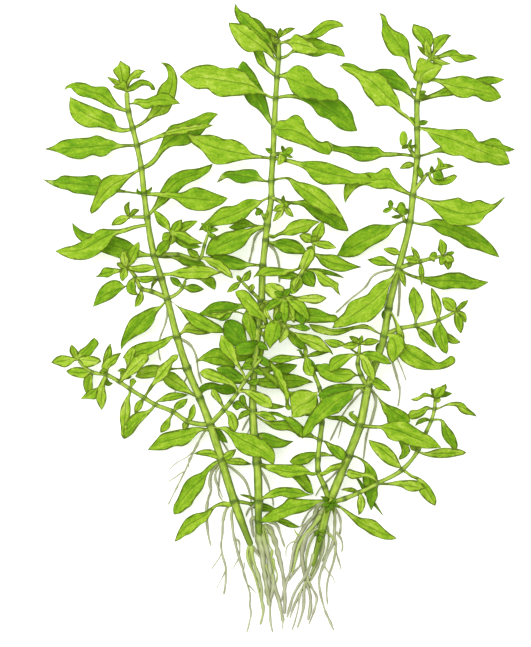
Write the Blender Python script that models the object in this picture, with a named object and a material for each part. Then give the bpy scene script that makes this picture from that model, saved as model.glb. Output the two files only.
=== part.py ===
"""Marsh seedbox: a bunch of three leafy shoots grown from one root mass, laid flat on a surface.

+X is the bunch's right, +Y its growing end, and the surface it lies on is Z = 0. The sizes
below are millimetres, and MM turns them into metres. A leaf is given by the place on its
stem that it grows from, the middle and the tip of its midrib, its width and its bare stalk.
"""

import math
from typing import NamedTuple

import bpy
from mathutils import Vector

MM = 0.001

# Gap between pieces that touch
GAP = 0.3

# Stems, twigs and roots
STEM_TOP_RADIUS = 0.8
STEM_BASE_RADIUS = 1.5
STEM_SIDES = 5
TWIG_RADIUS = 0.7
TWIG_TIP_RADIUS = 0.45
TWIG_SIDES = 4
ROOT_SIDES = 3
ROOT_TIP_SHARE = 0.6

# Share of faces that stays where grown pieces cross
KEPT_FACES = 0.85

# Edges sharper than this, in degrees, are not shaded smooth
SHARP_ANGLE = 50
ROUGHNESS = 0.55

# Leaves
STALK_HALF_WIDTH = 0.5
LEAF_THICKNESS = 0.7
SHORTEST_STALK = 0.05
LONGEST_STALK = 0.6
BROAD_LEAF = 4.0
OUTLINE_START = 0.1
OUTLINE_POWER = 0.85
LARGE_STATIONS = (0.0, 0.35, 0.75)
GROWN_STATIONS = (0.1, 0.6)
SMALL_STATIONS = (0.4,)
STEM_ROOTING = 0.6
TWIG_ROOTING = 0.3


class Leaf(NamedTuple):
    """Place along the stem, middle and tip of the midrib, width of the blade, length of stalk."""

    node: float
    middle: tuple
    tip: tuple
    width: float
    stalk: float


class Shoot(NamedTuple):
    """A twig's route from its stem outwards, and the leaves along it."""

    route: tuple
    leaves: tuple


class Root(NamedTuple):
    """Radius and route of one root."""

    radius: float
    route: tuple


LEFT_ROUTE = (
    (-53, 79.5, 10), (-52.5, 72.5, 10), (-51, 66.5, 9.5), (-49.5, 60.5, 9.5), (-48, 52.5, 9),
    (-47, 43.5, 9), (-46, 35.5, 9), (-43.5, 22, 8.5), (-41, 14, 8), (-39, 7, 8),
    (-35.5, -6.5, 7.5), (-32, -17.5, 7), (-27.5, -28, 7), (-24, -37, 6.5), (-20, -49.5, 6),
    (-15.5, -64, 5), (-9.5, -80, 3.5),
)
LEFT_LEAVES = {
    "left_leaf_01_left": Leaf(1, (-63.5, 79, 12), (-75, 80, 9), 5.5, 4),
    "left_leaf_02_left": Leaf(2, (-62, 69.5, 8), (-72.5, 77.5, 5), 7.5, 5),
    "left_leaf_02_right": Leaf(2, (-40.5, 74.5, 9.5), (-41.5, 89.5, 13), 7, 3.5),
    "left_leaf_03_left": Leaf(3, (-65.5, 60, 5), (-81.5, 59.5, 0), 7.5, 6.5),
    "left_leaf_04_left": Leaf(4, (-58.5, 46.5, 12), (-65.5, 36.5, 9), 6.5, 3),
    "left_leaf_04_right": Leaf(4, (-35.5, 63.5, 8), (-21, 71.5, 6), 8.5, 8.5),
    "left_leaf_05_left": Leaf(5, (-65.5, 47, 6.5), (-83, 49, 2), 7, 7.5),
    "left_leaf_05_right": Leaf(5, (-32.5, 42, 11), (-18, 42.5, 9), 8, 12),
    "left_leaf_06_left": Leaf(6.2, (-63, 27.5, 9.5), (-78.5, 23.5, 5), 6.5, 10),
    "left_leaf_06_right": Leaf(6, (-36, 48, 6), (-23, 54.5, 3), 6.5, 7),
    "left_leaf_09_left": Leaf(9, (-48, -1, 5), (-55, -11, 0), 7, 2),
    "left_leaf_13_right": Leaf(13.1, (-11.5, -44, 10), (-1.5, -51, 9), 8.5, 3.5),
    "left_leaf_14_left": Leaf(14, (-30, -59, 4), (-37, -69, 0), 7.5, 3),
    "left_leaf_15_left": Leaf(15, (-27, -68, 4), (-36.5, -78.5, 0), 5, 9),
}
LEFT_SMALL_LEAVES = (
    Leaf(1, (-43, 76, 15), (-34, 75, 13), 5, 2),
    Leaf(3, (-35.5, 66, 13), (-23, 67.5, 11), 3, 8.5),
    Leaf(7, (-58.5, 25.5, 4.5), (-72.5, 34, 1), 7, 5),
    Leaf(7, (-33.5, 21.5, 4.5), (-24, 18.5, 3), 4, 5),
    Leaf(8, (-31, 16.5, 10.5), (-20, 16.5, 9), 5, 5.5),
    Leaf(9, (-28, 0, 9.5), (-19.5, -5, 8), 5, 2),
    Leaf(10, (-45.5, -10, 5), (-54.5, -14, 3), 5, 2),
    Leaf(10, (-29, -3.5, 5), (-22.5, -5, 4), 4, 0.5),
    Leaf(11, (-42, -18, 4.5), (-49.5, -20.5, 3), 5, 4),
    Leaf(11, (-22.5, -14, 5), (-14, -16.5, 4), 6.5, 3),
    Leaf(12, (-34.5, -23.5, 4.5), (-41, -19, 3), 5, 2),
    Leaf(12, (-22, -24.5, 3.5), (-13, -25.5, 2), 4, 3),
    Leaf(13.2, (-36, -42.5, 3.5), (-46, -46, 0), 6, 2),
    Leaf(14, (-25, -47, 7.5), (-30, -47.5, 7), 3, 1),
    Leaf(14, (-14, -50, 5), (-9, -51, 3.5), 3, 1),
    Leaf(15, (-8, -65.5, 2), (0, -67.5, 1.5), 3, 5.5),
    Leaf(0, (-55, 86.5, 12), (-55.5, 90, 13), 6.5, 0.5),
    Leaf(0, (-55.5, 80.5, 12), (-58, 81, 12.5), 4, 0.5),
    Leaf(0, (-50, 85, 13), (-46, 86.5, 14), 3.5, 0.5),
    Leaf(0, (-47, 82, 12), (-43, 79.5, 12), 3, 1),
)
LEFT_NODE_ROOTS = (
    Root(0.3, (
        (-38.5, 6, 8), (-39.5, -1, 3), (-41.5, -7.5, 1.5), (-42, -12, 1), (-41.5, -15, 1),
    )),
    Root(0.3, (
        (-35.5, -7, 7.5), (-31, -9.5, 3), (-29, -13.5, 2), (-28.5, -17.5, 1.5), (-27, -23, 1),
    )),
    Root(0.3, (
        (-24, -37.5, 6.5), (-26.5, -40.5, 3), (-31, -49, 1.5), (-34.5, -57, 1),
        (-39, -65.5, 0.5),
    )),
    Root(0.4, (
        (-23.5, -39, 6.5), (-20, -43, 3), (-17.5, -46.5, 1.5),
    )),
    Root(0.5, (
        (-19.5, -49.5, 6), (-23, -53, 2.5), (-24.5, -58.5, 1.5), (-25, -65.5, 1),
        (-25.5, -71, 0.5), (-23.5, -80, 0.5),
    )),
    Root(0.4, (
        (-19.5, -50, 6), (-20.5, -55, 2), (-21, -62, 1),
    )),
    Root(0.3, (
        (-19.5, -50.5, 5.5), (-15.5, -53, 2.5), (-12, -56.5, 2), (-10, -63, 1),
        (-9.5, -70.5, 0.5),
    )),
    Root(0.4, (
        (-15.5, -64.5, 5), (-18, -67, 3), (-20, -73, 2), (-20, -79.5, 1), (-18.5, -87.5, 1),
        (-18.5, -92, 0.5), (-19, -97.5, 0.5),
    )),
    Root(0.4, (
        (-15, -65, 5), (-16.5, -68.5, 3), (-16, -74.5, 2), (-14, -83, 1.5), (-10.5, -93, 1),
        (-10, -98.5, 0.5), (-11.5, -110.5, 0.5),
    )),
)
LEFT_ROOT_TUFT = (
    Root(0.4, (
        (-9.5, -80.5, 3), (-9, -87.5, 1.5), (-7, -94, 1), (-6, -100.5, 0.5),
        (-5.5, -105.5, 0.5),
    )),
    Root(0.4, (
        (-9.5, -81, 3), (-7.5, -87, 2), (-6, -95, 1.5), (-5, -102.5, 1), (-4.5, -107.5, 0.5),
    )),
    Root(0.4, (
        (-9.5, -80.5, 3), (-7, -84.5, 1.5), (-6, -89.5, 1),
    )),
)
MIDDLE_ROUTE = (
    (0, 98, 10), (0, 91, 10), (-0.5, 84.5, 9.5), (-1, 77, 9.5), (-1.5, 67, 9), (-2, 56, 9),
    (-2.5, 48, 9), (-2.5, 42.5, 8.5), (-4, 32.5, 8.5), (-4.5, 27.5, 8), (-5.5, 18.5, 8),
    (-6, 6, 7.5), (-7, -3, 7.5), (-8.5, -17.5, 7), (-9, -32.5, 6.5), (-8.5, -41.5, 6.5),
    (-7.5, -50.5, 6), (-7, -64, 6), (-7, -71, 5),
)
MIDDLE_LEAVES = {
    "middle_leaf_01_left": Leaf(1, (-7.5, 102, 10), (-15, 110.5, 8), 5.5, 3),
    "middle_leaf_02_left": Leaf(2, (-10.5, 97, 13.5), (-17.5, 103.5, 12), 7.5, 4),
    "middle_leaf_04_right": Leaf(2, (10.5, 82, 13.5), (20, 76, 12), 8.5, 2),
    "middle_leaf_05_left": Leaf(3, (-18.5, 82.5, 13), (-34.5, 84.5, 11), 10, 4),
    "middle_leaf_05_right": Leaf(3, (14.5, 74.5, 8.5), (27.5, 65.5, 6), 8.5, 7),
    "middle_leaf_06_right": Leaf(4, (7, 65.5, 12.5), (18.5, 57, 10), 7.5, 1),
    "middle_leaf_07_left": Leaf(5, (-18, 59, 10), (-32, 64.5, 9), 8.5, 7.5),
    "middle_leaf_07_right": Leaf(5, (16.5, 51.5, 10.5), (34, 48, 9), 7, 10.5),
    "middle_leaf_08_right": Leaf(6, (12.5, 44.5, 12.5), (22, 35, 10), 7.5, 5),
    "middle_leaf_09_right": Leaf(7, (11.5, 38, 7), (24.5, 31, 4), 7.5, 7),
    "middle_leaf_09_left": Leaf(7, (-15, 37.5, 11), (-28, 30.5, 7.5), 6.5, 3),
    "middle_leaf_10_left": Leaf(8, (-16, 28, 9.5), (-25.5, 22.5, 8), 7, 3),
}
MIDDLE_SMALL_LEAVES = (
    Leaf(1, (-5.5, 102, 8.5), (-9.5, 105.5, 7.5), 2.5, 2),
    Leaf(0, (7.5, 95.5, 14), (14, 92.5, 13.5), 6.5, 3.5),
    Leaf(1, (10.5, 100, 11), (23, 102, 9), 4.5, 7),
    Leaf(1, (12.5, 94, 9), (23.5, 91.5, 7.5), 5, 6.5),
    Leaf(2, (-6, 90, 8), (-9.5, 95.5, 6.5), 4, 3),
    Leaf(4, (-7.5, 78, 7), (-12.5, 90, 6), 7, 3),
    Leaf(6, (-12.5, 50, 6), (-21.5, 47.5, 4), 5, 3.5),
    Leaf(8, (-10.5, 33, 6), (-17, 32, 5), 3, 1.5),
    Leaf(8, (4.5, 30.5, 10), (14.5, 34, 9), 5, 3.5),
    Leaf(9, (3.5, 25.5, 6.5), (10, 23.5, 5), 5.5, 1),
    Leaf(10, (-17, 20, 6), (-26, 22, 5), 5, 5.5),
    Leaf(12, (-18.5, 4, 6), (-28, 2, 4.5), 4.5, 2),
    Leaf(12, (-19, 1, 5), (-26.5, 1.5, 4), 3, 2),
    Leaf(13, (-14, -5.5, 5), (-20, -1, 4), 8.5, 2),
    Leaf(13, (-10.5, -3, 8), (-12, 3.5, 8.5), 4.5, 2),
    Leaf(13, (-9.5, -10.5, 4), (-15, -10, 3), 4, 1.5),
    Leaf(13, (0.5, -17, 5.5), (6.5, -16, 4.5), 4.5, 2),
    Leaf(13, (2, -22, 4), (12.5, -22, 2.5), 5, 3),
    Leaf(13, (0, -20.5, 12), (3.5, -31.5, 11), 5, 1.5),
    Leaf(14, (-12, -30, 8), (-13, -26.5, 8), 4, 0.5),
    Leaf(14, (-4.5, -33.5, 8.5), (-0.5, -35.5, 8.5), 3, 0.5),
    Leaf(14, (0, -37.5, 6), (8, -42, 4.5), 4.5, 1.5),
    Leaf(15, (-0.5, -42.5, 5.5), (5.5, -42.5, 4.5), 5, 1),
    Leaf(16, (4.5, -52, 7), (12, -61.5, 4.5), 4.5, 3),
    Leaf(17, (2.5, -60.5, 8), (12, -62, 7.5), 4, 1.5),
    Leaf(18, (1.5, -71, 2.5), (7.5, -73.5, 1), 3, 1.5),
)
MIDDLE_NODE_ROOTS = (
    Root(0.5, (
        (-4, 31.5, 8.5), (-8, 29, 4), (-9.5, 23.5, 2), (-10.5, 19.5, 1),
    )),
    Root(0.3, (
        (-4.5, 26.5, 8), (-1.5, 24, 4), (0, 19, 2), (0, 12.5, 1),
    )),
    Root(0.3, (
        (-9, -33, 6.5), (-11, -36, 3), (-13, -39.5, 1.5),
    )),
    Root(0.3, (
        (-7.5, -51.5, 6), (-5.5, -54.5, 3), (-3.5, -59.5, 2), (-2, -66, 1),
    )),
)
MIDDLE_ROOT_TUFT = (
    Root(0.7, (
        (-6.5, -72.5, 4), (-5, -79.5, 2.5), (-4.5, -88.5, 1.5), (-3.5, -99, 0.5),
    )),
    Root(0.4, (
        (-6, -74, 3.5), (-3, -88.5, 1.5), (-3, -100.5, 1), (-2, -109.5, 0.5),
    )),
    Root(0.5, (
        (-6, -75, 3.5), (-1, -90, 1.5), (1, -100.5, 1), (1.5, -105.5, 0.5), (1, -110, 0.5),
    )),
    Root(0.5, (
        (-6.5, -73, 4), (-2, -77.5, 3), (0.5, -83, 2), (2, -91.5, 1.5), (2.5, -98.5, 1),
        (1.5, -106, 0.5),
    )),
    Root(0.4, (
        (-6.5, -72.5, 4), (-1.5, -75, 2.5), (2, -80, 1),
    )),
    Root(0.3, (
        (-6.5, -73, 4), (-8, -79.5, 2), (-7.5, -84.5, 1),
    )),
)
RIGHT_ROUTE = (
    (53.5, 91.5, 10), (49.5, 82.5, 10), (48.5, 76, 9.5), (48.5, 66.5, 9.5), (48.5, 56.5, 9),
    (47, 43, 9), (46, 34, 9), (42, 17.5, 8.5), (38.5, 3.5, 8), (37, -6, 7.5), (31.5, -23.5, 7),
    (28.5, -37.5, 7), (24.5, -48, 6.5), (18, -64, 5.5),
)
RIGHT_LEAVES = {
    "right_leaf_01_right": Leaf(1, (64.5, 81, 13), (78, 77.5, 10), 7.5, 7),
    "right_leaf_02_left": Leaf(2, (36.5, 84, 8), (22, 89.5, 6), 7, 3),
    "right_leaf_02_right": Leaf(2, (64.5, 80.5, 8), (79.5, 84, 6.5), 5, 7),
    "right_leaf_03_left": Leaf(3, (35.5, 78, 12.5), (21, 88.5, 10), 7.5, 8.5),
    "right_leaf_03_right": Leaf(3, (66, 60.5, 12), (81, 54, 9), 8.5, 1.5),
    "right_leaf_04_right": Leaf(4, (65, 59.5, 7), (83, 59.5, 3), 6, 4),
    "right_leaf_06_left": Leaf(5, (35, 48.5, 9), (23.5, 40, 5), 7, 1.5),
    "right_leaf_06_right": Leaf(5, (64.5, 37.5, 11), (79.5, 43, 12), 9, 4),
    "right_leaf_07_left": Leaf(6, (32.5, 29, 5), (21, 22, 0), 7.5, 5),
    "right_leaf_07_right": Leaf(6, (64, 30.5, 5), (77.5, 21.5, 0), 6, 6.5),
    "right_leaf_08_left": Leaf(7, (30.5, 6, 12), (19, -3, 9), 8.5, 2),
    "right_leaf_08_right": Leaf(7, (59, 14, 5), (74, 13, 0), 6, 7.5),
    "right_leaf_09_right": Leaf(8, (44.5, -9.5, 8), (62, -13.5, 3), 6.5, 13.5),
    "right_leaf_11_left": Leaf(10.2, (18.5, -29.5, 13), (8, -42, 10.5), 9.5, 3.5),
    "right_leaf_12_right": Leaf(11, (45, -40.5, 10.5), (57, -45.5, 8), 8.5, 7.5),
    "right_leaf_14_left": Leaf(13, (4.5, -66.5, 9), (-6, -71, 8.5), 6.5, 2),
    "right_leaf_14_right": Leaf(13, (29.5, -72, 3), (41.5, -77.5, 0), 6, 5.5),
}
RIGHT_SMALL_LEAVES = (
    Leaf(1, (41.5, 95.5, 10.5), (35, 107, 9), 7, 6.5),
    Leaf(1, (52.5, 86.5, 14), (57.5, 88.5, 13.5), 7.5, 1.5),
    Leaf(4, (31.5, 58, 7), (16, 60.5, 6), 5, 12),
    Leaf(7, (36.5, 20, 9), (31, 20.5, 8), 3.5, 1),
    Leaf(7, (39.5, 23.5, 11), (37, 24.5, 11.5), 2.5, 1),
    Leaf(7, (43.5, 14, 10.5), (44, 11, 11), 3, 0.5),
    Leaf(9, (23.5, -4.5, 6.5), (11, -2, 5.5), 5, 3.5),
    Leaf(9.2, (39, -11.5, 7.5), (39.5, -15.5, 7), 6, 1),
    Leaf(9, (35, -9.5, 5), (34.5, -12.5, 4), 3, 0.5),
    Leaf(10, (39.5, -31, 6), (46.5, -37, 4), 5.5, 3.5),
    Leaf(10, (36, -23, 9.5), (39.5, -25, 8.5), 4.5, 1.5),
    Leaf(11, (21.5, -34.5, 6), (15, -36, 5), 3, 3),
    Leaf(12, (13, -48, 4), (4, -50.5, 3), 4, 7.5),
    Leaf(12, (31.5, -50, 7.5), (34.5, -56, 6), 4, 3),
    Leaf(0, (50, 98, 12), (47, 103, 12.5), 5, 1),
    Leaf(0, (52, 94.5, 14), (51.5, 98, 15), 3, 0.5),
    Leaf(0, (56.5, 96.5, 11.5), (60.5, 99, 12), 4.5, 1),
    Leaf(0, (62, 92, 12), (70, 91, 11), 4, 3),
    Leaf(4.3, (45.5, 53.5, 12), (42.5, 52.5, 12), 3, 0.5),
)
RIGHT_NODE_ROOTS = (
    Root(0.4, (
        (42, 17.5, 8.5), (35.5, 16.5, 4.5), (31.5, 13.5, 3), (27, 7.5, 2), (20, 2, 1),
    )),
    Root(0.4, (
        (42, 16.5, 8.5), (42.5, 8, 3.5), (42, 2, 1.5),
    )),
    Root(0.5, (
        (36.5, -6.5, 7.5), (40, -15, 3), (41.5, -21, 1.5), (42.5, -25.5, 1), (42, -31, 0.5),
    )),
    Root(0.3, (
        (36.5, -7, 7.5), (42, -15, 2.5), (44.5, -22, 1),
    )),
    Root(0.4, (
        (31, -24, 7), (25.5, -30, 3), (22, -34, 2), (20, -38.5, 1.5), (18, -43, 1),
    )),
    Root(0.3, (
        (31, -24.5, 7), (34, -30.5, 2.5), (32, -37, 1.5), (30.5, -44, 1), (29.5, -48, 0.5),
    )),
    Root(0.3, (
        (23.5, -50, 6.5), (18.5, -56, 2.5), (15, -60, 1.5), (13, -62.5, 1),
    )),
)
RIGHT_ROOT_TUFT = (
    Root(1.2, (
        (18, -66, 5), (16, -75, 4), (13.5, -81.5, 3), (11.5, -87, 2.5),
    )),
    Root(0.5, (
        (17.5, -68, 5), (9.5, -71.5, 3), (6, -78, 3), (4.5, -86.5, 3), (3, -93.5, 3),
        (2, -100, 2.5),
    )),
    Root(0.5, (
        (16.5, -72, 4.5), (11, -76, 2.5), (8, -81.5, 2), (8, -88, 1.5), (9, -92.5, 1.5),
        (10.5, -99, 1), (10, -106, 0.5),
    )),
    Root(0.4, (
        (15.5, -76.5, 4), (10.5, -83.5, 2), (7.5, -90.5, 1.5), (4.5, -97, 1),
        (2.5, -104.5, 0.5),
    )),
    Root(0.5, (
        (14, -80, 3.5), (11, -89, 1.5), (9, -94.5, 1), (6, -100, 1), (4, -105, 0.5),
    )),
    Root(0.4, (
        (13.5, -81, 3.5), (10.5, -92, 1.5), (8.5, -98.5, 1), (8, -102.5, 0.5),
        (7, -108.5, 0.5),
    )),
    Root(0.3, (
        (13.5, -81, 3.5), (11.5, -91.5, 1), (7, -99, 1), (6, -104, 0.5), (4.5, -109.5, 0.5),
    )),
    Root(0.4, (
        (14, -80.5, 3.5), (10.5, -92.5, 1), (13, -98.5, 1), (12.5, -102.5, 0.5),
        (10.5, -107.5, 0.5),
    )),
    Root(0.5, (
        (17.5, -67.5, 5), (20, -74, 2), (18, -81.5, 1.5), (16.5, -87.5, 1), (14.5, -93.5, 1),
        (15.5, -100.5, 0.5), (19, -109.5, 0.5),
    )),
    Root(0.4, (
        (18, -66, 5), (21, -70.5, 2), (22, -77.5, 1), (22.5, -85, 0.5),
    )),
    Root(0.3, (
        (17, -70.5, 4.5), (21, -80.5, 1.5), (21.5, -88, 0.5),
    )),
    Root(0.3, (
        (16.5, -73, 4), (18.5, -84.5, 1), (17.5, -92, 1), (16.5, -101.5, 0.5),
    )),
)
SHOOTS = {
    "left_upper_shoot": Shoot((
        (-43.5, 22, 8.5), (-40, 25.5, 10), (-37.5, 29.5, 12),
    ), (
        Leaf(0, (-40.5, 24.5, 10.5), (-37.5, 28, 12.5), 4, 0.5),
        Leaf(2, (-41, 33.5, 12.5), (-43.5, 38, 12), 4, 0.5),
        Leaf(2, (-36, 32.5, 13.5), (-33.5, 34.5, 14.5), 3.5, 0.5),
        Leaf(2, (-32, 32.5, 12.5), (-28, 34, 12), 3.5, 0.5),
        Leaf(2, (-31.5, 28, 14), (-26.5, 26, 14), 4, 0.5),
        Leaf(2, (-31.5, 25.5, 12), (-26.5, 25, 11.5), 3, 0.5),
        Leaf(2, (-39, 29, 14), (-41, 27, 14.5), 3, 0.5),
    )),
    "left_mid_shoot": Shoot((
        (-39, 7, 8), (-44.5, 9.5, 9), (-48, 10.5, 10), (-50, 14.5, 11), (-53, 18, 12),
    ), (
        Leaf(2, (-49, 7, 10), (-50, 4, 9.5), 3, 0.5),
        Leaf(3, (-59, 9.5, 9), (-65, 4, 6), 6.5, 3.5),
        Leaf(3, (-51.5, 11, 11.5), (-49.5, 7.5, 11.5), 4, 0.5),
        Leaf(4, (-50.5, 22.5, 13.5), (-48.5, 27, 14.5), 4, 0.5),
        Leaf(4, (-54, 21, 14.5), (-53.5, 24, 15.5), 3, 0.5),
        Leaf(4, (-59.5, 16, 11.5), (-64.5, 14.5, 10), 3.5, 0.5),
        Leaf(4, (-48, 17.5, 14), (-42.5, 17.5, 14), 4.5, 0.5),
        Leaf(3, (-47, 14, 12), (-42, 15, 12), 2.5, 0.5),
        Leaf(4, (-54, 15, 13.5), (-52.5, 12.5, 14), 3, 0.5),
    )),
    "left_low_branch": Shoot((
        (-24, -37, 6.5), (-31.5, -36, 6.5), (-37.5, -33.5, 7), (-43.5, -30, 7),
        (-46.5, -27.5, 7), (-52, -25, 6.5), (-56.5, -22, 6), (-60.5, -20, 6), (-67, -18, 5),
        (-70.5, -13, 5),
    ), (
        Leaf(9, (-75.5, -14.5, 4.5), (-79.5, -15.5, 3), 4, 0.5),
        Leaf(9, (-72.5, -11, 6.5), (-72.5, -9, 7.5), 3, 0.5),
        Leaf(9, (-66, -10.5, 6.5), (-64.5, -7, 7), 4.5, 0.5),
        Leaf(9, (-65.5, -15, 7.5), (-62, -15, 8), 4, 0.5),
        Leaf(8, (-71, -18.5, 4), (-74.5, -18.5, 3), 4, 0.5),
        Leaf(8, (-66.5, -23, 3), (-66.5, -27.5, 0), 4, 0.5),
        Leaf(7, (-58.5, -15.5, 8.5), (-55, -11.5, 9), 4, 1.5),
        Leaf(7, (-60, -12, 6), (-59, -8.5, 5.5), 3.5, 2),
        Leaf(7, (-61.5, -26, 5), (-62, -32, 3), 4, 1),
        Leaf(7, (-65.5, -26.5, 3), (-69.5, -28.5, 0), 3, 1),
        Leaf(6, (-50, -17.5, 10), (-45.5, -13, 10.5), 5, 2),
        Leaf(6, (-52.5, -14, 8), (-51.5, -10, 8.5), 4, 2),
        Leaf(6, (-55, -18.5, 7.5), (-56.5, -18.5, 8), 2.5, 0.5),
        Leaf(5, (-50.5, -22, 7), (-49.5, -19.5, 7.5), 2.5, 0.5),
        Leaf(5, (-54, -33.5, 4.5), (-54.5, -42.5, 0), 4.5, 1),
        Leaf(4, (-41.5, -19.5, 10.5), (-35, -12, 11.5), 5, 3.5),
        Leaf(4, (-49.5, -32.5, 4), (-51, -38.5, 2), 3, 1),
        Leaf(3, (-37.5, -27.5, 8), (-33, -27, 8), 3.5, 1),
        Leaf(3, (-48.5, -35, 3), (-53, -42, 0.5), 4.5, 0.5),
        Leaf(2, (-34.5, -30.5, 8), (-31.5, -28, 8.5), 3.5, 0.5),
        Leaf(2, (-39.5, -37, 5), (-41.5, -40.5, 4.5), 3.5, 0.5),
        Leaf(1, (-30.5, -33, 8), (-29.5, -30, 8.5), 3, 0.5),
    )),
    "left_low_twig": Shoot((
        (-24, -37, 6.5), (-19, -31.5, 9), (-14.5, -24.5, 9.5), (-10, -18.5, 9.5),
    ), (
        Leaf(1, (-21.5, -27.5, 10), (-23.5, -24.5, 10.5), 4, 0.5),
        Leaf(1, (-16.5, -35, 9.5), (-15, -39, 9.5), 4, 0.5),
        Leaf(2, (-21, -21, 11.5), (-27.5, -18.5, 11.5), 5, 0.5),
        Leaf(2, (-7.5, -27, 11), (-1.5, -30, 11), 4.5, 1.5),
        Leaf(3, (-16.5, -12, 10.5), (-19.5, -6, 9.5), 4.5, 4),
    )),
    "middle_right_shoot": Shoot((
        (-6, 6, 7.5), (-2.5, 5.5, 9), (2, 7.5, 10.5), (5, 11, 11), (7.5, 15, 11),
        (9.5, 18.5, 11), (12, 22.5, 11), (12, 26.5, 11.5),
    ), (
        Leaf(2, (10, 7.5, 12), (17, 7.5, 11.5), 3.5, 1),
        Leaf(2, (-1, 10.5, 12.5), (-4.5, 12, 12.5), 4, 0.5),
        Leaf(2, (7.5, 4, 12), (10.5, -1, 10.5), 4, 0.5),
        Leaf(2, (-2, 5, 12.5), (-6, 2.5, 12.5), 3, 0.5),
        Leaf(2, (2, 2.5, 12), (2.5, -2, 12), 4, 0.5),
        Leaf(4, (6, 10.5, 13), (4, 7.5, 13.5), 4, 0.5),
        Leaf(4, (3.5, 15, 11.5), (-0.5, 13.5, 11), 4, 0.5),
        Leaf(5, (-1, 16.5, 12.5), (-9, 14, 12.5), 4, 1),
        Leaf(5, (17, 13.5, 12.5), (22, 8, 12), 5, 1),
        Leaf(5, (11.5, 14, 10), (12, 11, 9), 5, 0.5),
        Leaf(5, (17.5, 16, 9.5), (23, 14, 8.5), 2.5, 1),
        Leaf(5, (9.5, 21, 13.5), (12, 24.5, 14.5), 4.5, 0.5),
        Leaf(6, (20.5, 20, 10), (29.5, 18, 8), 6, 1),
        Leaf(7, (9.5, 28, 12.5), (7.5, 29, 12.5), 4, 0.5),
        Leaf(7, (14.5, 30.5, 13), (15, 33.5, 13.5), 4, 0.5),
        Leaf(7, (16.5, 26, 12.5), (19.5, 25, 12), 3.5, 0.5),
    )),
    "middle_low_shoot": Shoot((
        (-7, -3, 7.5), (-3.5, -2.5, 9.5), (0, -1, 11),
    ), (
        Leaf(2, (-8.5, 4, 13.5), (-15, 10, 13), 5, 1),
        Leaf(1.6, (-2, -6, 12.5), (-3.5, -10.5, 12), 7.5, 0.5),
        Leaf(1.9, (10.5, -7, 10), (19, -13, 9), 5, 1),
        Leaf(1.7, (6.5, -8.5, 8), (10.5, -12, 7.5), 4, 0.5),
        Leaf(1.8, (10.5, 2, 9.5), (20.5, 0.5, 8), 5.5, 2),
    )),
    "right_upper_shoot": Shoot((
        (42, 17.5, 8.5), (46, 19, 9.5), (49.5, 20, 10), (53.5, 21, 10.5), (58, 22, 11),
    ), (
        Leaf(2, (48, 23, 12.5), (46.5, 25.5, 13), 2.5, 0.5),
        Leaf(2, (46.5, 21, 11.5), (44, 22, 12), 3, 0.5),
        Leaf(4, (55, 21.5, 12.5), (52.5, 21.5, 13), 3.5, 0.5),
        Leaf(3.8, (57, 24.5, 12.5), (56.5, 27.5, 13), 4, 0.5),
        Leaf(4, (60, 19.5, 11), (59, 17, 10), 4, 0.5),
        Leaf(4, (57, 20, 12), (56.5, 18.5, 12.5), 3, 0.5),
    )),
    "right_mid_branch": Shoot((
        (37, -6, 7.5), (42.5, -3.5, 6.5), (48, -2.5, 6), (56, -0.5, 5.5), (62, 2.5, 5),
    ), (
        Leaf(2, (48, 5.5, 5.5), (47, 11, 4.5), 5, 1),
        Leaf(2, (52, -7, 4), (55.5, -10, 2), 3.5, 1),
        Leaf(3, (56, 5.5, 6.5), (53.5, 10.5, 6), 3, 1),
        Leaf(3, (57, -6, 6), (59, -12.5, 4), 5.5, 0.5),
        Leaf(3, (60.5, -8, 3), (64, -8, 2), 3, 3),
        Leaf(4, (59.5, 5, 7), (57, 7, 7.5), 5, 0.5),
        Leaf(4, (64.5, 4.5, 6), (66.5, 6.5, 6.5), 3, 0.5),
        Leaf(4, (63, -1.5, 4), (64, -5.5, 2.5), 3.5, 0.5),
        Leaf(4, (65, 1, 3.5), (66, -1, 3), 2.5, 0.5),
    )),
    "right_low_shoot": Shoot((
        (31.5, -23.5, 7), (28.5, -19, 9), (28, -14.5, 10), (28.5, -11, 10), (29, -8, 10.5),
    ), (
        Leaf(4, (25.5, -9, 11), (22.5, -10, 11), 3, 0.5),
        Leaf(4, (32, -8, 11), (35, -8, 10.5), 3, 0.5),
        Leaf(3, (22, -9.5, 9.5), (15.5, -8, 9), 3, 3),
        Leaf(3, (22.5, -14, 11.5), (17.5, -19, 10.5), 5, 1),
        Leaf(3, (31.5, -17, 12), (33, -22, 12), 4, 0.5),
        Leaf(3, (34.5, -13.5, 11), (39.5, -16.5, 10), 4, 0.5),
        Leaf(1, (21, -20.5, 9.5), (13, -18.5, 9.5), 4.5, 1.5),
    )),
    "right_tall_shoot": Shoot((
        (18, -64.5, 5.5), (15, -57, 7), (14, -54, 7.5), (13.5, -50.5, 8), (14.5, -42.5, 8),
        (14.5, -36.5, 7.5), (14, -26, 7.5), (12.5, -19.5, 7.5), (10, -13, 8),
    ), (
        Leaf(2, (7, -53.5, 9), (-3, -52.5, 8.5), 4.5, 1),
        Leaf(2, (18.5, -51.5, 9), (23.5, -50, 9), 4, 1),
        Leaf(4, (8.5, -38.5, 7.5), (3.5, -34, 7), 5, 2),
        Leaf(4, (19.5, -45.5, 9), (23.5, -50, 9), 4.5, 1.5),
        Leaf(6, (8.5, -28.5, 9), (3.5, -27, 9), 8, 0.5),
        Leaf(7, (15, -17, 7), (18.5, -15.5, 6.5), 3, 0.5),
        Leaf(8, (3.5, -14, 9.5), (-3, -14.5, 9.5), 3, 0.5),
        Leaf(8, (11.5, -17, 10), (14, -19.5, 10), 4.5, 0.5),
        Leaf(8, (14.5, -12, 7.5), (19, -11.5, 7), 2.5, 0.5),
    )),
    "right_low_branch": Shoot((
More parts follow.
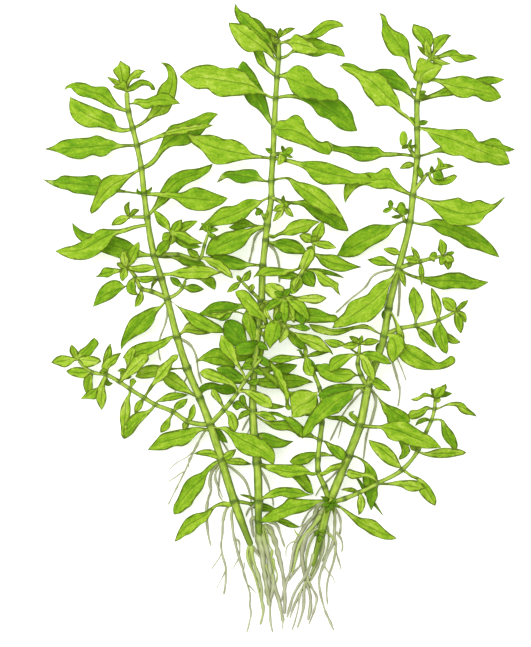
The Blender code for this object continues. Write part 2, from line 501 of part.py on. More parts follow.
        (18, -64.5, 5.5), (24.5, -63, 5.5), (28.5, -61, 5.5), (35.5, -57, 6), (43.5, -53, 5.5),
        (49, -47, 5), (52, -39.5, 4.5), (53.5, -35.5, 4.5), (55, -31.5, 4), (55, -28, 4),
    ), (
        Leaf(2, (29, -65.5, 6.5), (28, -69, 6.5), 3, 0.5),
        Leaf(3, (29, -54.5, 7.5), (24, -53.5, 8), 4, 1),
        Leaf(3, (44, -58.5, 5), (51.5, -59.5, 3), 4, 1),
        Leaf(3, (33, -61, 4.5), (32.5, -67, 3), 4.5, 1),
        Leaf(4, (37.5, -47.5, 6.5), (31.5, -42.5, 6.5), 5, 0.5),
        Leaf(4, (51, -57.5, 3.5), (55, -65.5, 0), 4.5, 2),
        Leaf(5, (57.5, -47, 4.5), (66, -47, 3), 3.5, 0.5),
        Leaf(5, (44.5, -46, 4.5), (42, -49.5, 4), 3, 1.5),
        Leaf(7, (59, -38.5, 3), (62, -46.5, 0.5), 4.5, 2),
        Leaf(8, (49.5, -32.5, 4), (45, -34, 3), 4, 1.5),
        Leaf(8, (62.5, -30.5, 4.5), (69.5, -34, 0), 4, 3),
        Leaf(9, (57, -25.5, 5), (58.5, -22.5, 5.5), 3.5, 0.5),
        Leaf(9, (54, -25.5, 5.5), (53.5, -24, 6), 2.5, 0.5),
        Leaf(9, (56, -26.5, 6.5), (57, -25, 7), 3, 0.5),
    )),
}
TWIGS = {
    "left_small_shoot": Shoot((
        (-46, 35.5, 9), (-52, 35.5, 10),
    ), (
        Leaf(1, (-55, 34.5, 10), (-58.5, 32.5, 9.5), 3, 0.5),
    )),
    "left_outer_twig": Shoot((
        (-43.5, 22, 8.5), (-35, 22.5, 6.5), (-27.5, 21, 7), (-26, 25.5, 8), (-24.5, 30, 9.5),
    ), (
        Leaf(2, (-29.5, 22.5, 7.5), (-32, 24.5, 8), 2.5, 0.5),
        Leaf(2, (-21, 18.5, 7.5), (-16, 14, 8), 3.5, 0.5),
    )),
    "left_inner_twig": Shoot((
        (-39, 7, 8), (-34, 10.5, 7), (-32, 13, 6.5),
    ), (
        Leaf(1, (-30.5, 10.5, 7), (-26, 10, 6.5), 3, 0.5),
        Leaf(1, (-36, 13, 7.5), (-37.5, 16, 8), 3, 0.5),
        Leaf(2, (-26.5, 13, 5.5), (-22, 10, 5), 4, 1),
    )),
    "middle_bud_twig": Shoot((
        (-6, 6, 7.5), (-9.5, 9.5, 9), (-13, 13, 10),
    ), (
        Leaf(2, (-11, 15, 11), (-10, 17, 12), 2.5, 0.5),
        Leaf(2, (-15, 11, 10.5), (-17.5, 9.5, 10), 2.5, 0.5),
    )),
    "right_bud_shoot": Shoot((
        (47.5, 43.5, 9), (52, 48.5, 10.5), (54, 49, 11),
    ), (
        Leaf(2, (57.5, 47.5, 11), (62.5, 49.5, 11), 3, 0.5),
        Leaf(2, (56.5, 53.5, 13.5), (55.5, 56.5, 14), 3, 1),
        Leaf(2, (56, 50, 14), (57, 50.5, 14.5), 4, 0.5),
    )),
}
ROUTES = {"left": LEFT_ROUTE, "middle": MIDDLE_ROUTE, "right": RIGHT_ROUTE}
LEAVES = {"left": LEFT_LEAVES, "middle": MIDDLE_LEAVES, "right": RIGHT_LEAVES}
SMALL_LEAVES = {"left": LEFT_SMALL_LEAVES, "middle": MIDDLE_SMALL_LEAVES, "right": RIGHT_SMALL_LEAVES}
NODE_ROOTS = {"left": LEFT_NODE_ROOTS, "middle": MIDDLE_NODE_ROOTS, "right": RIGHT_NODE_ROOTS}
ROOT_TUFTS = {"left": LEFT_ROOT_TUFT, "middle": MIDDLE_ROOT_TUFT, "right": RIGHT_ROOT_TUFT}

# Place along the stem that each side shoot grows from
SHOOT_NODES = {
    "left_upper_shoot": 7,
    "left_mid_shoot": 9,
    "left_low_branch": 12.9,
    "left_low_twig": 12.8,
    "middle_right_shoot": 11,
    "middle_low_shoot": 12,
    "right_upper_shoot": 7,
    "right_mid_branch": 9,
    "right_low_shoot": 9.8,
    "right_tall_shoot": 12.7,
    "right_low_branch": 12.9,
}


class Shape:
    """A closed solid of rings in millimetres, each joined to the next and closed at both ends."""

    def __init__(self):
        self.points = []
        self.faces = []

    def ring(self, corners):
        """Adds a ring of corners and gives the numbers of its points."""
        first = len(self.points)
        self.points.extend(corners)
        return list(range(first, len(self.points)))

    def cap(self, ring, outward):
        """Closes a ring with one flat face that points back along the path, or outwards."""
        self.faces.append(tuple(ring) if outward else tuple(reversed(ring)))

    def bridge(self, near, far):
        """Joins two rings with a band of faces, split so that each face is flat."""
        count = len(near)
        for i in range(count):
            j = (i + 1) % count
            self.faces.append((near[i], near[j], far[j]))
            self.faces.append((near[i], far[j], far[i]))

    def point(self, ring, tip, outward):
        """Closes a ring with a fan that meets in one point, ahead of it along the path or behind it."""
        self.points.append(tip)
        end = len(self.points) - 1
        for i in range(len(ring)):
            near, far = ring[i], ring[(i + 1) % len(ring)]
            self.faces.append((near, far, end) if outward else (far, near, end))

    def mesh(self, name):
        """The solid as a mesh in metres."""
        mesh = bpy.data.meshes.new(name)
        mesh.from_pydata([Vector(p) * MM for p in self.points], [], self.faces)
        mesh.validate()
        return mesh


def across(direction):
    """Level unit vector to the left of a direction, and the unit vector above both."""
    side = Vector((0, 0, 1)).cross(direction)
    if side.length < 1e-6:
        side = Vector((0, 1, 0))
    side.normalize()
    return side, direction.cross(side).normalized()


def place_on(route, node):
    """Point and direction at a place along a route, counted in points and parts of a run."""
    run = min(int(node), len(route) - 2)
    start, end = Vector(route[run]), Vector(route[run + 1])
    before = Vector(route[max(run - 1, 0)])
    turn = (end - start).normalized() + (start - before).normalized()
    direction = turn if node == run else end - start
    return start.lerp(end, node - run), direction.normalized()


def stem_radius(route, node):
    """A stem thickens evenly from its growing end to its base."""
    share = node / (len(route) - 1)
    return STEM_TOP_RADIUS + (STEM_BASE_RADIUS - STEM_TOP_RADIUS) * share


def beside(route, node, towards, clear):
    """Point level with a node and square to the stem, on the side of the piece that grows there."""
    centre, direction = place_on(route, node)
    away = Vector(towards) - centre
    away -= direction * away.dot(direction)
    return centre + away.normalized() * clear


def tube(route, radii, sides):
    """A round rod along a route, with one radius for each of its points."""
    points = [Vector(p) for p in route]
    shape = Shape()
    rings = []
    for i, (centre, radius) in enumerate(zip(points, radii)):
        ahead = points[min(i + 1, len(points) - 1)] - centre
        behind = centre - points[max(i - 1, 0)]
        direction = (ahead.normalized() + behind.normalized()).normalized()
        side, up = across(direction)
        angles = [2 * math.pi * (k + 0.5) / sides for k in range(sides)]
        ring = [centre + side * math.cos(a) * radius + up * math.sin(a) * radius for a in angles]
        rings.append(shape.ring(ring))
    shape.cap(rings[0], outward=False)
    for near, far in zip(rings, rings[1:]):
        shape.bridge(near, far)
    shape.cap(rings[-1], outward=True)
    return shape


def midrib(base, middle, tip, share):
    """Point and direction on the curve through the base, the middle at one half, and the tip."""
    base, middle, tip = Vector(base), Vector(middle), Vector(tip)
    first = 4 * middle - 3 * base - tip
    second = 2 * base + 2 * tip - 4 * middle
    direction = first + 2 * share * second
    return base + first * share + second * share * share, direction.normalized()


def blade(base, leaf, stations, free):
    """A closed blade on a stalk: rings of left edge, crest, right edge and keel, and a tip.

    The blade's half width is half its full width times the sine of pi times a share to the
    power OUTLINE_POWER. The share runs from OUTLINE_START at station 0 to 1 at station 1. A
    free blade starts with a flat end and has a keel. One that grows out of a stem starts in a
    point and has a flat underside.
    """
    length = (Vector(leaf.middle) - Vector(base)).length + (Vector(leaf.tip) - Vector(leaf.middle)).length
    stalk = min(max(leaf.stalk / length, SHORTEST_STALK), LONGEST_STALK)
    widths = [(0.0, STALK_HALF_WIDTH)] if free else []
    for station in stations:
        share = OUTLINE_START + (1 - OUTLINE_START) * station
        half = leaf.width / 2 * math.sin(math.pi * share**OUTLINE_POWER)
        widths.append((stalk + (1 - stalk) * station, max(half, STALK_HALF_WIDTH)))
    shape = Shape()
    rings = []
    for share, half in widths:
        centre, direction = midrib(base, leaf.middle, leaf.tip, share)
        side, up = across(direction)
        up *= LEAF_THICKNESS / 2
        corners = [centre + side * half, centre + up, centre - side * half]
        if free:
            corners.append(centre - up)
        rings.append(shape.ring(corners))
    if free:
        shape.cap(rings[0], outward=False)
    else:
        shape.point(rings[0], Vector(base), outward=False)
    for near, far in zip(rings, rings[1:]):
        shape.bridge(near, far)
    shape.point(rings[-1], Vector(leaf.tip), outward=True)
    return shape


def material(name, color):
    """Plant tissue: one colour, slightly glossy, not metal."""
    made = bpy.data.materials.new(name)
    made.use_nodes = True
    surface = made.node_tree.nodes["Principled BSDF"]
    surface.inputs["Base Color"].default_value = (*color, 1)
    surface.inputs["Roughness"].default_value = ROUGHNESS
    surface.inputs["Metallic"].default_value = 0.0
    return made


def thing(name, shape, finish):
    """One object of the scene."""
    mesh = shape.mesh(name)
    mesh.materials.append(finish)
    made = bpy.data.objects.new(name, mesh)
    bpy.context.scene.collection.objects.link(made)
    return made


def joined(name, main, others, finish):
    """One solid grown together from a main shape and the shapes that branch off it."""
    made = thing(name, main, finish)
    made.data.shade_smooth()
    made.data.set_sharp_from_angle(angle=math.radians(SHARP_ANGLE))
    branches = bpy.data.collections.new(f"{name}_branches")
    bpy.context.scene.collection.children.link(branches)
    for number, shape in enumerate(others):
        branch = thing(f"{name}_branch_{number:02d}", shape, finish)
        bpy.context.scene.collection.objects.unlink(branch)
        branches.objects.link(branch)
        branch.hide_render = True
        branch.display_type = "WIRE"
    union = made.modifiers.new("grown_together", "BOOLEAN")
    union.operation = "UNION"
    union.operand_type = "COLLECTION"
    union.collection = branches
    union.solver = "EXACT"
    thin = made.modifiers.new("fewer_faces", "DECIMATE")
    thin.ratio = KEPT_FACES
    return made


def root(one):
    """A root that thins towards its end and lies no lower than the surface."""
    count = len(one.route)
    radii = [one.radius * (1 - (1 - ROOT_TIP_SHARE) * i / (count - 1)) for i in range(count)]
    route = [(x, y, max(z, radius)) for (x, y, z), radius in zip(one.route, radii)]
    return tube(route, radii, ROOT_SIDES)


def twig(route):
    """A twig that thins towards its end."""
    last = len(route) - 1
    radii = [TWIG_RADIUS + (TWIG_TIP_RADIUS - TWIG_RADIUS) * i / last for i in range(last + 1)]
    return tube(route, radii, TWIG_SIDES)


def grown_leaves(route, leaves, depth):
    """Blades that grow out of a stem or a twig, from a point a little behind its centre."""
    shapes = []
    for leaf in leaves:
        centre = place_on(route, leaf.node)[0]
        base = centre - (Vector(leaf.middle) - centre).normalized() * depth
        stations = GROWN_STATIONS if leaf.width >= BROAD_LEAF else SMALL_STATIONS
        shapes.append(blade(base, leaf, stations, free=False))
    return shapes


def build_stem(side, route, small_leaves, node_roots, finish):
    """A main stem with the small leaves, side twigs and aerial roots that grow from it."""
    radii = [stem_radius(route, i) for i in range(len(route))]
    others = grown_leaves(route, small_leaves, STEM_ROOTING)
    others += [root(one) for one in node_roots]
    for name, shoot in TWIGS.items():
        if name.startswith(side):
            others.append(twig(shoot.route))
            others += grown_leaves(shoot.route, shoot.leaves, TWIG_ROOTING)
    joined(f"{side}_stem", tube(route, radii, STEM_SIDES), others, finish)


def build_leaves(route, leaves, finish):
    """The large leaves of a stem, each a piece of its own that starts beside the stem."""
    for name, leaf in leaves.items():
        clear = stem_radius(route, leaf.node) + GAP + STALK_HALF_WIDTH
        base = beside(route, leaf.node, leaf.middle, clear)
        made = thing(name, blade(base, leaf, LARGE_STATIONS, free=True), finish)
        made.data.shade_smooth()


def build_shoot(name, shoot, finish):
    """A side shoot that starts beside its stem, with its leaves."""
    stem = ROUTES[name.split("_")[0]]
    start = SHOOT_NODES[name]
    clear = stem_radius(stem, start) + GAP + TWIG_RADIUS
    first = beside(stem, start, shoot.route[1], clear)
    route = (tuple(first), *shoot.route[1:])
    joined(name, twig(route), grown_leaves(route, shoot.leaves, TWIG_ROOTING), finish)


def build_root_tuft(side, roots, finish):
    """The roots at a stem's base, grown together at the crown."""
    joined(f"{side}_root_tuft", root(roots[0]), [root(one) for one in roots[1:]], finish)


def main():
    """Clears the scene and builds the plant."""
    for old in list(bpy.data.objects):
        bpy.data.objects.remove(old)
    green = material("leaf_green", (0.42, 0.6, 0.12))
    stem_green = material("stem_green", (0.55, 0.68, 0.2))
    brown = material("root_brown", (0.5, 0.47, 0.36))
    for side, route in ROUTES.items():
        build_stem(side, route, SMALL_LEAVES[side], NODE_ROOTS[side], stem_green)
        build_leaves(route, LEAVES[side], green)
        build_root_tuft(side, ROOT_TUFTS[side], brown)
    for name, shoot in SHOOTS.items():
        build_shoot(name, shoot, stem_green)


main()
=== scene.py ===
"""Marsh seedbox, a clump of three leafy shoots on one root mass, laid flat and seen from above.

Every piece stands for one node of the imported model. The sizes below are millimetres in the
model's own frame: +X is the clump's right, +Y its growing end, and it lies on Z = 0.
"""

import logging
import math
from dataclasses import dataclass, field
from enum import Enum

import bpy
import numpy as np
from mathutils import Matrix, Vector


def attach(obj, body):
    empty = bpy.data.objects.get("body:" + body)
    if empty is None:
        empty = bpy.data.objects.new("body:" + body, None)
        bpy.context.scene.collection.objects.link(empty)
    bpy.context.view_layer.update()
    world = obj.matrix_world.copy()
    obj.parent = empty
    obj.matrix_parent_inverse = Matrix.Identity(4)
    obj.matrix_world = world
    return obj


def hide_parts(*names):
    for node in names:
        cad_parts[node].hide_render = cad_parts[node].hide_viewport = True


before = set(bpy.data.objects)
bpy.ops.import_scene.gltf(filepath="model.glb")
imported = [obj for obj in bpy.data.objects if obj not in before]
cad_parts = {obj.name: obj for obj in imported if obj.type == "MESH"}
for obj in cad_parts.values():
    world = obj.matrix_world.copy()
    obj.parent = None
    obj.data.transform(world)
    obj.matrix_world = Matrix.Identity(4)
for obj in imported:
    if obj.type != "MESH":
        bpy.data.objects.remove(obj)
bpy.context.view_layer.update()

LOG = logging.getLogger("marsh_seedbox")

MM = 0.001
BODY = "root"
PATTERN_SHIFT = 50.0
RELIEF_STRENGTH = 0.6
NO_JOINT = 99.0
UPRIGHT = 0.05
STALK_HALF_WIDTH = 0.6
STALK_OF_WIDTH = 0.2
LONGEST_STALK = 0.6
LEAST_HALF_WIDTH = 0.015
SHORT_LEAF = 4.5
SHORT_FULLNESS = 0.55
LONG_FULLNESS = 0.85
MARGIN_WAVES = 5
MARGIN_SAMPLES = 200
MIDRIB_PART = 0.75
EVENING = 15
SHOOT_RADII = (0.84, 0.56)
Point = tuple[float, float, float]
Spot = tuple[float, float]
Route = tuple[Point, ...] | np.ndarray
Color = tuple[float, float, float, float]
Outline = tuple[np.ndarray, np.ndarray, np.ndarray]


class Slot(str, Enum):
    """The record's material slots."""

    LEAF = "leaf"
    STEM = "stem"
    ROOT = "root"


class Side(str, Enum):
    """The three main stems."""

    LEFT = "left"
    MIDDLE = "middle"
    RIGHT = "right"


@dataclass(frozen=True)
class Leaf:
    """A small leaf, from its place on a stem to its tip, in millimetres.

    Args:
        node: place along the stem or twig, counted in the points of its route.
        spine: points that the midrib passes through, its tip last.
        width: widest measure across the blade.
        stalk: length with no blade.
        tone: how dark a green it is, from 0 to 1.
        widest: share of the blade's length where it is widest.
        wave: how far its margin waves, as a share of its half width.
        turned: share of its length, at the tip, that shows its underside.
    """

    node: float
    spine: tuple[Point, ...]
    width: float
    stalk: float
    tone: float
    widest: float = 0.45
    wave: float = 0.12
    turned: float = 0.0

    def outline(self, base: np.ndarray, shares: np.ndarray, rng: np.random.Generator) -> Outline:
        """Midrib and margins of the leaf.

        The half width is half the width times the sine of pi t to the power p, to the power of
        its fullness, where t runs from 0 to 1 along the blade and p puts the widest place where
        the leaf has it. A short leaf is fuller than a long one. The stalk narrows with the
        square root of what is left of the blade.

        Args:
            base: point inside the stem that it grows from.
            shares: shares of the midrib's length, one for each row.
            rng: seeded source of its waves.

        Returns:
            The midrib in space, and its left and right margins seen from above.
        """
        spine = np.vstack([base, *self.spine])
        path = along_route(spine, even_places(spine, shares))
        _, side, _ = frames(path)
        length = distances(path)[-1]
        stalk = min(self.stalk / length, LONGEST_STALK)
        t = np.clip((shares - stalk) / (1 - stalk), 0, 1)
        power = math.log(0.5) / math.log(self.widest)
        fullness = SHORT_FULLNESS if length < SHORT_LEAF else LONG_FULLNESS
        blade = self.width / 2 * np.sin(math.pi * t**power) ** fullness
        stem = min(STALK_HALF_WIDTH, self.width * STALK_OF_WIDTH) * np.sqrt(np.clip(1 - t, 0, 1))
        half = np.sqrt(blade**2 + stem**2) + LEAST_HALF_WIDTH
        waves = [half * (1 + self.wave * noise_line(rng, len(shares), MARGIN_WAVES)) for _ in range(2)]
        left = path[:, :2] + side[:, :2] * waves[0][:, None]
        right = path[:, :2] - side[:, :2] * waves[1][:, None]
        return path, left, right


@dataclass(frozen=True)
class BroadLeaf:
    """A leaf whose margins are measured one by one, in millimetres.

    Args:
        node: place along the stem or twig, counted in the points of its route.
        spine: points that the midrib passes through, its tip last.
        left: points of the left margin, seen from above looking towards the tip.
        right: points of the right margin.
        tone: how dark a green it is, from 0 to 1.
        turned: share of its length, at the tip, that shows its underside.
    """

    node: float
    spine: tuple[Point, ...]
    left: tuple[Spot, ...]
    right: tuple[Spot, ...]
    tone: float
    turned: float = 0.0

    def outline(self, base: np.ndarray, shares: np.ndarray, rng: np.random.Generator) -> Outline:
        """Midrib and margins of the leaf.

        Args:
            base: point inside the stem that it grows from.
            shares: shares of the midrib's length, one for each row.
            rng: not used, as the margins are measured.

        Returns:
            The midrib in space, and its left and right margins seen from above.
        """
        spine = np.vstack([base, *self.spine])
        path = along_route(spine, even_places(spine, shares))
        _, side, _ = frames(path)
        foot = side[0, :2] * STALK_HALF_WIDTH
        left = self._margin(path, shares, path[0, :2] + foot, self.left)
        right = self._margin(path, shares, path[0, :2] - foot, self.right)
        return path, left, right

    @staticmethod
    def _margin(
        path: np.ndarray, shares: np.ndarray, foot: np.ndarray, points: tuple[Spot, ...]
    ) -> np.ndarray:
        """One margin, with a point for each row.

        The margin is a smooth curve from its foot through its points to the tip. Each of its
        samples belongs to a share of the midrib that is three parts that of the midrib's
        nearest point and one part the sample's own share, and never falls. A moving mean then
        evens these shares out.

        Args:
            path: the midrib.
            shares: shares of the midrib's length, one for each row.
            foot: where the margin starts.
            points: the margin's own points.

        Returns:
            One point for each row.
        """
        route = np.vstack([foot, *points, path[-1, :2]])
        own = np.linspace(0, 1, MARGIN_SAMPLES)
        curve = along_route(route, even_places(route, own))
        gaps = np.linalg.norm(curve[:, None] - path[None, :, :2], axis=2)
        nearest = shares[gaps.argmin(axis=1)]
        belongs = np.maximum.accumulate(nearest * MIDRIB_PART + own * (1 - MIDRIB_PART))
        belongs = np.pad(belongs, EVENING // 2, mode="edge")
        belongs = np.convolve(belongs, np.full(EVENING, 1 / EVENING), mode="valid")
        belongs = (belongs - belongs[0]) / (belongs[-1] - belongs[0])
        return np.stack([np.interp(shares, belongs, curve[:, axis]) for axis in range(2)], axis=1)


AnyLeaf = Leaf | BroadLeaf


@dataclass(frozen=True)
class Root:
    """One root, in millimetres.

    Args:
        radius: radius at its start.
        heights: height of its start and of its tip.
        plan: its route seen from above.
        green: how green it is, from 0 to 1.
    """

    radius: float
    heights: tuple[float, float]
    plan: tuple[Spot, ...]
    green: float = 0.0

    def route(self) -> np.ndarray:
        """Its route in space.

        Its height over its tip falls with the square of the share that is left, counted in
        points.

        Returns:
            One point for each point of its plan.
        """
        left = 1 - np.linspace(0, 1, len(self.plan))
        start, end = self.heights
        return np.column_stack([np.array(self.plan), end + (start - end) * left**2])


@dataclass(frozen=True)
class Shoot:
    """A side shoot or twig: its route from its stem outwards, its leaves, its radii at both ends."""

    route: tuple[Point, ...]
    leaves: tuple[AnyLeaf, ...]
    radii: tuple[float, float]

    @classmethod
    def of(
        cls, route: tuple[Point, ...], *leaves: AnyLeaf, radii: tuple[float, float] = SHOOT_RADII
    ) -> "Shoot":
        """A shoot from its route and its leaves one by one."""
        return cls(route, leaves, radii)


@dataclass(frozen=True)
class Bud:
    """A bud or capsule: its centre, its three radii and its tone."""

    centre: Point
    radii: Point
    tone: float


LEFT_ROUTE = ((-53, 79.5, 10), (-52.5, 72.5, 10), (-51, 66.5, 9.5), (-49.5, 60.5, 9.5), (-48, 52.5, 9),
    (-47, 43.5, 9), (-46, 35.5, 9), (-43.5, 22, 8.5), (-41, 14, 8), (-39, 7, 8), (-35.5, -6.5, 7.5),
    (-32, -17.5, 7), (-27.5, -28, 7), (-24, -37, 6.5), (-20, -49.5, 6), (-15.5, -64, 5), (-9.5, -80, 3.5))
MIDDLE_ROUTE = ((0, 98, 10), (0, 91, 10), (-0.5, 84.5, 9.5), (-1, 77, 9.5), (-1.5, 67, 9), (-2, 56, 9),
    (-2.5, 48, 9), (-2.5, 42.5, 8.5), (-4, 32.5, 8.5), (-4.5, 27.5, 8), (-5.5, 18.5, 8), (-6, 6, 7.5),
    (-7, -3, 7.5), (-8.5, -17.5, 7), (-9, -32.5, 6.5), (-8.5, -41.5, 6.5), (-7.5, -50.5, 6), (-7, -64, 6),
    (-7, -71, 5), (-6.6, -76, 3.4))
RIGHT_ROUTE = ((53.5, 91.5, 10), (49.5, 82.5, 10), (48.5, 76, 9.5), (48.5, 66.5, 9.5), (48.5, 56.5, 9),
    (47, 43, 9), (46, 34, 9), (42, 17.5, 8.5), (38.5, 3.5, 8), (37, -6, 7.5), (31.5, -23.5, 7),
    (28.5, -37.5, 7), (24.5, -48, 6.5), (18, -64, 5.5))
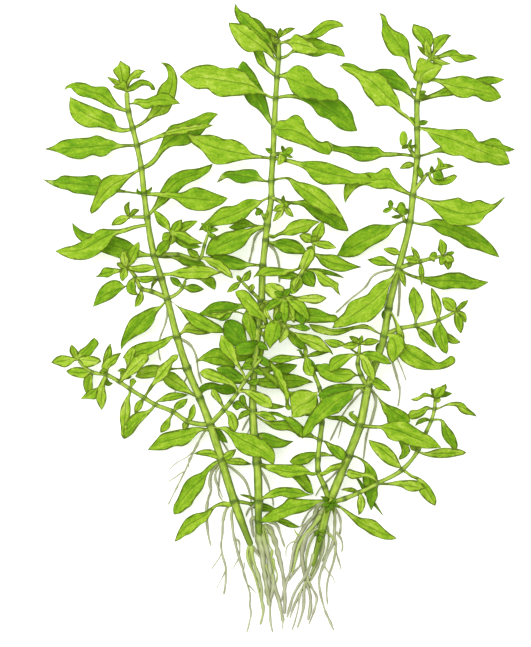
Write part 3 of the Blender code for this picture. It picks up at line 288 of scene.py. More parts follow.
SHOOTS = {
    "left_upper_shoot": Shoot.of(
        ((-43.5, 22, 8.5), (-40, 25.5, 10), (-37.5, 29.5, 12)),
        Leaf(0, ((-40.5, 24.5, 10.5), (-37.8, 28.4, 12.5)), 3.7, 0.6, 0.6),
        BroadLeaf(2, ((-39.8, 32.6, 12.5), (-42, 34.8, 12.5), (-43.7, 38, 12)), ((-38.7, 30.9), (-40.5, 31.9),
            (-42.3, 33.3), (-43, 35)), ((-37.7, 31.5), (-38, 33.3), (-40.9, 36.6)), 0.4),
        Leaf(2, ((-35.6, 32.2, 13.5), (-33.6, 34.6, 14.5)), 3.3, 0.5, 0.35),
        Leaf(2, ((-32, 32.4, 12.5), (-28.2, 34.1, 12)), 3.2, 0.6, 0.35),
        BroadLeaf(2, ((-34, 29.2, 14), (-30.6, 27.6, 14), (-26.1, 26.3, 14)), ((-35.6, 30.5), (-32.4, 30.3),
            (-30.3, 28.7)), ((-36.3, 28.4), (-30.7, 25.8)), 0.45),
        Leaf(2, ((-32, 26, 12), (-27, 25, 11.5)), 3, 0.6, 0.8),
        Leaf(2, ((-39, 28.8, 14), (-40.7, 27.2, 14.5)), 3, 0.5, 0.35),
        Leaf(2, ((-36.8, 27.4, 14), (-38, 25.6, 14)), 2, 0.5, 0.35),
    ),
    "left_mid_shoot": Shoot.of(
        ((-39, 7, 8), (-44.5, 9.5, 9), (-48, 10.5, 10), (-50, 14.5, 11), (-53, 18, 12)),
        Leaf(2, ((-48.4, 7.4, 10), (-50.3, 4, 9.5)), 2.7, 1.2, 0.25),
        BroadLeaf(3, ((-53, 11.6, 10), (-58, 9.6, 9), (-62, 7.4, 7.5), (-65, 4, 6)), ((-52, 12),
            (-54.2, 10.4), (-58.5, 6.7), (-61.2, 5.5)), ((-52.4, 12.6), (-54.2, 11.2), (-55, 12.7),
            (-56.9, 13.5), (-61.2, 11.9), (-64.5, 6)), 0.6),
        Leaf(3, ((-51.4, 10.4, 11.5), (-49, 8.2, 11.5)), 3.5, 0.5, 0.4),
        BroadLeaf(4, ((-51, 17.4, 14), (-47, 17.5, 14), (-42.5, 18, 14)), ((-51.2, 18.4), (-46.5, 19)),
            ((-51.2, 16.4), (-46.5, 16)), 0.4),
        Leaf(4, ((-50.8, 22.4, 13.5), (-48.7, 26.8, 14.5)), 4, 0.6, 0.45),
        Leaf(4, ((-53.8, 21, 14.5), (-54, 24.3, 15)), 3, 0.5, 0.1),
        BroadLeaf(4, ((-56.4, 16.6, 12), (-60, 16, 11.5), (-64.7, 14.3, 10)), ((-55.2, 16.2), (-57.8, 15.3),
            (-59.5, 14.3), (-62, 14.5)), ((-55, 17.4), (-57, 17.6), (-61.6, 17.4), (-62.2, 16.2)), 0.45),
        Leaf(3, ((-47, 13.6, 12), (-42, 15, 12)), 2.5, 0.6, 0.6),
        Leaf(4, ((-54.2, 15.2, 13.5), (-54.5, 12.9, 14)), 3, 0.5, 0.15),
        Leaf(4, ((-55, 18.5, 13), (-56.5, 19.5, 13.5)), 2, 0.5, 0.4),
        Leaf(1, ((-43.4, 12.8, 8), (-41, 14.5, 8)), 1.2, 1, 0.4),
    ),
    "left_low_branch": Shoot.of(
        ((-24, -37, 6.5), (-32, -35.9, 6.5), (-37, -32.6, 7), (-43.2, -30.1, 7), (-47, -27.8, 7),
            (-52, -24.7, 6.5), (-55.7, -22.2, 6), (-60.3, -19.7, 6), (-65.3, -18.8, 5.4), (-70.3, -14.2, 5)),
        BroadLeaf(9, ((-72.4, -14.2, 5), (-75.4, -14.8, 4.5), (-79.8, -15.5, 3)), ((-71.2, -14.9),
            (-73, -16.3), (-74.5, -17.1), (-77.8, -16.3)), ((-71.4, -13.6), (-74.1, -13), (-76.2, -12.8)),
            0.35),
        Leaf(9, ((-71.8, -11.4, 6.5), (-72.5, -9.1, 7.5)), 2.8, 0.5, 0.4),
        BroadLeaf(9, ((-68.6, -12, 6), (-66.6, -10.2, 6.5), (-64.5, -6.7, 7)), ((-69.9, -11.3), (-67.4, -9.5),
            (-65.5, -7.4)), ((-68.4, -13.3), (-65.7, -12.8), (-64.3, -10.9), (-62.9, -8.8)), 0.45),
        BroadLeaf(9, ((-67, -14.6, 7.5), (-62, -15.1, 8)), ((-67.8, -13), (-64.5, -13.2), (-62.6, -14)),
            ((-68.6, -15.6), (-68.2, -16.7), (-63.2, -15.9)), 0.2),
        BroadLeaf(8, ((-69, -19, 4.5), (-74.5, -18.4, 3)), ((-66.6, -20), (-68.2, -20.9), (-70.7, -20.6),
            (-73.2, -19.7)), ((-66.2, -18), (-67.6, -17.6), (-69.5, -17)), 0.35),
        BroadLeaf(8, ((-66.7, -23, 3), (-66.8, -27.2, 1)), ((-65.1, -20.9), (-65.5, -25.7)), ((-68.2, -20.9),
            (-68.5, -23.4)), 0.4),
        BroadLeaf(7, ((-62.4, -22.8, 4.5), (-65.4, -26, 3), (-69.5, -28.4, 1)), ((-62.6, -25.4), (-64, -28.2),
            (-67.4, -28.2)), ((-62.6, -23.2), (-63.7, -24.2), (-65.3, -24.7)), 0.45),
        BroadLeaf(7, ((-61.9, -26, 5), (-62, -32.2, 3)), ((-60.7, -23.4), (-60.3, -28.4)), ((-62.8, -23),
            (-63.9, -25.5)), 0.2),
        Leaf(7, ((-59.4, -22.8, 4.5), (-58, -22.6, 4.5)), 2, 0.5, 0.5),
        BroadLeaf(7, ((-61, -15.5, 6), (-59.8, -12, 6), (-58.9, -8.6, 5.5)), ((-61.6, -15.5), (-60.5, -10.9)),
            ((-59.6, -15), (-58.2, -12.6), (-58.4, -10.5)), 0.4),
        BroadLeaf(7, ((-59.6, -16.4, 8), (-57.6, -14.4, 8.5), (-54.9, -12, 9)), ((-62, -16.7), (-58.7, -13)),
            ((-59.3, -17.6), (-57, -15.7), (-56, -13.8)), 0.25),
        Leaf(7, ((-61.4, -18.4, 8), (-62.6, -19.4, 8.2)), 1.8, 0.3, 0.1),
        BroadLeaf(6, ((-53, -17.6, 7.8), (-51.8, -14, 8), (-51, -9.6, 8.5)), ((-54, -18.6), (-53.2, -16.3),
            (-53.9, -14.2)), ((-51.4, -16.5), (-50.3, -13.4), (-49.9, -10.9)), 0.2),
        BroadLeaf(6, ((-51.6, -18, 10), (-48.6, -15.4, 10.4), (-45.7, -12.6, 10.5)), ((-54, -19.2),
            (-52.8, -16.7), (-49.1, -12.6), (-46.6, -12)), ((-53, -21), (-51.2, -19.9), (-48.7, -18.4),
            (-47, -16.3), (-45.3, -14.2)), 0.2),
        Leaf(6, ((-54.8, -18.2, 7.5), (-56.4, -18.4, 8)), 2.4, 0.5, 0.3),
        Leaf(5, ((-51, -22, 7), (-51.4, -24.2, 7.2)), 2.3, 0.5, 0.2),
        BroadLeaf(5, ((-53.2, -28, 5.5), (-53.8, -34, 4), (-54.5, -42.2, 1)), ((-51.6, -26.3), (-52, -28),
            (-51.8, -31.3)), ((-52.6, -26.3), (-53.7, -28), (-55.3, -31.3), (-55.7, -34.7), (-55.3, -38.4),
            (-55.1, -41.3)), 0.2),
        BroadLeaf(4, ((-43.6, -22.4, 9.5), (-40.2, -18.4, 10.5), (-35, -12.6, 11.5)), ((-46.2, -25.6),
            (-45.3, -23.8), (-43.7, -21.5), (-42.9, -19.2), (-42.2, -16.8), (-40.6, -15.7), (-38.7, -14.3),
            (-37.1, -12.8)), ((-45.6, -26.4), (-44.5, -25), (-42.6, -22.7), (-40.2, -21.5), (-38.7, -19.6),
            (-37.5, -17.6), (-36.9, -15.7), (-35.2, -14.1)), 0.1),
        Leaf(4, ((-49.2, -31, 5), (-50.3, -33.5, 4.5)), 2.5, 1, 0.4),
        BroadLeaf(3, ((-46, -33, 5), (-50, -37, 3.5), (-54.3, -42.4, 1)), ((-43.6, -31.6), (-49.1, -37.6),
            (-51.2, -40.5)), ((-44.3, -30.9), (-46.2, -32.2), (-48.7, -32.6), (-51, -33.5), (-53.5, -36.5)),
            0.5),
        BroadLeaf(3, ((-40, -28.2, 8), (-36, -27.2, 8), (-31.4, -26.7, 8)), ((-42.6, -28.8), (-37.8, -25.9),
            (-34.9, -25.9)), ((-42.6, -29.7), (-40.3, -29.2), (-36.2, -28.6)), 0.6),
        BroadLeaf(2, ((-35.6, -31.2, 8), (-31.8, -28, 8.5)), ((-37, -32), (-36.6, -30.5)), ((-36.6, -33),
            (-33.2, -30.9), (-32, -29.2)), 0.5),
        BroadLeaf(2, ((-38.9, -36, 5), (-41.4, -40.1, 4.5)), ((-36.8, -33.6), (-37.7, -35.5), (-38, -38)),
            ((-37.9, -33.8), (-39.9, -35.9), (-41.4, -38)), 0.35),
        BroadLeaf(1, ((-30.8, -33.8, 8), (-29.5, -29.8, 8.5)), ((-32, -35), (-31, -31.5)), ((-30.9, -36),
            (-29.1, -33.6)), 0.4),
        Leaf(1, ((-32.6, -37.4, 5.5), (-33.5, -38.7, 5)), 2.3, 0.5, 0.35),
        Leaf(6.4, ((-55.3, -21.3, 7.4), (-51.2, -20.3, 7.2)), 0.9, 5, 0.85),
    ),
    "left_low_twig": Shoot.of(
        ((-24, -37, 6.5), (-19.1, -31.9, 9), (-16.6, -29, 9.4), (-14.5, -26, 9.5), (-11.5, -21.5, 9.5),
            (-9, -17.7, 9.6), (-5.8, -13.8, 9.6)),
        BroadLeaf(1, ((-20.6, -29.4, 10), (-22, -27, 10.3), (-23.2, -24.6, 10.5)), ((-19.9, -31),
            (-21.2, -29.4), (-23.7, -26.1)), ((-19, -30.6), (-20.7, -26.5), (-22, -24.8)), 0.25),
        BroadLeaf(1, ((-17, -34, 9.5), (-15.8, -37, 9.5), (-15.1, -39.6, 9.3)), ((-18, -32), (-16.2, -32.7),
            (-13.9, -36.9)), ((-18.8, -32.8), (-17.8, -34.4), (-17.6, -36.9), (-16.6, -39)), 0.25),
        BroadLeaf(3, ((-17.4, -22.4, 11.5), (-21.6, -20.6, 11.5), (-27.5, -18.8, 11.5)), ((-14.9, -25),
            (-15.3, -24.4), (-18.4, -23.1), (-24.7, -21.5), (-27, -20)), ((-14.2, -24.4), (-20.8, -18.8),
            (-23.1, -17.6), (-25.8, -17.5)), 0.15),
        BroadLeaf(3, ((-10.4, -25.8, 11), (-6.8, -28, 11), (-2, -31, 11)), ((-13.3, -24.9), (-5.5, -26.1),
            (-3.6, -27)), ((-13.3, -26), (-11.8, -26.1), (-10.2, -27.6), (-5.9, -30.7), (-4, -31.3)), 0.2),
        BroadLeaf(4, ((-14.5, -16.5, 10.5), (-17.5, -11.5, 10.5), (-20.2, -5.8, 9.5)), ((-13.5, -18),
            (-16, -15.6), (-20.8, -9.1), (-20.4, -7)), ((-12, -19), (-14.6, -13), (-15.1, -10.4), (-17, -7.9),
            (-19.2, -6)), 0.2),
        BroadLeaf(4, ((-15.5, -20, 7.6), (-18, -18, 7.2), (-21.8, -17.4, 7)), ((-15.4, -22.4), (-18.4, -20.4),
            (-21, -19)), ((-14.6, -18), (-16.6, -16.6)), 0.9),
        BroadLeaf(4, ((-13.6, -21.6, 8), (-16, -20.6, 8), (-18.8, -19.6, 7.6)), ((-13.8, -23), (-17.8, -21)),
            ((-13, -20.4), (-15.4, -19.4), (-17.4, -19)), 0.85),
        Leaf(4, ((-9.6, -22.4, 9), (-6.4, -20.8, 8.6)), 2.4, 0.6, 0.8),
        Leaf(5, ((-11, -16.8, 9.4), (-13, -17.6, 9)), 2.4, 0.4, 0.8),
        Leaf(5, ((-7, -18.6, 9.8), (-4.8, -19.6, 9.6)), 2.2, 0.4, 0.9),
        Leaf(3.4, ((-0.6, -30.8, 10.5), (2.6, -30.7, 10)), 2, 9, 0.4),
    ),
    "middle_right_shoot": Shoot.of(
        ((-6, 6, 7.5), (-2.5, 5.5, 9), (2, 7.5, 10.5), (5, 11, 11), (7.5, 15, 11), (9.5, 18.5, 11),
            (12, 22.5, 11), (12, 26.5, 11.5)),
        BroadLeaf(2, ((6, 7.2, 12), (11, 7, 12), (16.9, 7.2, 11.5)), ((2.6, 8.4), (6.5, 7.7), (10, 8.3),
            (13.5, 8.5)), ((2.6, 6.6), (6.5, 6.2), (10, 5.5), (13, 5)), 0.1),
        BroadLeaf(2, ((0, 9.6, 12.5), (-2.4, 11, 12.5), (-4.4, 12.1, 12.5)), ((1.4, 6.2), (-1.6, 6.8),
            (-4, 8.2), (-5, 10.4)), ((2.5, 8.5), (2.2, 10.4), (-1.2, 12.4)), 0.1),
        Leaf(2, ((7.5, 4, 12), (10.5, -1, 10.5)), 4, 0.6, 0.5),
        Leaf(2, ((5.8, 3.6, 10.8), (8.8, -2.6, 10.2)), 5.4, 0.6, 0.75),
        Leaf(2, ((3.9, 2.6, 11.4), (5.6, -1.6, 11)), 3.6, 0.5, 0.2),
        Leaf(2, ((0.2, 3.4, 11.6), (-1.4, -1.4, 11.2)), 3.8, 0.5, 0.25),
        Leaf(2, ((3, 9.2, 13), (4.4, 10.6, 13.4)), 2.6, 0.3, 0.9),
        Leaf(2, ((0, 8.6, 12.8), (-1.6, 9.4, 12.8)), 2.4, 0.4, 0.85),
        Leaf(1, ((-4.6, 2.8, 12.8), (-1.2, -1.9, 12.8)), 1.6, 0.6, 0),
        Leaf(1, ((-6.4, 3.4, 12), (-6, -1.6, 11.6)), 2, 0.5, 0.1),
        Leaf(2, ((-2, 5, 12.5), (-6, 2.5, 12.5)), 3.4, 0.6, 0.7),
        Leaf(2, ((2, 2.5, 12), (2.5, -2, 12)), 4, 0.6, 0.6),
        Leaf(4, ((6.2, 12, 13), (4.5, 8.4, 13.5)), 4.4, 0.4, 0.5),
        Leaf(4, ((5.6, 11.4, 14.8), (5.3, 9.4, 15)), 2.2, 0.4, 0.1),
        Leaf(4, ((3.5, 15, 11.5), (-0.3, 14.3, 11)), 2.8, 0.6, 0.55),
        BroadLeaf(5, ((3, 16.9, 12.5), (-3, 16.3, 12.5), (-9.1, 14, 12.5)), ((5.6, 16.4), (2.4, 15.2),
            (-5.5, 14.7), (-7.9, 14.7)), ((6, 17.6), (-3, 18.1), (-6.2, 17.9), (-7.6, 16.1)), 0.4),
        BroadLeaf(4.6, ((13, 15.8, 12), (16.5, 13.3, 12.5), (19.3, 11.3, 12.5), (21.9, 7.8, 12)),
            ((11.8, 17.2), (13.9, 17.2), (16, 15.6), (19.8, 13), (21, 12.3), (20.9, 10.9)), ((11.4, 16.8),
            (13.2, 15.1), (13.9, 13), (15.6, 11.2), (18.4, 10.9), (20.2, 9.1)), 0.2),
        Leaf(4.6, ((10.4, 14.4, 10), (12.5, 11, 9)), 5, 0.5, 0.85),
        Leaf(4.6, ((17.5, 16, 9.5), (23, 14.2, 8.5)), 1.9, 1, 0.8),
        BroadLeaf(4.6, ((9.2, 19, 13.5), (10.4, 21.8, 14.2), (11.4, 24.6, 14.5)), ((7, 17.2), (7.6, 20),
            (9.7, 23.9)), ((10, 17.4), (11.4, 19.3), (12.6, 21.2), (12.5, 23.5)), 0.15),
        BroadLeaf(6, ((13.5, 21.8, 11), (18, 19.8, 10.5), (23, 18.6, 9.5), (29.4, 18, 8)), ((13.2, 22.8),
            (15.6, 22.5), (20.5, 22.1), (22.3, 21)), ((12.8, 21.6), (14.9, 18.9), (22.6, 16.3), (26.8, 17.4)),
            0.55),
        Leaf(7, ((9.6, 28.2, 12.5), (7.2, 29, 12.5)), 3.6, 0.6, 0.35),
        Leaf(7, ((14, 30.2, 13), (15.5, 34, 13.5)), 4, 0.6, 0.35),
        Leaf(7, ((16.6, 25.6, 12.5), (20.2, 24.7, 12)), 3, 0.6, 0.2),
        Leaf(7, ((12.6, 28, 14), (14, 29, 14.5)), 2, 0.5, 0.2),
        Leaf(6.6, ((11, 24.6, 13), (9.6, 24.4, 13.2)), 1.6, 0.4, 0.3),
    ),
    "middle_low_shoot": Shoot.of(
        ((-7, -3, 7.5), (-3.5, -2.5, 9.5), (0, -1, 11)),
        BroadLeaf(0.8, ((-6.4, 1.2, 12.5), (-10.4, 5.2, 13.3), (-15.1, 9.5, 13)), ((-5.6, -1), (-10.2, 1.2),
            (-11.8, 3.5), (-13.7, 6.2), (-15.1, 8.9)), ((-3.8, -0.6), (-4.8, 1.9), (-6.3, 3.5), (-7.9, 6.2),
            (-12.5, 10.1)), 0.3),
        BroadLeaf(2, ((-0.6, -2.6, 12.8), (-1.4, -5.6, 13), (-3, -10.7, 12.2)), ((0.9, -1.9), (1.1, -4.7),
            (-0.2, -7.5), (-1.9, -9.3)), ((-0.9, -0.4), (-3.7, -1.6), (-5.1, -6.8), (-3.7, -9.6)), 0.5),
        BroadLeaf(2, ((2.2, -3.3, 11.6), (1, -6.1, 11.8), (0.5, -8.7, 11.4)), ((3.8, -4), (3.5, -6.1),
            (1.9, -7.5)), ((0.2, -4), (-0.2, -6.8)), 0.1),
        BroadLeaf(2, ((6, -3, 12.2), (8.5, -3.2, 12.2), (11.3, -3.5, 12)), ((5.8, -2.2), (8, -1.9)),
            ((5.8, -3.6), (9.8, -4.4)), 1),
        Leaf(2, ((1.5, -2.4, 13), (4.4, -3.4, 13)), 1.5, 0.4, 0.05),
        Leaf(2, ((0, 0.8, 12.4), (1, 2.2, 12.6)), 2.2, 0.3, 0.9),
        Leaf(2, ((2, 0, 11.8), (4.6, -0.6, 11.6)), 2.6, 0.4, 0.75),
        Leaf(1.2, ((-3.4, -4, 11), (-3, -7.6, 10.4)), 2.6, 0.6, 0.2),
        BroadLeaf(2, ((4, -4, 10), (8.4, -7, 10), (13.4, -9, 9.5), (19.2, -13, 9)), ((1.4, -2.6),
            (11.5, -5.6), (13.7, -6.1), (17, -9.3), (18.5, -11.1)), ((1, -3.6), (4.5, -4.8), (6.7, -6.7),
            (9.3, -8.9), (13, -11.1), (15.9, -11.8), (18.1, -12)), 0.15),
        BroadLeaf(2, ((4, -5.2, 8.5), (6.6, -7.6, 8), (9.3, -10.6, 7.5)), ((1.8, -3), (4.6, -4.3),
            (6.9, -6.2), (9.2, -8.2)), ((1.4, -3.8), (2.6, -4.6), (3.4, -6.9), (5.6, -9.5), (8.2, -10.9)),
            0.65),
        BroadLeaf(2, ((5, 0.8, 9.5), (10.5, 1, 9.5), (15.4, 0.6, 9), (20.8, 0.3, 8)), ((3.6, 1.6), (7, 3.4),
            (12.7, 3.7), (18.2, 1.5), (20.1, 1.2)), ((3.6, -0.4), (7, -1.3), (10.8, -1.6), (18.2, -1.4),
            (20.1, -1.2)), 0.7),
    ),
    "right_upper_shoot": Shoot.of(
        ((42, 17.5, 8.5), (46, 19, 9.5), (49.5, 20, 10), (53.5, 21, 10.5), (58, 22, 11)),
        Leaf(2, ((48, 22.4, 12.5), (46.3, 25.3, 13)), 2, 0.6, 0.3),
        Leaf(2, ((46.6, 20.6, 11.5), (44, 21.4, 12)), 2.8, 0.6, 0.1),
        Leaf(2, ((50, 16, 11), (50, 11.6, 10.5)), 1.9, 0.6, 0.25),
        Leaf(3.4, ((54.4, 21.6, 12.5), (52.6, 21.6, 13)), 3.5, 0.4, 0.35),
        Leaf(3.8, ((57.3, 24.4, 12.5), (56.4, 27.8, 13)), 3.2, 0.6, 0.35),
        Leaf(4, ((59.6, 22.6, 12), (61.5, 23.2, 12.5)), 1.5, 0.5, 0.8),
        Leaf(4, ((59.4, 21, 12), (61.4, 20, 12)), 3, 0.5, 0.15),
        Leaf(4, ((59.2, 19.6, 11), (59.2, 17, 10)), 3, 0.5, 0.3),
        Leaf(4, ((57.4, 20.6, 12), (56.6, 18.6, 12.5)), 2.5, 0.4, 0.7),
    ),
    "right_mid_branch": Shoot.of(
        ((37, -6, 7.5), (42.5, -3.5, 6.5), (48, -2.5, 6), (56, -0.5, 5.5), (62, 2.5, 5)),
        BroadLeaf(2, ((48, 1, 5.8), (48, 6, 5.5), (47.3, 11.2, 4.5)), ((47.6, -1), (47.2, 0.9), (46.3, 3.1),
            (45.7, 8.3)), ((48.5, -1), (49, 0.2), (50.2, 2), (50.9, 4.2), (50.3, 6.8)), 0.45),
        Leaf(2, ((51.6, -6.4, 4), (55.4, -10.2, 2)), 3.2, 1, 0.6),
        Leaf(3, ((55.4, 5, 6.5), (53.5, 10.9, 6)), 3.2, 1, 0.35),
        BroadLeaf(3, ((56.4, -3, 6), (57, -7, 6), (59, -12.4, 4)), ((57.2, -1.7), (58.6, -3.9), (59.7, -6.1),
            (59.4, -9.1), (59.5, -11)), ((55, -2.1), (54, -3.9), (55.7, -9.4), (57.9, -12)), 0.55),
        Leaf(3, ((60.6, -7.4, 3), (64, -8.3, 2)), 2.8, 4, 0.35),
        Leaf(4, ((59.8, 5, 7), (57.2, 7.2, 7.5)), 4.5, 0.5, 0.3),
        Leaf(4, ((64.4, 4.6, 6), (66.5, 6.5, 6.5)), 2, 0.5, 0.35),
        Leaf(4, ((63.2, -1.4, 4), (64, -5.3, 2.5)), 3.3, 0.5, 0.45),
        Leaf(4, ((64.6, 0.6, 3.5), (65.7, -1.5, 3)), 2.6, 0.5, 0.4),
    ),
    "right_low_shoot": Shoot.of(
        ((31, -23.5, 7), (28.8, -19.6, 9), (27.7, -15.9, 10), (28.1, -12.6, 10), (28.4, -8.9, 10.5)),
        Leaf(4, ((25.4, -9.4, 11), (22, -9.5, 11)), 2.6, 0.5, 0.35),
        Leaf(4, ((32, -8.2, 11), (35.3, -7.8, 10.5)), 2.6, 0.8, 0.35),
        Leaf(4, ((26.6, -7.4, 12.5), (24.6, -6.2, 13.5)), 2.2, 0.6, 0.2),
        Leaf(4, ((28.8, -7.4, 12), (29.2, -5.8, 12.5)), 1.5, 0.5, 0.8),
        BroadLeaf(3, ((24, -10, 9.5), (20.4, -8.9, 9.3), (15.9, -7.6, 9)), ((26, -11.6), (23.6, -10.2),
            (21.8, -9.8), (20, -10.4)), ((26, -10.8), (23.6, -9), (22.5, -8.2)), 0.4),
        BroadLeaf(3, ((25.6, -12.8, 11.5), (22, -14.2, 11.5), (19.4, -16, 11), (18, -18.6, 10.5)),
            ((26.6, -13.1), (25.1, -14.1), (23.3, -15.9), (20, -18.1)), ((27.3, -12.2), (24.7, -12.2),
            (19.6, -13.1), (18.1, -14.1), (17.7, -17.4)), 0.45),
        BroadLeaf(3, ((30.4, -15.4, 12), (31.4, -18, 12), (33.2, -22, 12)), ((29.9, -12.6), (31.8, -14.1),
            (33.2, -16.6), (34, -19.6)), ((28.2, -13.6), (29.2, -17.4)), 0.05),
        Leaf(3, ((34.5, -13.5, 11), (39.5, -16, 10)), 4, 0.6, 0.6),
        BroadLeaf(1, ((25.6, -19.6, 9.5), (20.6, -19.4, 9.5), (16.6, -18, 9.5), (13.2, -16.6, 9.5)),
            ((27.6, -20.2), (26.4, -20.5), (25.5, -21.4), (21.1, -22.5), (15.9, -21.1), (14.4, -20),
            (13.7, -18.3)), ((27.7, -19.6), (26.6, -18.9), (25.1, -17.7), (23.3, -17.4), (20, -17),
            (17, -15.7)), 0.5),
    ),
    "right_tall_shoot": Shoot.of(
        ((18, -64.5, 5.5), (16.1, -58.9, 6.5), (13.9, -53.4, 7.5), (13.8, -49.3, 8), (14.5, -42.5, 8),
            (15.2, -36.8, 7.5), (14.4, -24.4, 7.5), (12.2, -19, 7.5), (9.5, -13.5, 8)),
        BroadLeaf(2, ((9, -53.6, 9), (3, -53.6, 9), (-2, -52.4, 8.7), (-7, -50.8, 8.5)), ((12.7, -55),
            (9.8, -54.7), (6.5, -55.2), (4, -55.8), (1.1, -55.4), (-1, -54.3), (-3.7, -53.2), (-5.7, -51.5)),
            ((12.7, -54.5), (9.4, -52.2), (7.7, -51), (4.8, -51)), 0.35),
        BroadLeaf(2, ((17, -53.4, 9), (20.4, -52, 9), (23.5, -50, 9)), ((14.6, -54), (16.1, -53.1),
            (18.2, -51.4), (20.7, -50.6)), ((14.6, -55), (18.2, -53.9), (22.3, -51.8)), 0.25),
        BroadLeaf(4, ((11, -40.6, 7.5), (6.6, -38, 7.5), (3.7, -34.1, 7)), ((12, -42), (8.3, -41.5),
            (5, -38.5), (3.3, -37)), ((12.6, -41), (10.5, -39), (8.5, -37.5), (5.5, -35)), 0.5),
        BroadLeaf(4, ((16.6, -43.4, 9), (19.4, -45.8, 9), (22.7, -49.8, 9)), ((15, -42.4), (16.5, -42.7),
            (19, -43.9), (21.5, -44.7), (23.6, -47)), ((15.2, -43), (16.1, -43.5), (17.3, -45.6),
            (21, -49.3)), 0.6),
        BroadLeaf(6, ((11, -29, 9), (7, -30.6, 9), (4.6, -34.6, 9)), ((12.6, -25.8), (10, -25.1),
            (5.6, -25.5), (3.9, -27.7), (4.2, -30)), ((13.6, -27.4), (13.4, -30.6), (12, -33), (9.6, -33.9),
            (7, -34.6)), 0.2),
        Leaf(7.4, ((14, -17.4, 7), (17.4, -16, 6.5)), 2.6, 0.5, 0.5),
        BroadLeaf(8, ((5, -13.8, 9.5), (1, -14, 9.5), (-3.5, -14.6, 9.5)), ((8.3, -14), (5.6, -14.4),
            (3.4, -15.2), (-1.4, -15.5)), ((8.6, -13.1), (4.8, -12.9), (0, -12.7)), 0.75),
        BroadLeaf(8, ((9.8, -15.6, 10), (10.4, -17.6, 10), (12.3, -20.1, 10)), ((10.2, -13.6), (10.7, -13.7),
            (11.8, -15.9), (12.6, -17.7)), ((9, -13.8), (8.7, -15.5), (8.5, -18.1), (9.6, -19.6)), 0.4),
        Leaf(8, ((12, -16.2, 9), (13.7, -18.5, 8.6)), 1.6, 0.5, 0.8),
        Leaf(8, ((13.6, -12.2, 7.5), (18, -11.8, 7)), 1.8, 0.5, 0.55),
        Leaf(8, ((8.2, -12.6, 9.5), (7.4, -11.2, 10), (6, -11.1, 10)), 1, 0.4, 0.9),
        Leaf(8, ((9.4, -11.4, 9), (9.6, -9.3, 9.4)), 1.6, 0.4, 0.3),
        radii=(1, 0.62),
    ),
    "right_low_branch": Shoot.of(
        ((18, -64.5, 5.5), (23.2, -63.1, 5.5), (28.2, -61, 5.5), (34.8, -57.7, 6), (43.2, -53.1, 5.5),
            (48.9, -46.3, 5), (51.8, -39.7, 4.5), (53.5, -35.9, 4.5), (54.7, -31.7, 4), (54.8, -27.6, 4)),
        Leaf(2, ((25.4, -60, 6.5), (21.8, -60, 7)), 1.6, 0.5, 0.4),
        Leaf(2, ((29, -65, 6.5), (28, -68.9, 6.5)), 2.8, 0.5, 0.3),
        BroadLeaf(3, ((32, -55.8, 7.5), (28, -54.7, 7.8), (23.8, -53.8, 8)), ((34.2, -57), (31.5, -55.4),
            (28.6, -55.8), (25.7, -56.2), (24, -55.2)), ((34.8, -56.4), (32.3, -54.3), (29.4, -53.9),
            (26.9, -53.3), (24.4, -52.7)), 0.25),
        BroadLeaf(3, ((38.4, -57.7, 5), (44, -58.4, 4.5), (51.5, -59.7, 3)), ((36.8, -57.5), (43.1, -56.7),
            (49.3, -57.2)), ((36.8, -58.4), (40.2, -58.6), (43.1, -59.2), (45.6, -60.5), (48.1, -60.7),
            (50.6, -59.9)), 0.25),
        BroadLeaf(3, ((33, -61, 4.5), (32.5, -67.4, 3)), ((34.8, -59.3), (34.8, -62.2), (34, -64.3)),
            ((31.4, -58.4), (30.2, -58.9), (30.7, -61.8), (31.1, -64.3), (31.9, -66)), 0.7),
        BroadLeaf(4, ((41.4, -50.4, 6), (37.6, -47, 6.5), (31.5, -42.4, 6.5)), ((42.7, -52.8), (41, -52.2),
            (38.5, -51.3), (33.9, -47.2), (32.2, -44.7)), ((43.3, -52.2), (41, -47.6), (37.2, -44),
            (33.9, -43)), 0.2),
        BroadLeaf(4, ((46.6, -54.6, 4.5), (50, -57.4, 3.5), (52.6, -61, 2.4), (55, -65.8, 1)), ((44.7, -53.2),
            (46.8, -54.7), (49.3, -55.7), (53.9, -60.1), (55.4, -64.7)), ((44.4, -54.2), (46.4, -55.7),
            (48.5, -56.7), (49.8, -58.8), (49.3, -60.5), (50.6, -62.6)), 0.4),
        BroadLeaf(5, ((53, -47.2, 4.5), (58, -47.2, 4.2), (66, -47, 3)), ((50.2, -46.8), (52.2, -46.7),
            (54.7, -45.9), (57.7, -45.3), (61, -45.5), (63.9, -45.9)), ((50.6, -47.8), (63.1, -48.2),
            (65.2, -47.6)), 0.2),
        BroadLeaf(5, ((45.4, -44.2, 6), (43.4, -44.2, 5.6), (44.2, -46.4, 5.2), (42.2, -49.5, 4.6)),
            ((46.4, -45), (43.6, -43.2), (42, -42.6), (42.7, -44.7), (43.1, -46.7), (42.2, -48.8)),
            ((47.4, -45.2), (45.2, -43.4), (45.9, -44.6), (46.2, -46), (44.3, -48.8)), 0.5),
        Leaf(5, ((47.4, -45.4, 6), (46, -44.7, 6.5)), 1.8, 0.5, 0.5),
        Leaf(7, ((51.4, -35.4, 5.5), (49.7, -36, 5.3), (47.9, -37.8, 5)), 1.6, 0.5, 0.6),
        BroadLeaf(7, ((57.2, -36, 4.2), (59, -40, 3.5), (60.4, -43.4, 2.4), (62, -46.7, 1.4)), ((55.4, -35),
            (57.7, -35.5), (59.3, -37.6), (61.4, -40.1), (62.5, -42.6), (62.9, -44.7)), ((55.4, -35.8),
            (56.6, -35.9), (57, -38), (57.2, -40.5), (58.5, -43), (60.2, -44.7), (61.4, -46.3)), 0.65),
        BroadLeaf(8, ((52.4, -31.6, 4.2), (49.4, -33, 4), (45.2, -34.5, 3)), ((53.4, -32), (52.2, -32.2),
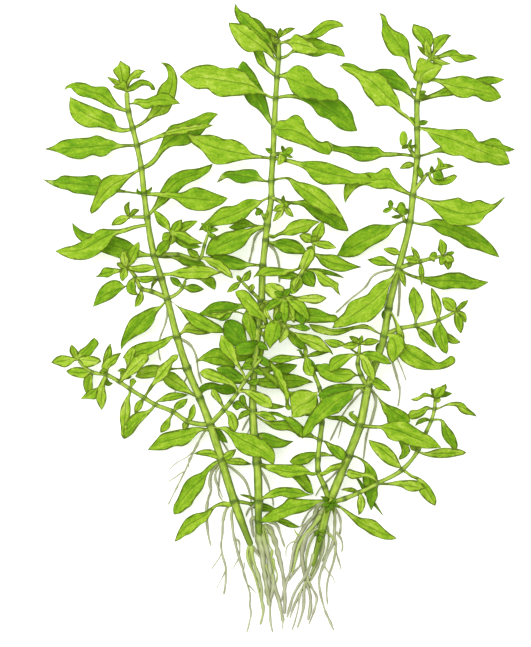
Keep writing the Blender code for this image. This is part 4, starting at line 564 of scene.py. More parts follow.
            (51.4, -33.4), (48.1, -35.3), (46.2, -35.3)), ((53.8, -31.2), (51.8, -30.5), (50.2, -31.3),
            (48.5, -32), (46.8, -32)), 0.35),
        BroadLeaf(8, ((57.6, -30.9, 4.8), (61, -30, 4.8), (64, -31, 4), (69.7, -34.5, 1.5)), ((56, -31.1),
            (59.3, -29.7), (61, -29.2), (65.2, -29.9), (66, -30.9), (69.1, -33.6)), ((56, -31.9),
            (59.3, -30.6), (60.6, -30.7), (62.2, -30.9), (63.5, -32.6), (65.2, -33.6), (67.7, -34)), 0.4),
        BroadLeaf(9, ((51.6, -27, 4), (46.2, -28.4, 3)), ((53.1, -27.6), (51.4, -27.6), (48.1, -29)),
            ((53.1, -26.5), (51.4, -25.9), (48.5, -27.8)), 0.2),
        Leaf(9, ((54.2, -26, 5.5), (53.5, -24.2, 6)), 1.6, 0.4, 0.4),
        BroadLeaf(9, ((56.6, -25, 5), (58.7, -22.8, 5.5)), ((54.8, -26.4), (55.2, -25.1), (56.8, -23.8)),
            ((56.6, -26), (58.9, -24.7)), 0.3),
        Leaf(9, ((58, -26.6, 4), (61, -26.3, 3.5)), 2, 0.5, 0.75),
        BroadLeaf(9, ((55.6, -26.6, 7), (57, -24.8, 7.4), (58.7, -23.1, 7.4)), ((54, -26.4), (54.6, -24.6),
            (56.6, -23.8)), ((56.2, -28), (58.6, -24.8)), 0.3),
        Leaf(8.6, ((55.6, -28.6, 5.6), (56.9, -28.4, 5.8)), 2, 0.3, 0.3),
    ),
}
TWIGS = {
    "left_small_shoot": Shoot.of(
        ((-46, 35.5, 9), (-52, 35.5, 10)),
        Leaf(1, ((-53, 38.5, 11), (-52, 41, 12)), 2, 0.5, 0.3),
        Leaf(1, ((-50, 37.5, 11.5), (-48.5, 38, 12)), 2, 0.5, 0.3),
        Leaf(1, ((-55, 34.5, 10), (-58.5, 32.5, 9.5)), 3, 0.5, 0.35),
    ),
    "left_outer_twig": Shoot.of(
        ((-43.5, 22, 8.5), (-35, 22.5, 6.5), (-27.5, 21, 7), (-26, 25.5, 8), (-24.5, 30, 9.5)),
        Leaf(2, ((-29.5, 22.5, 7.5), (-32, 24.5, 8)), 2.5, 0.5, 0.3),
        BroadLeaf(2, ((-23.5, 19.7, 7.5), (-19.5, 17.3, 8), (-15.9, 14, 8)), ((-25.8, 21.8), (-20.2, 20),
            (-16.6, 16.4)), ((-26, 20.5), (-24.4, 18.9), (-22.3, 17.5), (-17.7, 14.6)), 0.25),
        Leaf(4, ((-25.6, 31.6, 10.5), (-27, 33.5, 11)), 2, 0.4, 0.8),
        Leaf(4, ((-24.4, 32, 11), (-24, 33.6, 11.4)), 1.6, 0.4, 0.6),
        Leaf(4, ((-23.4, 29, 10.5), (-21, 28, 11)), 1.8, 0.4, 0.8),
        Leaf(4, ((-23.5, 30.8, 10.5), (-21, 31, 11)), 1.7, 0.4, 0.8),
    ),
    "left_inner_twig": Shoot.of(
        ((-39, 7, 8), (-33.5, 11, 7), (-32.5, 14, 6.5)),
        Leaf(1, ((-30.5, 10.6, 7), (-26, 10.3, 6.5)), 2.8, 0.6, 0.85),
        Leaf(1, ((-35.4, 12.4, 7.5), (-38, 14.6, 8)), 2.5, 0.6, 0.85),
        BroadLeaf(2, ((-27, 13.2, 5.8), (-24.2, 12.2, 5.5), (-22.3, 10, 5)), ((-28, 14.6), (-25.4, 14.2),
            (-23, 14.6), (-21.8, 11.6)), ((-28.6, 13.8), (-27.4, 13.5), (-26.1, 12.3)), 0.8),
    ),
    "middle_bud_twig": Shoot.of(
        ((-6, 6, 7.5), (-9.5, 9.5, 9), (-13, 13, 10)),
        Leaf(2, ((-11.2, 14.6, 11), (-9.8, 17, 12)), 2.5, 0.5, 0.35),
        Leaf(2, ((-15, 11.4, 10.5), (-18.1, 9.1, 10)), 2.2, 0.5, 0.3),
        Leaf(1, ((-9.4, 10.6, 10.5), (-9, 12.2, 11)), 2, 0.4, 0.2),
        Leaf(2, ((-13.6, 13.8, 10.6), (-14.6, 15, 11)), 1.6, 0.4, 0.5),
    ),
    "right_capsule_stalk": Shoot.of(
        ((48.4, 55.6, 9), (46.4, 58.6, 9.6), (44.6, 61, 10)),
        Leaf(1.5, ((45.8, 60.8, 11), (46.5, 62.8, 11.4)), 1.3, 0.4, 0.9),
        Leaf(1.5, ((44, 60, 11), (43, 59.3, 11.2)), 1.4, 0.4, 0.9),
        Leaf(1.3, ((46.8, 60, 10.6), (48.2, 60.6, 11)), 1.2, 0.3, 0.8),
    ),
    "right_bud_shoot": Shoot.of(
        ((47.4, 44.5, 9), (50.4, 48.5, 10.2), (52, 50.5, 10.5), (54, 51, 11)),
        Leaf(1, ((49.6, 50.6, 11), (48.6, 53.8, 11)), 2, 0.5, 0.6),
        Leaf(3, ((55.4, 50.2, 12.6), (57.8, 48.8, 12.6)), 3.8, 0.4, 0.75),
        BroadLeaf(2.4, ((55, 48.4, 11), (58.6, 48.4, 11), (62.5, 49.8, 11)), ((53.6, 49.4), (58, 49.3),
            (60, 50), (61.5, 50.4)), ((53, 48), (54, 47), (56.5, 46.5), (61, 47.8)), 0.4),
        Leaf(3, ((56.6, 53.4, 13), (55.3, 56.4, 13.6)), 2.4, 0.6, 0.35),
        Leaf(3, ((57.5, 53, 13), (61.5, 53, 13)), 2, 1, 0.3),
        Leaf(2.8, ((53.6, 51.4, 12), (53.4, 53.4, 12.4)), 1.6, 0.4, 0.85),
    ),
    "middle_upper_twig": Shoot.of(
        ((-2, 57, 9), (0, 57.6, 10.2), (1.9, 57.8, 10.8)),
        Leaf(2, ((1.6, 59, 11), (1.1, 60.5, 11.4)), 1.3, 0.3, 0.9),
        Leaf(2, ((3.2, 58.4, 11.4), (4.9, 59.6, 11.8)), 2.7, 0.4, 0.65),
        Leaf(2, ((3.4, 56.9, 11), (5, 56.3, 11)), 1.2, 0.3, 0.9),
        Leaf(2, ((2.2, 56.2, 10.8), (2.3, 54.4, 10.6)), 1.4, 0.3, 0.75),
        Leaf(1, ((0.8, 55.6, 11.8), (-0.4, 53.6, 12)), 2.9, 0.3, 0.25),
    ),
    "middle_inner_twig": Shoot.of(
        ((-2.6, 42.5, 8.5), (-0.4, 41.4, 10), (1.9, 39.7, 11)),
        Leaf(2, ((1.6, 41.2, 11.4), (1.8, 43.1, 11.8)), 1.4, 0.3, 0.75),
        Leaf(2, ((0.2, 38.6, 11.6), (-2, 37.6, 11.8)), 2.4, 0.4, 0.2),
        Leaf(2, ((0.6, 37, 11.4), (-2, 33.9, 11)), 2.2, 0.5, 0.15),
        Leaf(2, ((3.6, 37.2, 11.6), (5.3, 35.5, 11.6)), 2.1, 0.4, 0.15),
        Leaf(2, ((2.6, 39.8, 12.4), (3.2, 38.6, 12.6)), 2.1, 0.2, 0.5),
        Leaf(2, ((3.4, 40.2, 11.2), (4.6, 40.4, 11.2)), 1.6, 0.3, 0.3),
    ),
    "middle_capsule_twig": Shoot.of(
        ((-4, 33, 8.5), (-5, 35.2, 9.4), (-6, 37.2, 10)),
        Leaf(1.6, ((-6.8, 37.2, 10.8), (-7.8, 35.9, 11)), 2.3, 0.2, 0.95),
        Leaf(2, ((-6.8, 38, 10.4), (-8, 38.4, 10.6)), 1.2, 0.3, 0.7),
        Leaf(0.4, ((-4.6, 35, 9.8), (-3.6, 37.6, 10.2)), 1.4, 0.4, 0.3),
    ),
    "right_knot_twig": Shoot.of(
        ((45, 33.6, 8.6), (44.2, 34.2, 9.4), (43.7, 36.2, 10.2)),
        Leaf(2, ((43, 38, 11), (42.8, 40.8, 11.4)), 3.6, 0.3, 0.75),
        Leaf(2, ((41.6, 35.6, 10.4), (39.3, 35.5, 10.2)), 1.5, 0.4, 0.65),
        Leaf(2, ((44.7, 37.2, 10.6), (44.9, 38.6, 10.8)), 1.2, 0.3, 0.9),
    ),
    "right_fork_twig": Shoot.of(
        ((43, 36.9, 10.4), (41.4, 37.8, 10.6), (39.8, 38.7, 10.6)),
        Leaf(2, ((39.2, 40, 10.8), (39.2, 41.5, 11)), 1.8, 0.3, 0.85),
        Leaf(2, ((38.2, 38, 10.6), (36.4, 37.3, 10.4)), 1.7, 0.3, 0.6),
    ),
}
RIGHT_ROOTSTOCK = Shoot.of(
    ((18, -64, 5.5), (14.9, -75.7, 4.4), (11.9, -87, 2.6)),
    Leaf(1, ((13.4, -75.2, 6.4), (12.6, -76.4, 6)), 1.5, 0.3, 0.95),
    Leaf(1, ((15.6, -74.6, 6.6), (16.8, -74.4, 6.2)), 1.5, 0.3, 0.95),
    Leaf(1, ((14.4, -77, 6.4), (14, -78.6, 6)), 1.9, 0.3, 1),
    radii=(1.4, 1.25),
)
LEFT_LEAVES = {
    "left_leaf_01_left": BroadLeaf(1, ((-58, 74.8, 11.5), (-61.5, 77.8, 12), (-66, 79.3, 12),
        (-70.5, 80.7, 11.5), (-75, 79.8, 9)), ((-56, 72.7), (-60.5, 74.3), (-63, 75.8), (-65.5, 76.8),
        (-70, 78), (-71.5, 79.3), (-73, 80.8)), ((-56, 75), (-57.5, 77), (-60, 80.8), (-65, 81.2),
        (-67.5, 82.3), (-72.5, 82.2), (-74.3, 81.2)), 0.55),
    "left_leaf_02_left": BroadLeaf(2, ((-57, 66.4, 8), (-62, 69, 8), (-67, 71.3, 7.5), (-71, 74.6, 6.5),
        (-73, 77.7, 5)), ((-55, 65), (-57.5, 65.4), (-62.5, 66.8), (-67.5, 66.9), (-72, 70)), ((-54.5, 66.7),
        (-56.5, 67.6), (-57.2, 69.5), (-58.2, 71.3), (-60.5, 72.4), (-67, 75)), 0.45),
    "left_leaf_02_right": BroadLeaf(2, ((-46.5, 69.2, 8.5), (-42, 72.5, 9.5), (-38.8, 77.5, 10),
        (-37.3, 82, 11), (-37.4, 86.5, 12), (-41.5, 89.4, 13)), ((-47, 69.6), (-43, 77.5), (-42, 80.3),
        (-41, 81.8), (-39, 83.6), (-39.5, 87.8)), ((-46, 68.6), (-44, 70), (-38.5, 72.2), (-37.2, 74.5),
        (-35.4, 81), (-35.3, 84), (-38.3, 89)), 0.35),
    "left_leaf_03_left": BroadLeaf(3, ((-58, 60.7, 7), (-65, 60.3, 5), (-72, 59.8, 3), (-77, 59.7, 1.5),
        (-82.6, 59.5, 0.5)), ((-53, 59.9), (-58.5, 58.5), (-60.5, 57), (-62.5, 56.6), (-65, 57.2),
        (-69, 55.8), (-73.5, 56.5), (-76, 57.7)), ((-53, 61.1), (-56, 61.3), (-58.3, 62.5), (-60.5, 63),
        (-62, 63.8), (-64, 64.2), (-66, 63.6), (-70, 63.3), (-76.5, 62.3), (-79, 60.7)), 0.6),
    "left_leaf_04_left": BroadLeaf(4, ((-54, 48.8, 11), (-58.5, 46.3, 12), (-62, 42.5, 11.5),
        (-64, 39.5, 10.5), (-65.5, 36.5, 9)), ((-51.5, 49.4), (-55.5, 45), (-57, 43.4), (-60.3, 41.2),
        (-63.7, 37.5)), ((-51.5, 51.2), (-54, 50.4), (-59, 50.1), (-62.3, 48), (-63, 46), (-65.3, 40),
        (-66, 37.8)), 0.25),
    "left_leaf_04_right": BroadLeaf(4, ((-44, 55, 8.5), (-41, 59.5, 8), (-37, 63, 8), (-31.5, 66, 7.5),
        (-26, 69.3, 7), (-21, 71.6, 6)), ((-44.5, 55.6), (-41, 61.5), (-39.7, 65), (-37.5, 67.7), (-35, 68.3),
        (-29.5, 70.3), (-24.5, 72.3)), ((-43.5, 54), (-42, 55.7), (-40.3, 58), (-38, 59.8), (-32, 60.7),
        (-25.5, 66.3), (-24, 68.5)), 0.6),
    "left_leaf_05_left": BroadLeaf(5, ((-55, 44.8, 8), (-64, 46.4, 6.5), (-72, 47.3, 4.5), (-78, 47.8, 3),
        (-82.9, 49, 2)), ((-53, 43.9), (-57, 44), (-64.5, 43), (-69, 43.6), (-72, 44), (-74, 45),
        (-76, 45.4)), ((-53, 44.7), (-57, 45.8), (-60.5, 46.8), (-63.5, 50.1), (-66, 50.3), (-68, 49.9),
        (-71, 49.9), (-76.5, 49.9), (-78, 48.8), (-80, 48.6)), 0.8, 0.18),
    "left_leaf_05_right": BroadLeaf(5, ((-41, 43.3, 10), (-34, 42.3, 11), (-28, 41.8, 11), (-22, 41.3, 10),
        (-17.7, 42.2, 9)), ((-42, 44.2), (-39, 44.3), (-34, 44.1), (-29.5, 45.9), (-22, 43.8)), ((-42, 42.5),
        (-39.5, 42.1), (-37.5, 42), (-31.5, 38.2), (-24, 38), (-22, 38.9), (-20, 39.8)), 0.5),
    "left_leaf_06_left": BroadLeaf(6.2, ((-51, 31.8, 10), (-57, 30.2, 10), (-62.5, 27.6, 9.5), (-68, 24.5, 8),
        (-74, 23.5, 6), (-78.3, 23.6, 5)), ((-50, 31.3), (-53, 30.2), (-57.5, 28.5), (-59, 26.5), (-62, 23.2),
        (-67, 20.7)), ((-50, 32.7), (-56, 31.3), (-59, 31.3), (-62, 31.4), (-63.5, 30.8), (-65, 29.5),
        (-67, 28.2), (-72, 25.7), (-75, 25)), 0.45),
    "left_leaf_06_right": BroadLeaf(6, ((-42.5, 40, 8), (-39, 44.5, 7), (-35, 48.3, 6), (-30, 50.3, 4.5),
        (-26, 52, 3.5), (-23, 54.3, 3)), ((-44, 39), (-41.5, 44.5), (-38, 49.7), (-34, 51.9), (-28, 52.8),
        (-25.5, 53.6)), ((-42.5, 38.2), (-39.3, 40.5), (-37.5, 42.3), (-35, 44.3), (-33.5, 46), (-27, 49.5),
        (-24, 52)), 0.65),
    "left_leaf_09_left": BroadLeaf(9, ((-42.5, 3.6, 7), (-46.5, 0.6, 6), (-50, -3, 4), (-53, -7, 2),
        (-55.2, -11, 0.5)), ((-40.2, 4.6), (-42.9, 1), (-43.5, -0.9), (-46.4, -4.4), (-50.3, -6.5),
        (-53.8, -9.1)), ((-40.2, 5.3), (-41.8, 4.4), (-44.1, 4), (-48.8, 1.8), (-51.1, 0.5), (-54.6, -5.9),
        (-55.4, -8.7)), 0.65),
    "left_leaf_13_right": BroadLeaf(13.1, ((-19.5, -38.4, 8.5), (-16.2, -40.2, 9.5), (-12.8, -42.3, 10),
        (-8.7, -44.4, 10), (-4.5, -47, 9.5), (-1.6, -51.1, 9)), ((-21.6, -38), (-17.8, -37.8), (-14.5, -39.8),
        (-11.6, -40), (-4.9, -42.7), (-1.6, -46.1)), ((-21.2, -38.6), (-18.7, -39.8), (-16.8, -41.9),
        (-14.5, -45.7), (-9.9, -48.2), (-7.8, -48.4), (-4.1, -49.8), (-2.4, -50.9)), 0.5),
    "left_leaf_14_left": BroadLeaf(14, ((-24.5, -54, 5.5), (-27.4, -56.9, 4.5), (-30.3, -59.4, 4),
        (-33.2, -62.7, 2.5), (-35.3, -65.7, 1), (-36.8, -68.8, 0.5)), ((-22.4, -50.7), (-24.9, -54.8),
        (-26.4, -59.4), (-29.5, -63.6), (-30.7, -65.7), (-32.4, -66.9), (-34.1, -68.2)), ((-22.8, -50.2),
        (-24.1, -51.1), (-27.4, -54), (-29.9, -55), (-31.6, -56.1), (-35.7, -63.6), (-36.8, -65.7)), 0.5),
    "left_leaf_15_left": BroadLeaf(15, ((-20.3, -65, 5), (-22.8, -66.1, 4.5), (-25.3, -68.6, 4),
        (-28.7, -70.7, 3), (-32, -72.7, 2), (-36.5, -78.4, 0.5)), ((-16.6, -66), (-19.1, -66), (-21.6, -66.1),
        (-24.1, -69.4), (-25.3, -71.1), (-27, -72.1), (-31.2, -75.7), (-32.8, -76.3), (-34.5, -77.5)),
        ((-16.6, -64.2), (-19.1, -64), (-23.7, -66.1), (-25.3, -67.3), (-29.9, -68.6), (-32, -69.8),
        (-34.9, -74)), 0.4),
}
LEFT_SMALL_LEAVES = (
    BroadLeaf(0.6, ((-49.5, 75.5, 13), (-46, 75.3, 15), (-42, 76.3, 15), (-38, 76, 14), (-34.3, 75, 13)),
        ((-50.8, 75.3), (-50.3, 76.6), (-48.5, 76.9), (-46.5, 76.6), (-44, 77.6), (-39.5, 78.9), (-36, 76.7)),
        ((-50, 74.7), (-48.5, 74.2), (-47, 73.1), (-45.5, 73), (-43.5, 73.9), (-39, 74), (-37, 74.6)), 0.4),
    BroadLeaf(3, ((-44.5, 62.4, 10.5), (-38, 65, 12.5), (-32, 66.2, 13), (-27, 67, 12.5), (-22.8, 67.6, 11)),
        ((-45, 63), (-42, 64.3), (-35.5, 66.8), (-33, 67.2), (-26, 68)), ((-44.5, 62), (-41, 63), (-38, 63.8),
        (-35, 64), (-30.5, 65.2), (-28, 65.6)), 0.15),
    BroadLeaf(7, ((-50, 22.8, 5), (-56, 25, 4.5), (-62, 26.8, 4), (-68, 28.8, 3), (-72.4, 33.8, 1.5)),
        ((-48, 21.4), (-51, 20.8), (-54, 20.6), (-57, 21.5), (-66, 25.2), (-71, 28.8)), ((-47.5, 23.4),
        (-50, 25), (-52, 26.8), (-57.5, 29), (-61, 29.6), (-67.5, 30.3)), 0.75),
    BroadLeaf(7, ((-39, 21.6, 5.5), (-33.5, 20.7, 5), (-29, 19.6, 4.5), (-25.5, 18.7, 4)), ((-40, 22),
        (-31, 21.7), (-26.3, 19.7)), ((-40, 21), (-37, 20.9), (-35, 19.9), (-33.3, 18.6), (-31, 18.2)), 0.5),
    BroadLeaf(8, ((-37, 15.7, 9.5), (-31, 16.2, 10.5), (-25, 16.3, 10), (-19.9, 15.9, 9)), ((-40, 16),
        (-38.4, 16.1), (-33.8, 17.7), (-24.4, 18.2), (-22.3, 17.2)), ((-40, 14.7), (-38.4, 14.9), (-33.5, 14),
        (-27.9, 14), (-25.4, 14), (-21.9, 15.3)), 0.25),
    BroadLeaf(9, ((-34, 3.5, 8), (-29, -0.2, 9.5), (-24, -2.9, 9.5), (-19, -5, 8)), ((-37, 5.7), (-27, 1.4),
        (-22.3, -1.3), (-20, -2.8)), ((-36.7, 5.3), (-34.8, 3.4), (-31.7, -0.9), (-27.4, -4.2),
        (-25.1, -4.8)), 0.6),
    BroadLeaf(10, ((-33, -4, 6), (-29, -4.2, 5), (-23.8, -5.2, 4)), ((-34, -4.4), (-31.7, -1.3), (-28, -2.4)),
        ((-33.2, -5.2), (-27.8, -5.8)), 0.1),
    BroadLeaf(10, ((-39.5, -7.9, 7), (-44, -10, 5.5), (-49, -11.6, 4), (-54.7, -13.9, 3)), ((-37.1, -7.1),
        (-38.3, -8.3), (-39.8, -9.8), (-42.2, -11), (-44.1, -12.4), (-48.8, -13.9)), ((-37.1, -5.9),
        (-38.7, -6.3), (-42.9, -7.9), (-45.7, -8), (-51, -9.7)), 0.5),
    BroadLeaf(11, ((-36, -17.6, 6), (-43, -18.6, 5), (-50.3, -20.3, 3)), ((-37.5, -18.2), (-40.5, -19.5),
        (-46.4, -21.1), (-49.2, -20.9)), ((-37, -17.2), (-40, -16.7), (-43.7, -16.1), (-46.4, -16.5)), 0.4),
    BroadLeaf(11, ((-27, -14.3, 6), (-22, -13.6, 5.5), (-15, -17.3, 4)), ((-30.9, -16.5), (-25.8, -12.2),
        (-21.5, -10.2), (-19, -11), (-16.5, -13.8)), ((-28.9, -15.3), (-27, -14.9), (-24.3, -15.7),
        (-21.5, -16.5), (-19.2, -16.6), (-16.9, -17.2)), 0.5),
    BroadLeaf(12, ((-32, -24.8, 6), (-36, -22.3, 4.5), (-41, -19, 3)), ((-31.3, -26.6), (-34, -25.8),
        (-36.7, -25), (-40.4, -21.9)), ((-28.9, -26.6), (-30.9, -25), (-32.4, -22.7), (-34.4, -20.7),
        (-36.7, -18.8)), 0.35),
    BroadLeaf(12, ((-25, -25.3, 4.5), (-20, -24.4, 3.5), (-14, -25, 2)), ((-27.8, -24.2), (-25.8, -22.7),
        (-23.1, -22.3), (-20, -23.1), (-16.5, -22.6)), ((-27, -25.4), (-23.1, -25), (-19.6, -26.6),
        (-16, -26.4)), 0.9),
    BroadLeaf(13.2, ((-28, -39.4, 6), (-31.2, -40.7, 4.5), (-35.3, -41.9, 3.5), (-41.2, -43.6, 1.5),
        (-46, -46.1, 0.5)), ((-27, -39.6), (-30.3, -42.5), (-31.6, -43.8), (-33.7, -44.8), (-36.2, -44.8),
        (-39.5, -46.1), (-42, -46.3)), ((-27, -38.1), (-29.5, -38), (-32, -38.4), (-37.4, -39.4),
        (-41.4, -40.7), (-42.8, -42.3)), 0.4),
    BroadLeaf(14, ((-22, -47.7, 7), (-25.5, -47.2, 7.5), (-29.7, -47.4, 7)), ((-22, -49.2), (-24.5, -48.4),
        (-27, -48)), ((-22, -46.7), (-23.2, -45.9), (-25.3, -45.7)), 0.3),
    BroadLeaf(14, ((-17, -49.8, 6), (-13, -50.4, 5), (-9.1, -51.1, 3.5)), ((-18, -49), (-12.8, -49),
        (-11.2, -50)), ((-17, -51.1), (-14.1, -51.5)), 0.25),
    Leaf(14, ((-17.5, -48, 7), (-14.8, -45.7, 7.5)), 2.6, 0.5, 0.2),
    Leaf(13, ((-20.5, -41, 5), (-17.8, -43.6, 4)), 3, 0.5, 0.75),
    Leaf(15, ((-12, -64.5, 4), (-8, -65.5, 2), (0, -67.5, 1.5)), 3, 5.5, 0.8),
    BroadLeaf(0, ((-55, 86.5, 12), (-55.3, 90.2, 13)), ((-56, 83.5), (-57.8, 87), (-56.3, 88.3)),
        ((-52, 84.3), (-52, 88.1), (-53.5, 89)), 0.35),
    Leaf(0, ((-57.5, 83, 11), (-60, 84.5, 11.5)), 2, 0.5, 0.3),
    BroadLeaf(0, ((-55.8, 80.8, 12.5), (-58, 81, 12.5)), ((-54.5, 79.6), (-56, 79.9)), ((-54, 83.2),
        (-55.5, 82), (-57, 81.6)), 0.15),
    BroadLeaf(0, ((-50.5, 84.6, 12.5), (-48.4, 85.5, 13.5), (-46.2, 86.2, 14)), ((-51.5, 85.7), (-50, 86.8)),
        ((-50.5, 83.6), (-48.5, 84), (-47.8, 85.2)), 0.35),
    BroadLeaf(0, ((-49.5, 82, 12.5), (-46, 81.7, 12.5), (-43, 79.8, 12)), ((-50, 82.8), (-48.5, 83.5),
        (-43.3, 81)), ((-50.8, 79.5), (-47, 81.3), (-45.2, 81), (-44.3, 79.8)), 0.45),
    Leaf(4.9, ((-49, 44.2, 10), (-49.4, 45.6, 10.4)), 1.1, 0.3, 0.85),
    Leaf(4.9, ((-45.6, 44.4, 10), (-44.3, 46.1, 10.4)), 1.3, 0.4, 0.8),
)
MIDDLE_LEAVES = {
    "middle_leaf_01_left": BroadLeaf(1, ((-3, 96, 10), (-8, 101, 10), (-12, 104.8, 9.5), (-15, 110.4, 8)),
        ((-1.8, 92.8), (-8, 98.7), (-11.5, 101.2), (-14, 103.7), (-15.5, 108.3)), ((-0.8, 93.5), (-2, 96.5),
        (-9.8, 106), (-10.5, 106.8), (-12.3, 107.3)), 0.5),
    "middle_leaf_02_left": BroadLeaf(1.2, ((-3.5, 93, 11.5), (-7, 95.8, 13), (-11, 98.6, 13.5),
        (-14.5, 101.3, 13), (-17.5, 103.4, 12)), ((-1.9, 90.6), (-5.5, 93.2), (-8, 93.2), (-9.8, 92.9),
        (-16.4, 99.5)), ((-1.2, 91.5), (-2.2, 93.5), (-3.5, 95.7), (-5, 97), (-13, 102.9)), 0.2),
    "middle_leaf_04_right": BroadLeaf(2, ((2.5, 84.3, 11), (6, 82.8, 13), (10.5, 81, 13.5), (15, 79, 13),
        (20.8, 76, 12)), ((1.5, 85.8), (3.5, 86.6), (4.5, 87.7), (6, 88.4), (11.3, 86), (12.2, 84.3),
        (14, 82.7), (17.5, 80.7), (19, 80.5), (21, 77.5)), ((1.8, 84), (4.5, 79.3), (6, 77.7), (8, 76.9),
        (13, 76.2)), 0.5),
    "middle_leaf_05_left": BroadLeaf(3, ((-5, 79, 11.5), (-10, 81.5, 13), (-16, 82.6, 13.5), (-23, 83.6, 13),
        (-29, 84.3, 12), (-34.6, 84.5, 11)), ((-3.5, 77.2), (-6, 78.2), (-14.5, 77.6), (-17, 77.5),
        (-19.5, 77.2), (-23.2, 78.7), (-24.3, 79.8), (-28.7, 80.1), (-33, 83.1)), ((-3.5, 78.2),
        (-10.3, 84.3), (-12.5, 86.5), (-15, 87.6), (-20.3, 87.5), (-22, 88.3), (-28.5, 88.3)), 0.35),
    "middle_leaf_05_right": BroadLeaf(3, ((3, 77.8, 9), (8, 77.3, 9), (13.5, 75.5, 8.5), (19, 72.3, 8),
        (24, 68.8, 7), (27.7, 65.8, 6)), ((2.5, 78.4), (6, 78.6), (16, 78.8), (22.5, 75.8), (26, 71.5),
        (26.6, 69)), ((2.5, 77.1), (11.5, 74.2), (14, 71), (18, 69.3), (19.7, 67.6), (22, 66.1)), 0.75),
    "middle_leaf_06_right": BroadLeaf(4, ((0, 66, 12), (4, 66, 12.5), (8, 64.5, 12.5), (12, 61.8, 11.5),
        (17.8, 57.2, 10)), ((-1.5, 68.3), (0.5, 69.3), (2.7, 69.4), (4.2, 70.6), (6, 71.3), (8.8, 69.2),
        (9.4, 67.3), (11, 65.2), (13, 62.8), (15, 61.8), (17, 61.8), (18.6, 58.3)), ((-1.7, 65.4),
        (-0.3, 63.7), (2, 62.6), (9.5, 60.1), (16, 57.4)), 0.4),
    "middle_leaf_07_left": BroadLeaf(5, ((-9, 57, 10), (-16, 58.3, 10), (-23, 60, 10), (-28.5, 62.3, 9.5),
        (-32, 65, 9)), ((-6, 55.8), (-15, 54.8), (-18, 54), (-22.5, 54), (-27, 58.8), (-30.8, 61.9)),
        ((-6, 57.1), (-10, 58.5), (-11.5, 60.3), (-16, 62.7), (-19, 62.8), (-21.5, 63.8), (-24, 64.3),
        (-27, 64.2)), 0.4),
    "middle_leaf_07_right": BroadLeaf(5, ((5, 54.7, 10.5), (10, 53, 11), (16, 51.2, 11), (22, 49.8, 10.5),
        (28, 48.9, 10), (34.2, 47.8, 9)), ((4, 55.8), (8, 54.9), (10.5, 55.1), (16, 54.8), (22, 52.8),
        (24.5, 51.9), (26.3, 51), (28.5, 50.8), (30.5, 50.8), (32.3, 49.4)), ((4, 54.2), (10, 51.2),
        (11.2, 49.4), (14.7, 46.9), (20, 46.9), (31.5, 47.2)), 0.45),
    "middle_leaf_08_right": BroadLeaf(6, ((2, 49.1, 10), (6, 47, 12), (11, 43.6, 12.5), (16, 40, 12),
        (22.9, 34.9, 10)), ((1, 49.4), (3.5, 49.5), (7, 47.9), (9.5, 47.4), (16.5, 44), (18.3, 41.9)),
        ((1, 48.6), (3.3, 48.4), (4.3, 47), (5.5, 45), (9.2, 41.3), (14, 37.8), (20, 35.8)), 0.35),
    "middle_leaf_09_right": BroadLeaf(7, ((3, 40.9, 8), (8, 40.6, 7.5), (13, 38.2, 7), (18, 35, 6),
        (24.6, 30.6, 4)), ((3, 41.3), (14, 41.5), (18, 39.3), (23, 34.7)), ((3, 40.3), (5, 39.8), (7, 39.7),
        (8.7, 39), (10.2, 37.6), (13.3, 34.7), (17.3, 32.8), (19.3, 31.6)), 0.7),
    "middle_leaf_09_left": BroadLeaf(7, ((-6, 41.3, 10), (-10.5, 38.8, 11), (-15, 36.6, 11),
        (-20, 34.8, 10.5), (-28, 30.8, 7.5)), ((-5.1, 41), (-7.6, 38.7), (-9, 37.7), (-11.6, 34.9),
        (-13.5, 34), (-15.5, 33.1), (-18.8, 32.7), (-22, 32.2), (-25, 31.2)), ((-5.1, 42), (-6.4, 41.4),
        (-8, 41.7), (-10, 41.9), (-13.2, 40.8), (-14.5, 39.9), (-20, 38.9), (-24.4, 34.9), (-26.3, 33.2)),
        0.5),
    "middle_leaf_10_left": BroadLeaf(8, ((-9, 31, 9), (-13, 28.8, 9.5), (-17.5, 26.8, 9.5), (-22, 24.6, 9),
        (-25.5, 22.5, 8)), ((-6, 31.2), (-9.5, 28.9), (-12.1, 25.2), (-15.3, 23.3), (-16.7, 22.6),
        (-19.5, 22.3), (-24.4, 22.2)), ((-5.5, 32.8), (-9, 32.1), (-10.7, 31.5), (-12.5, 31.4), (-16, 30.8),
        (-19.1, 30.1), (-20.5, 29.3), (-23, 28.4), (-24.9, 25.6)), 0.65),
}
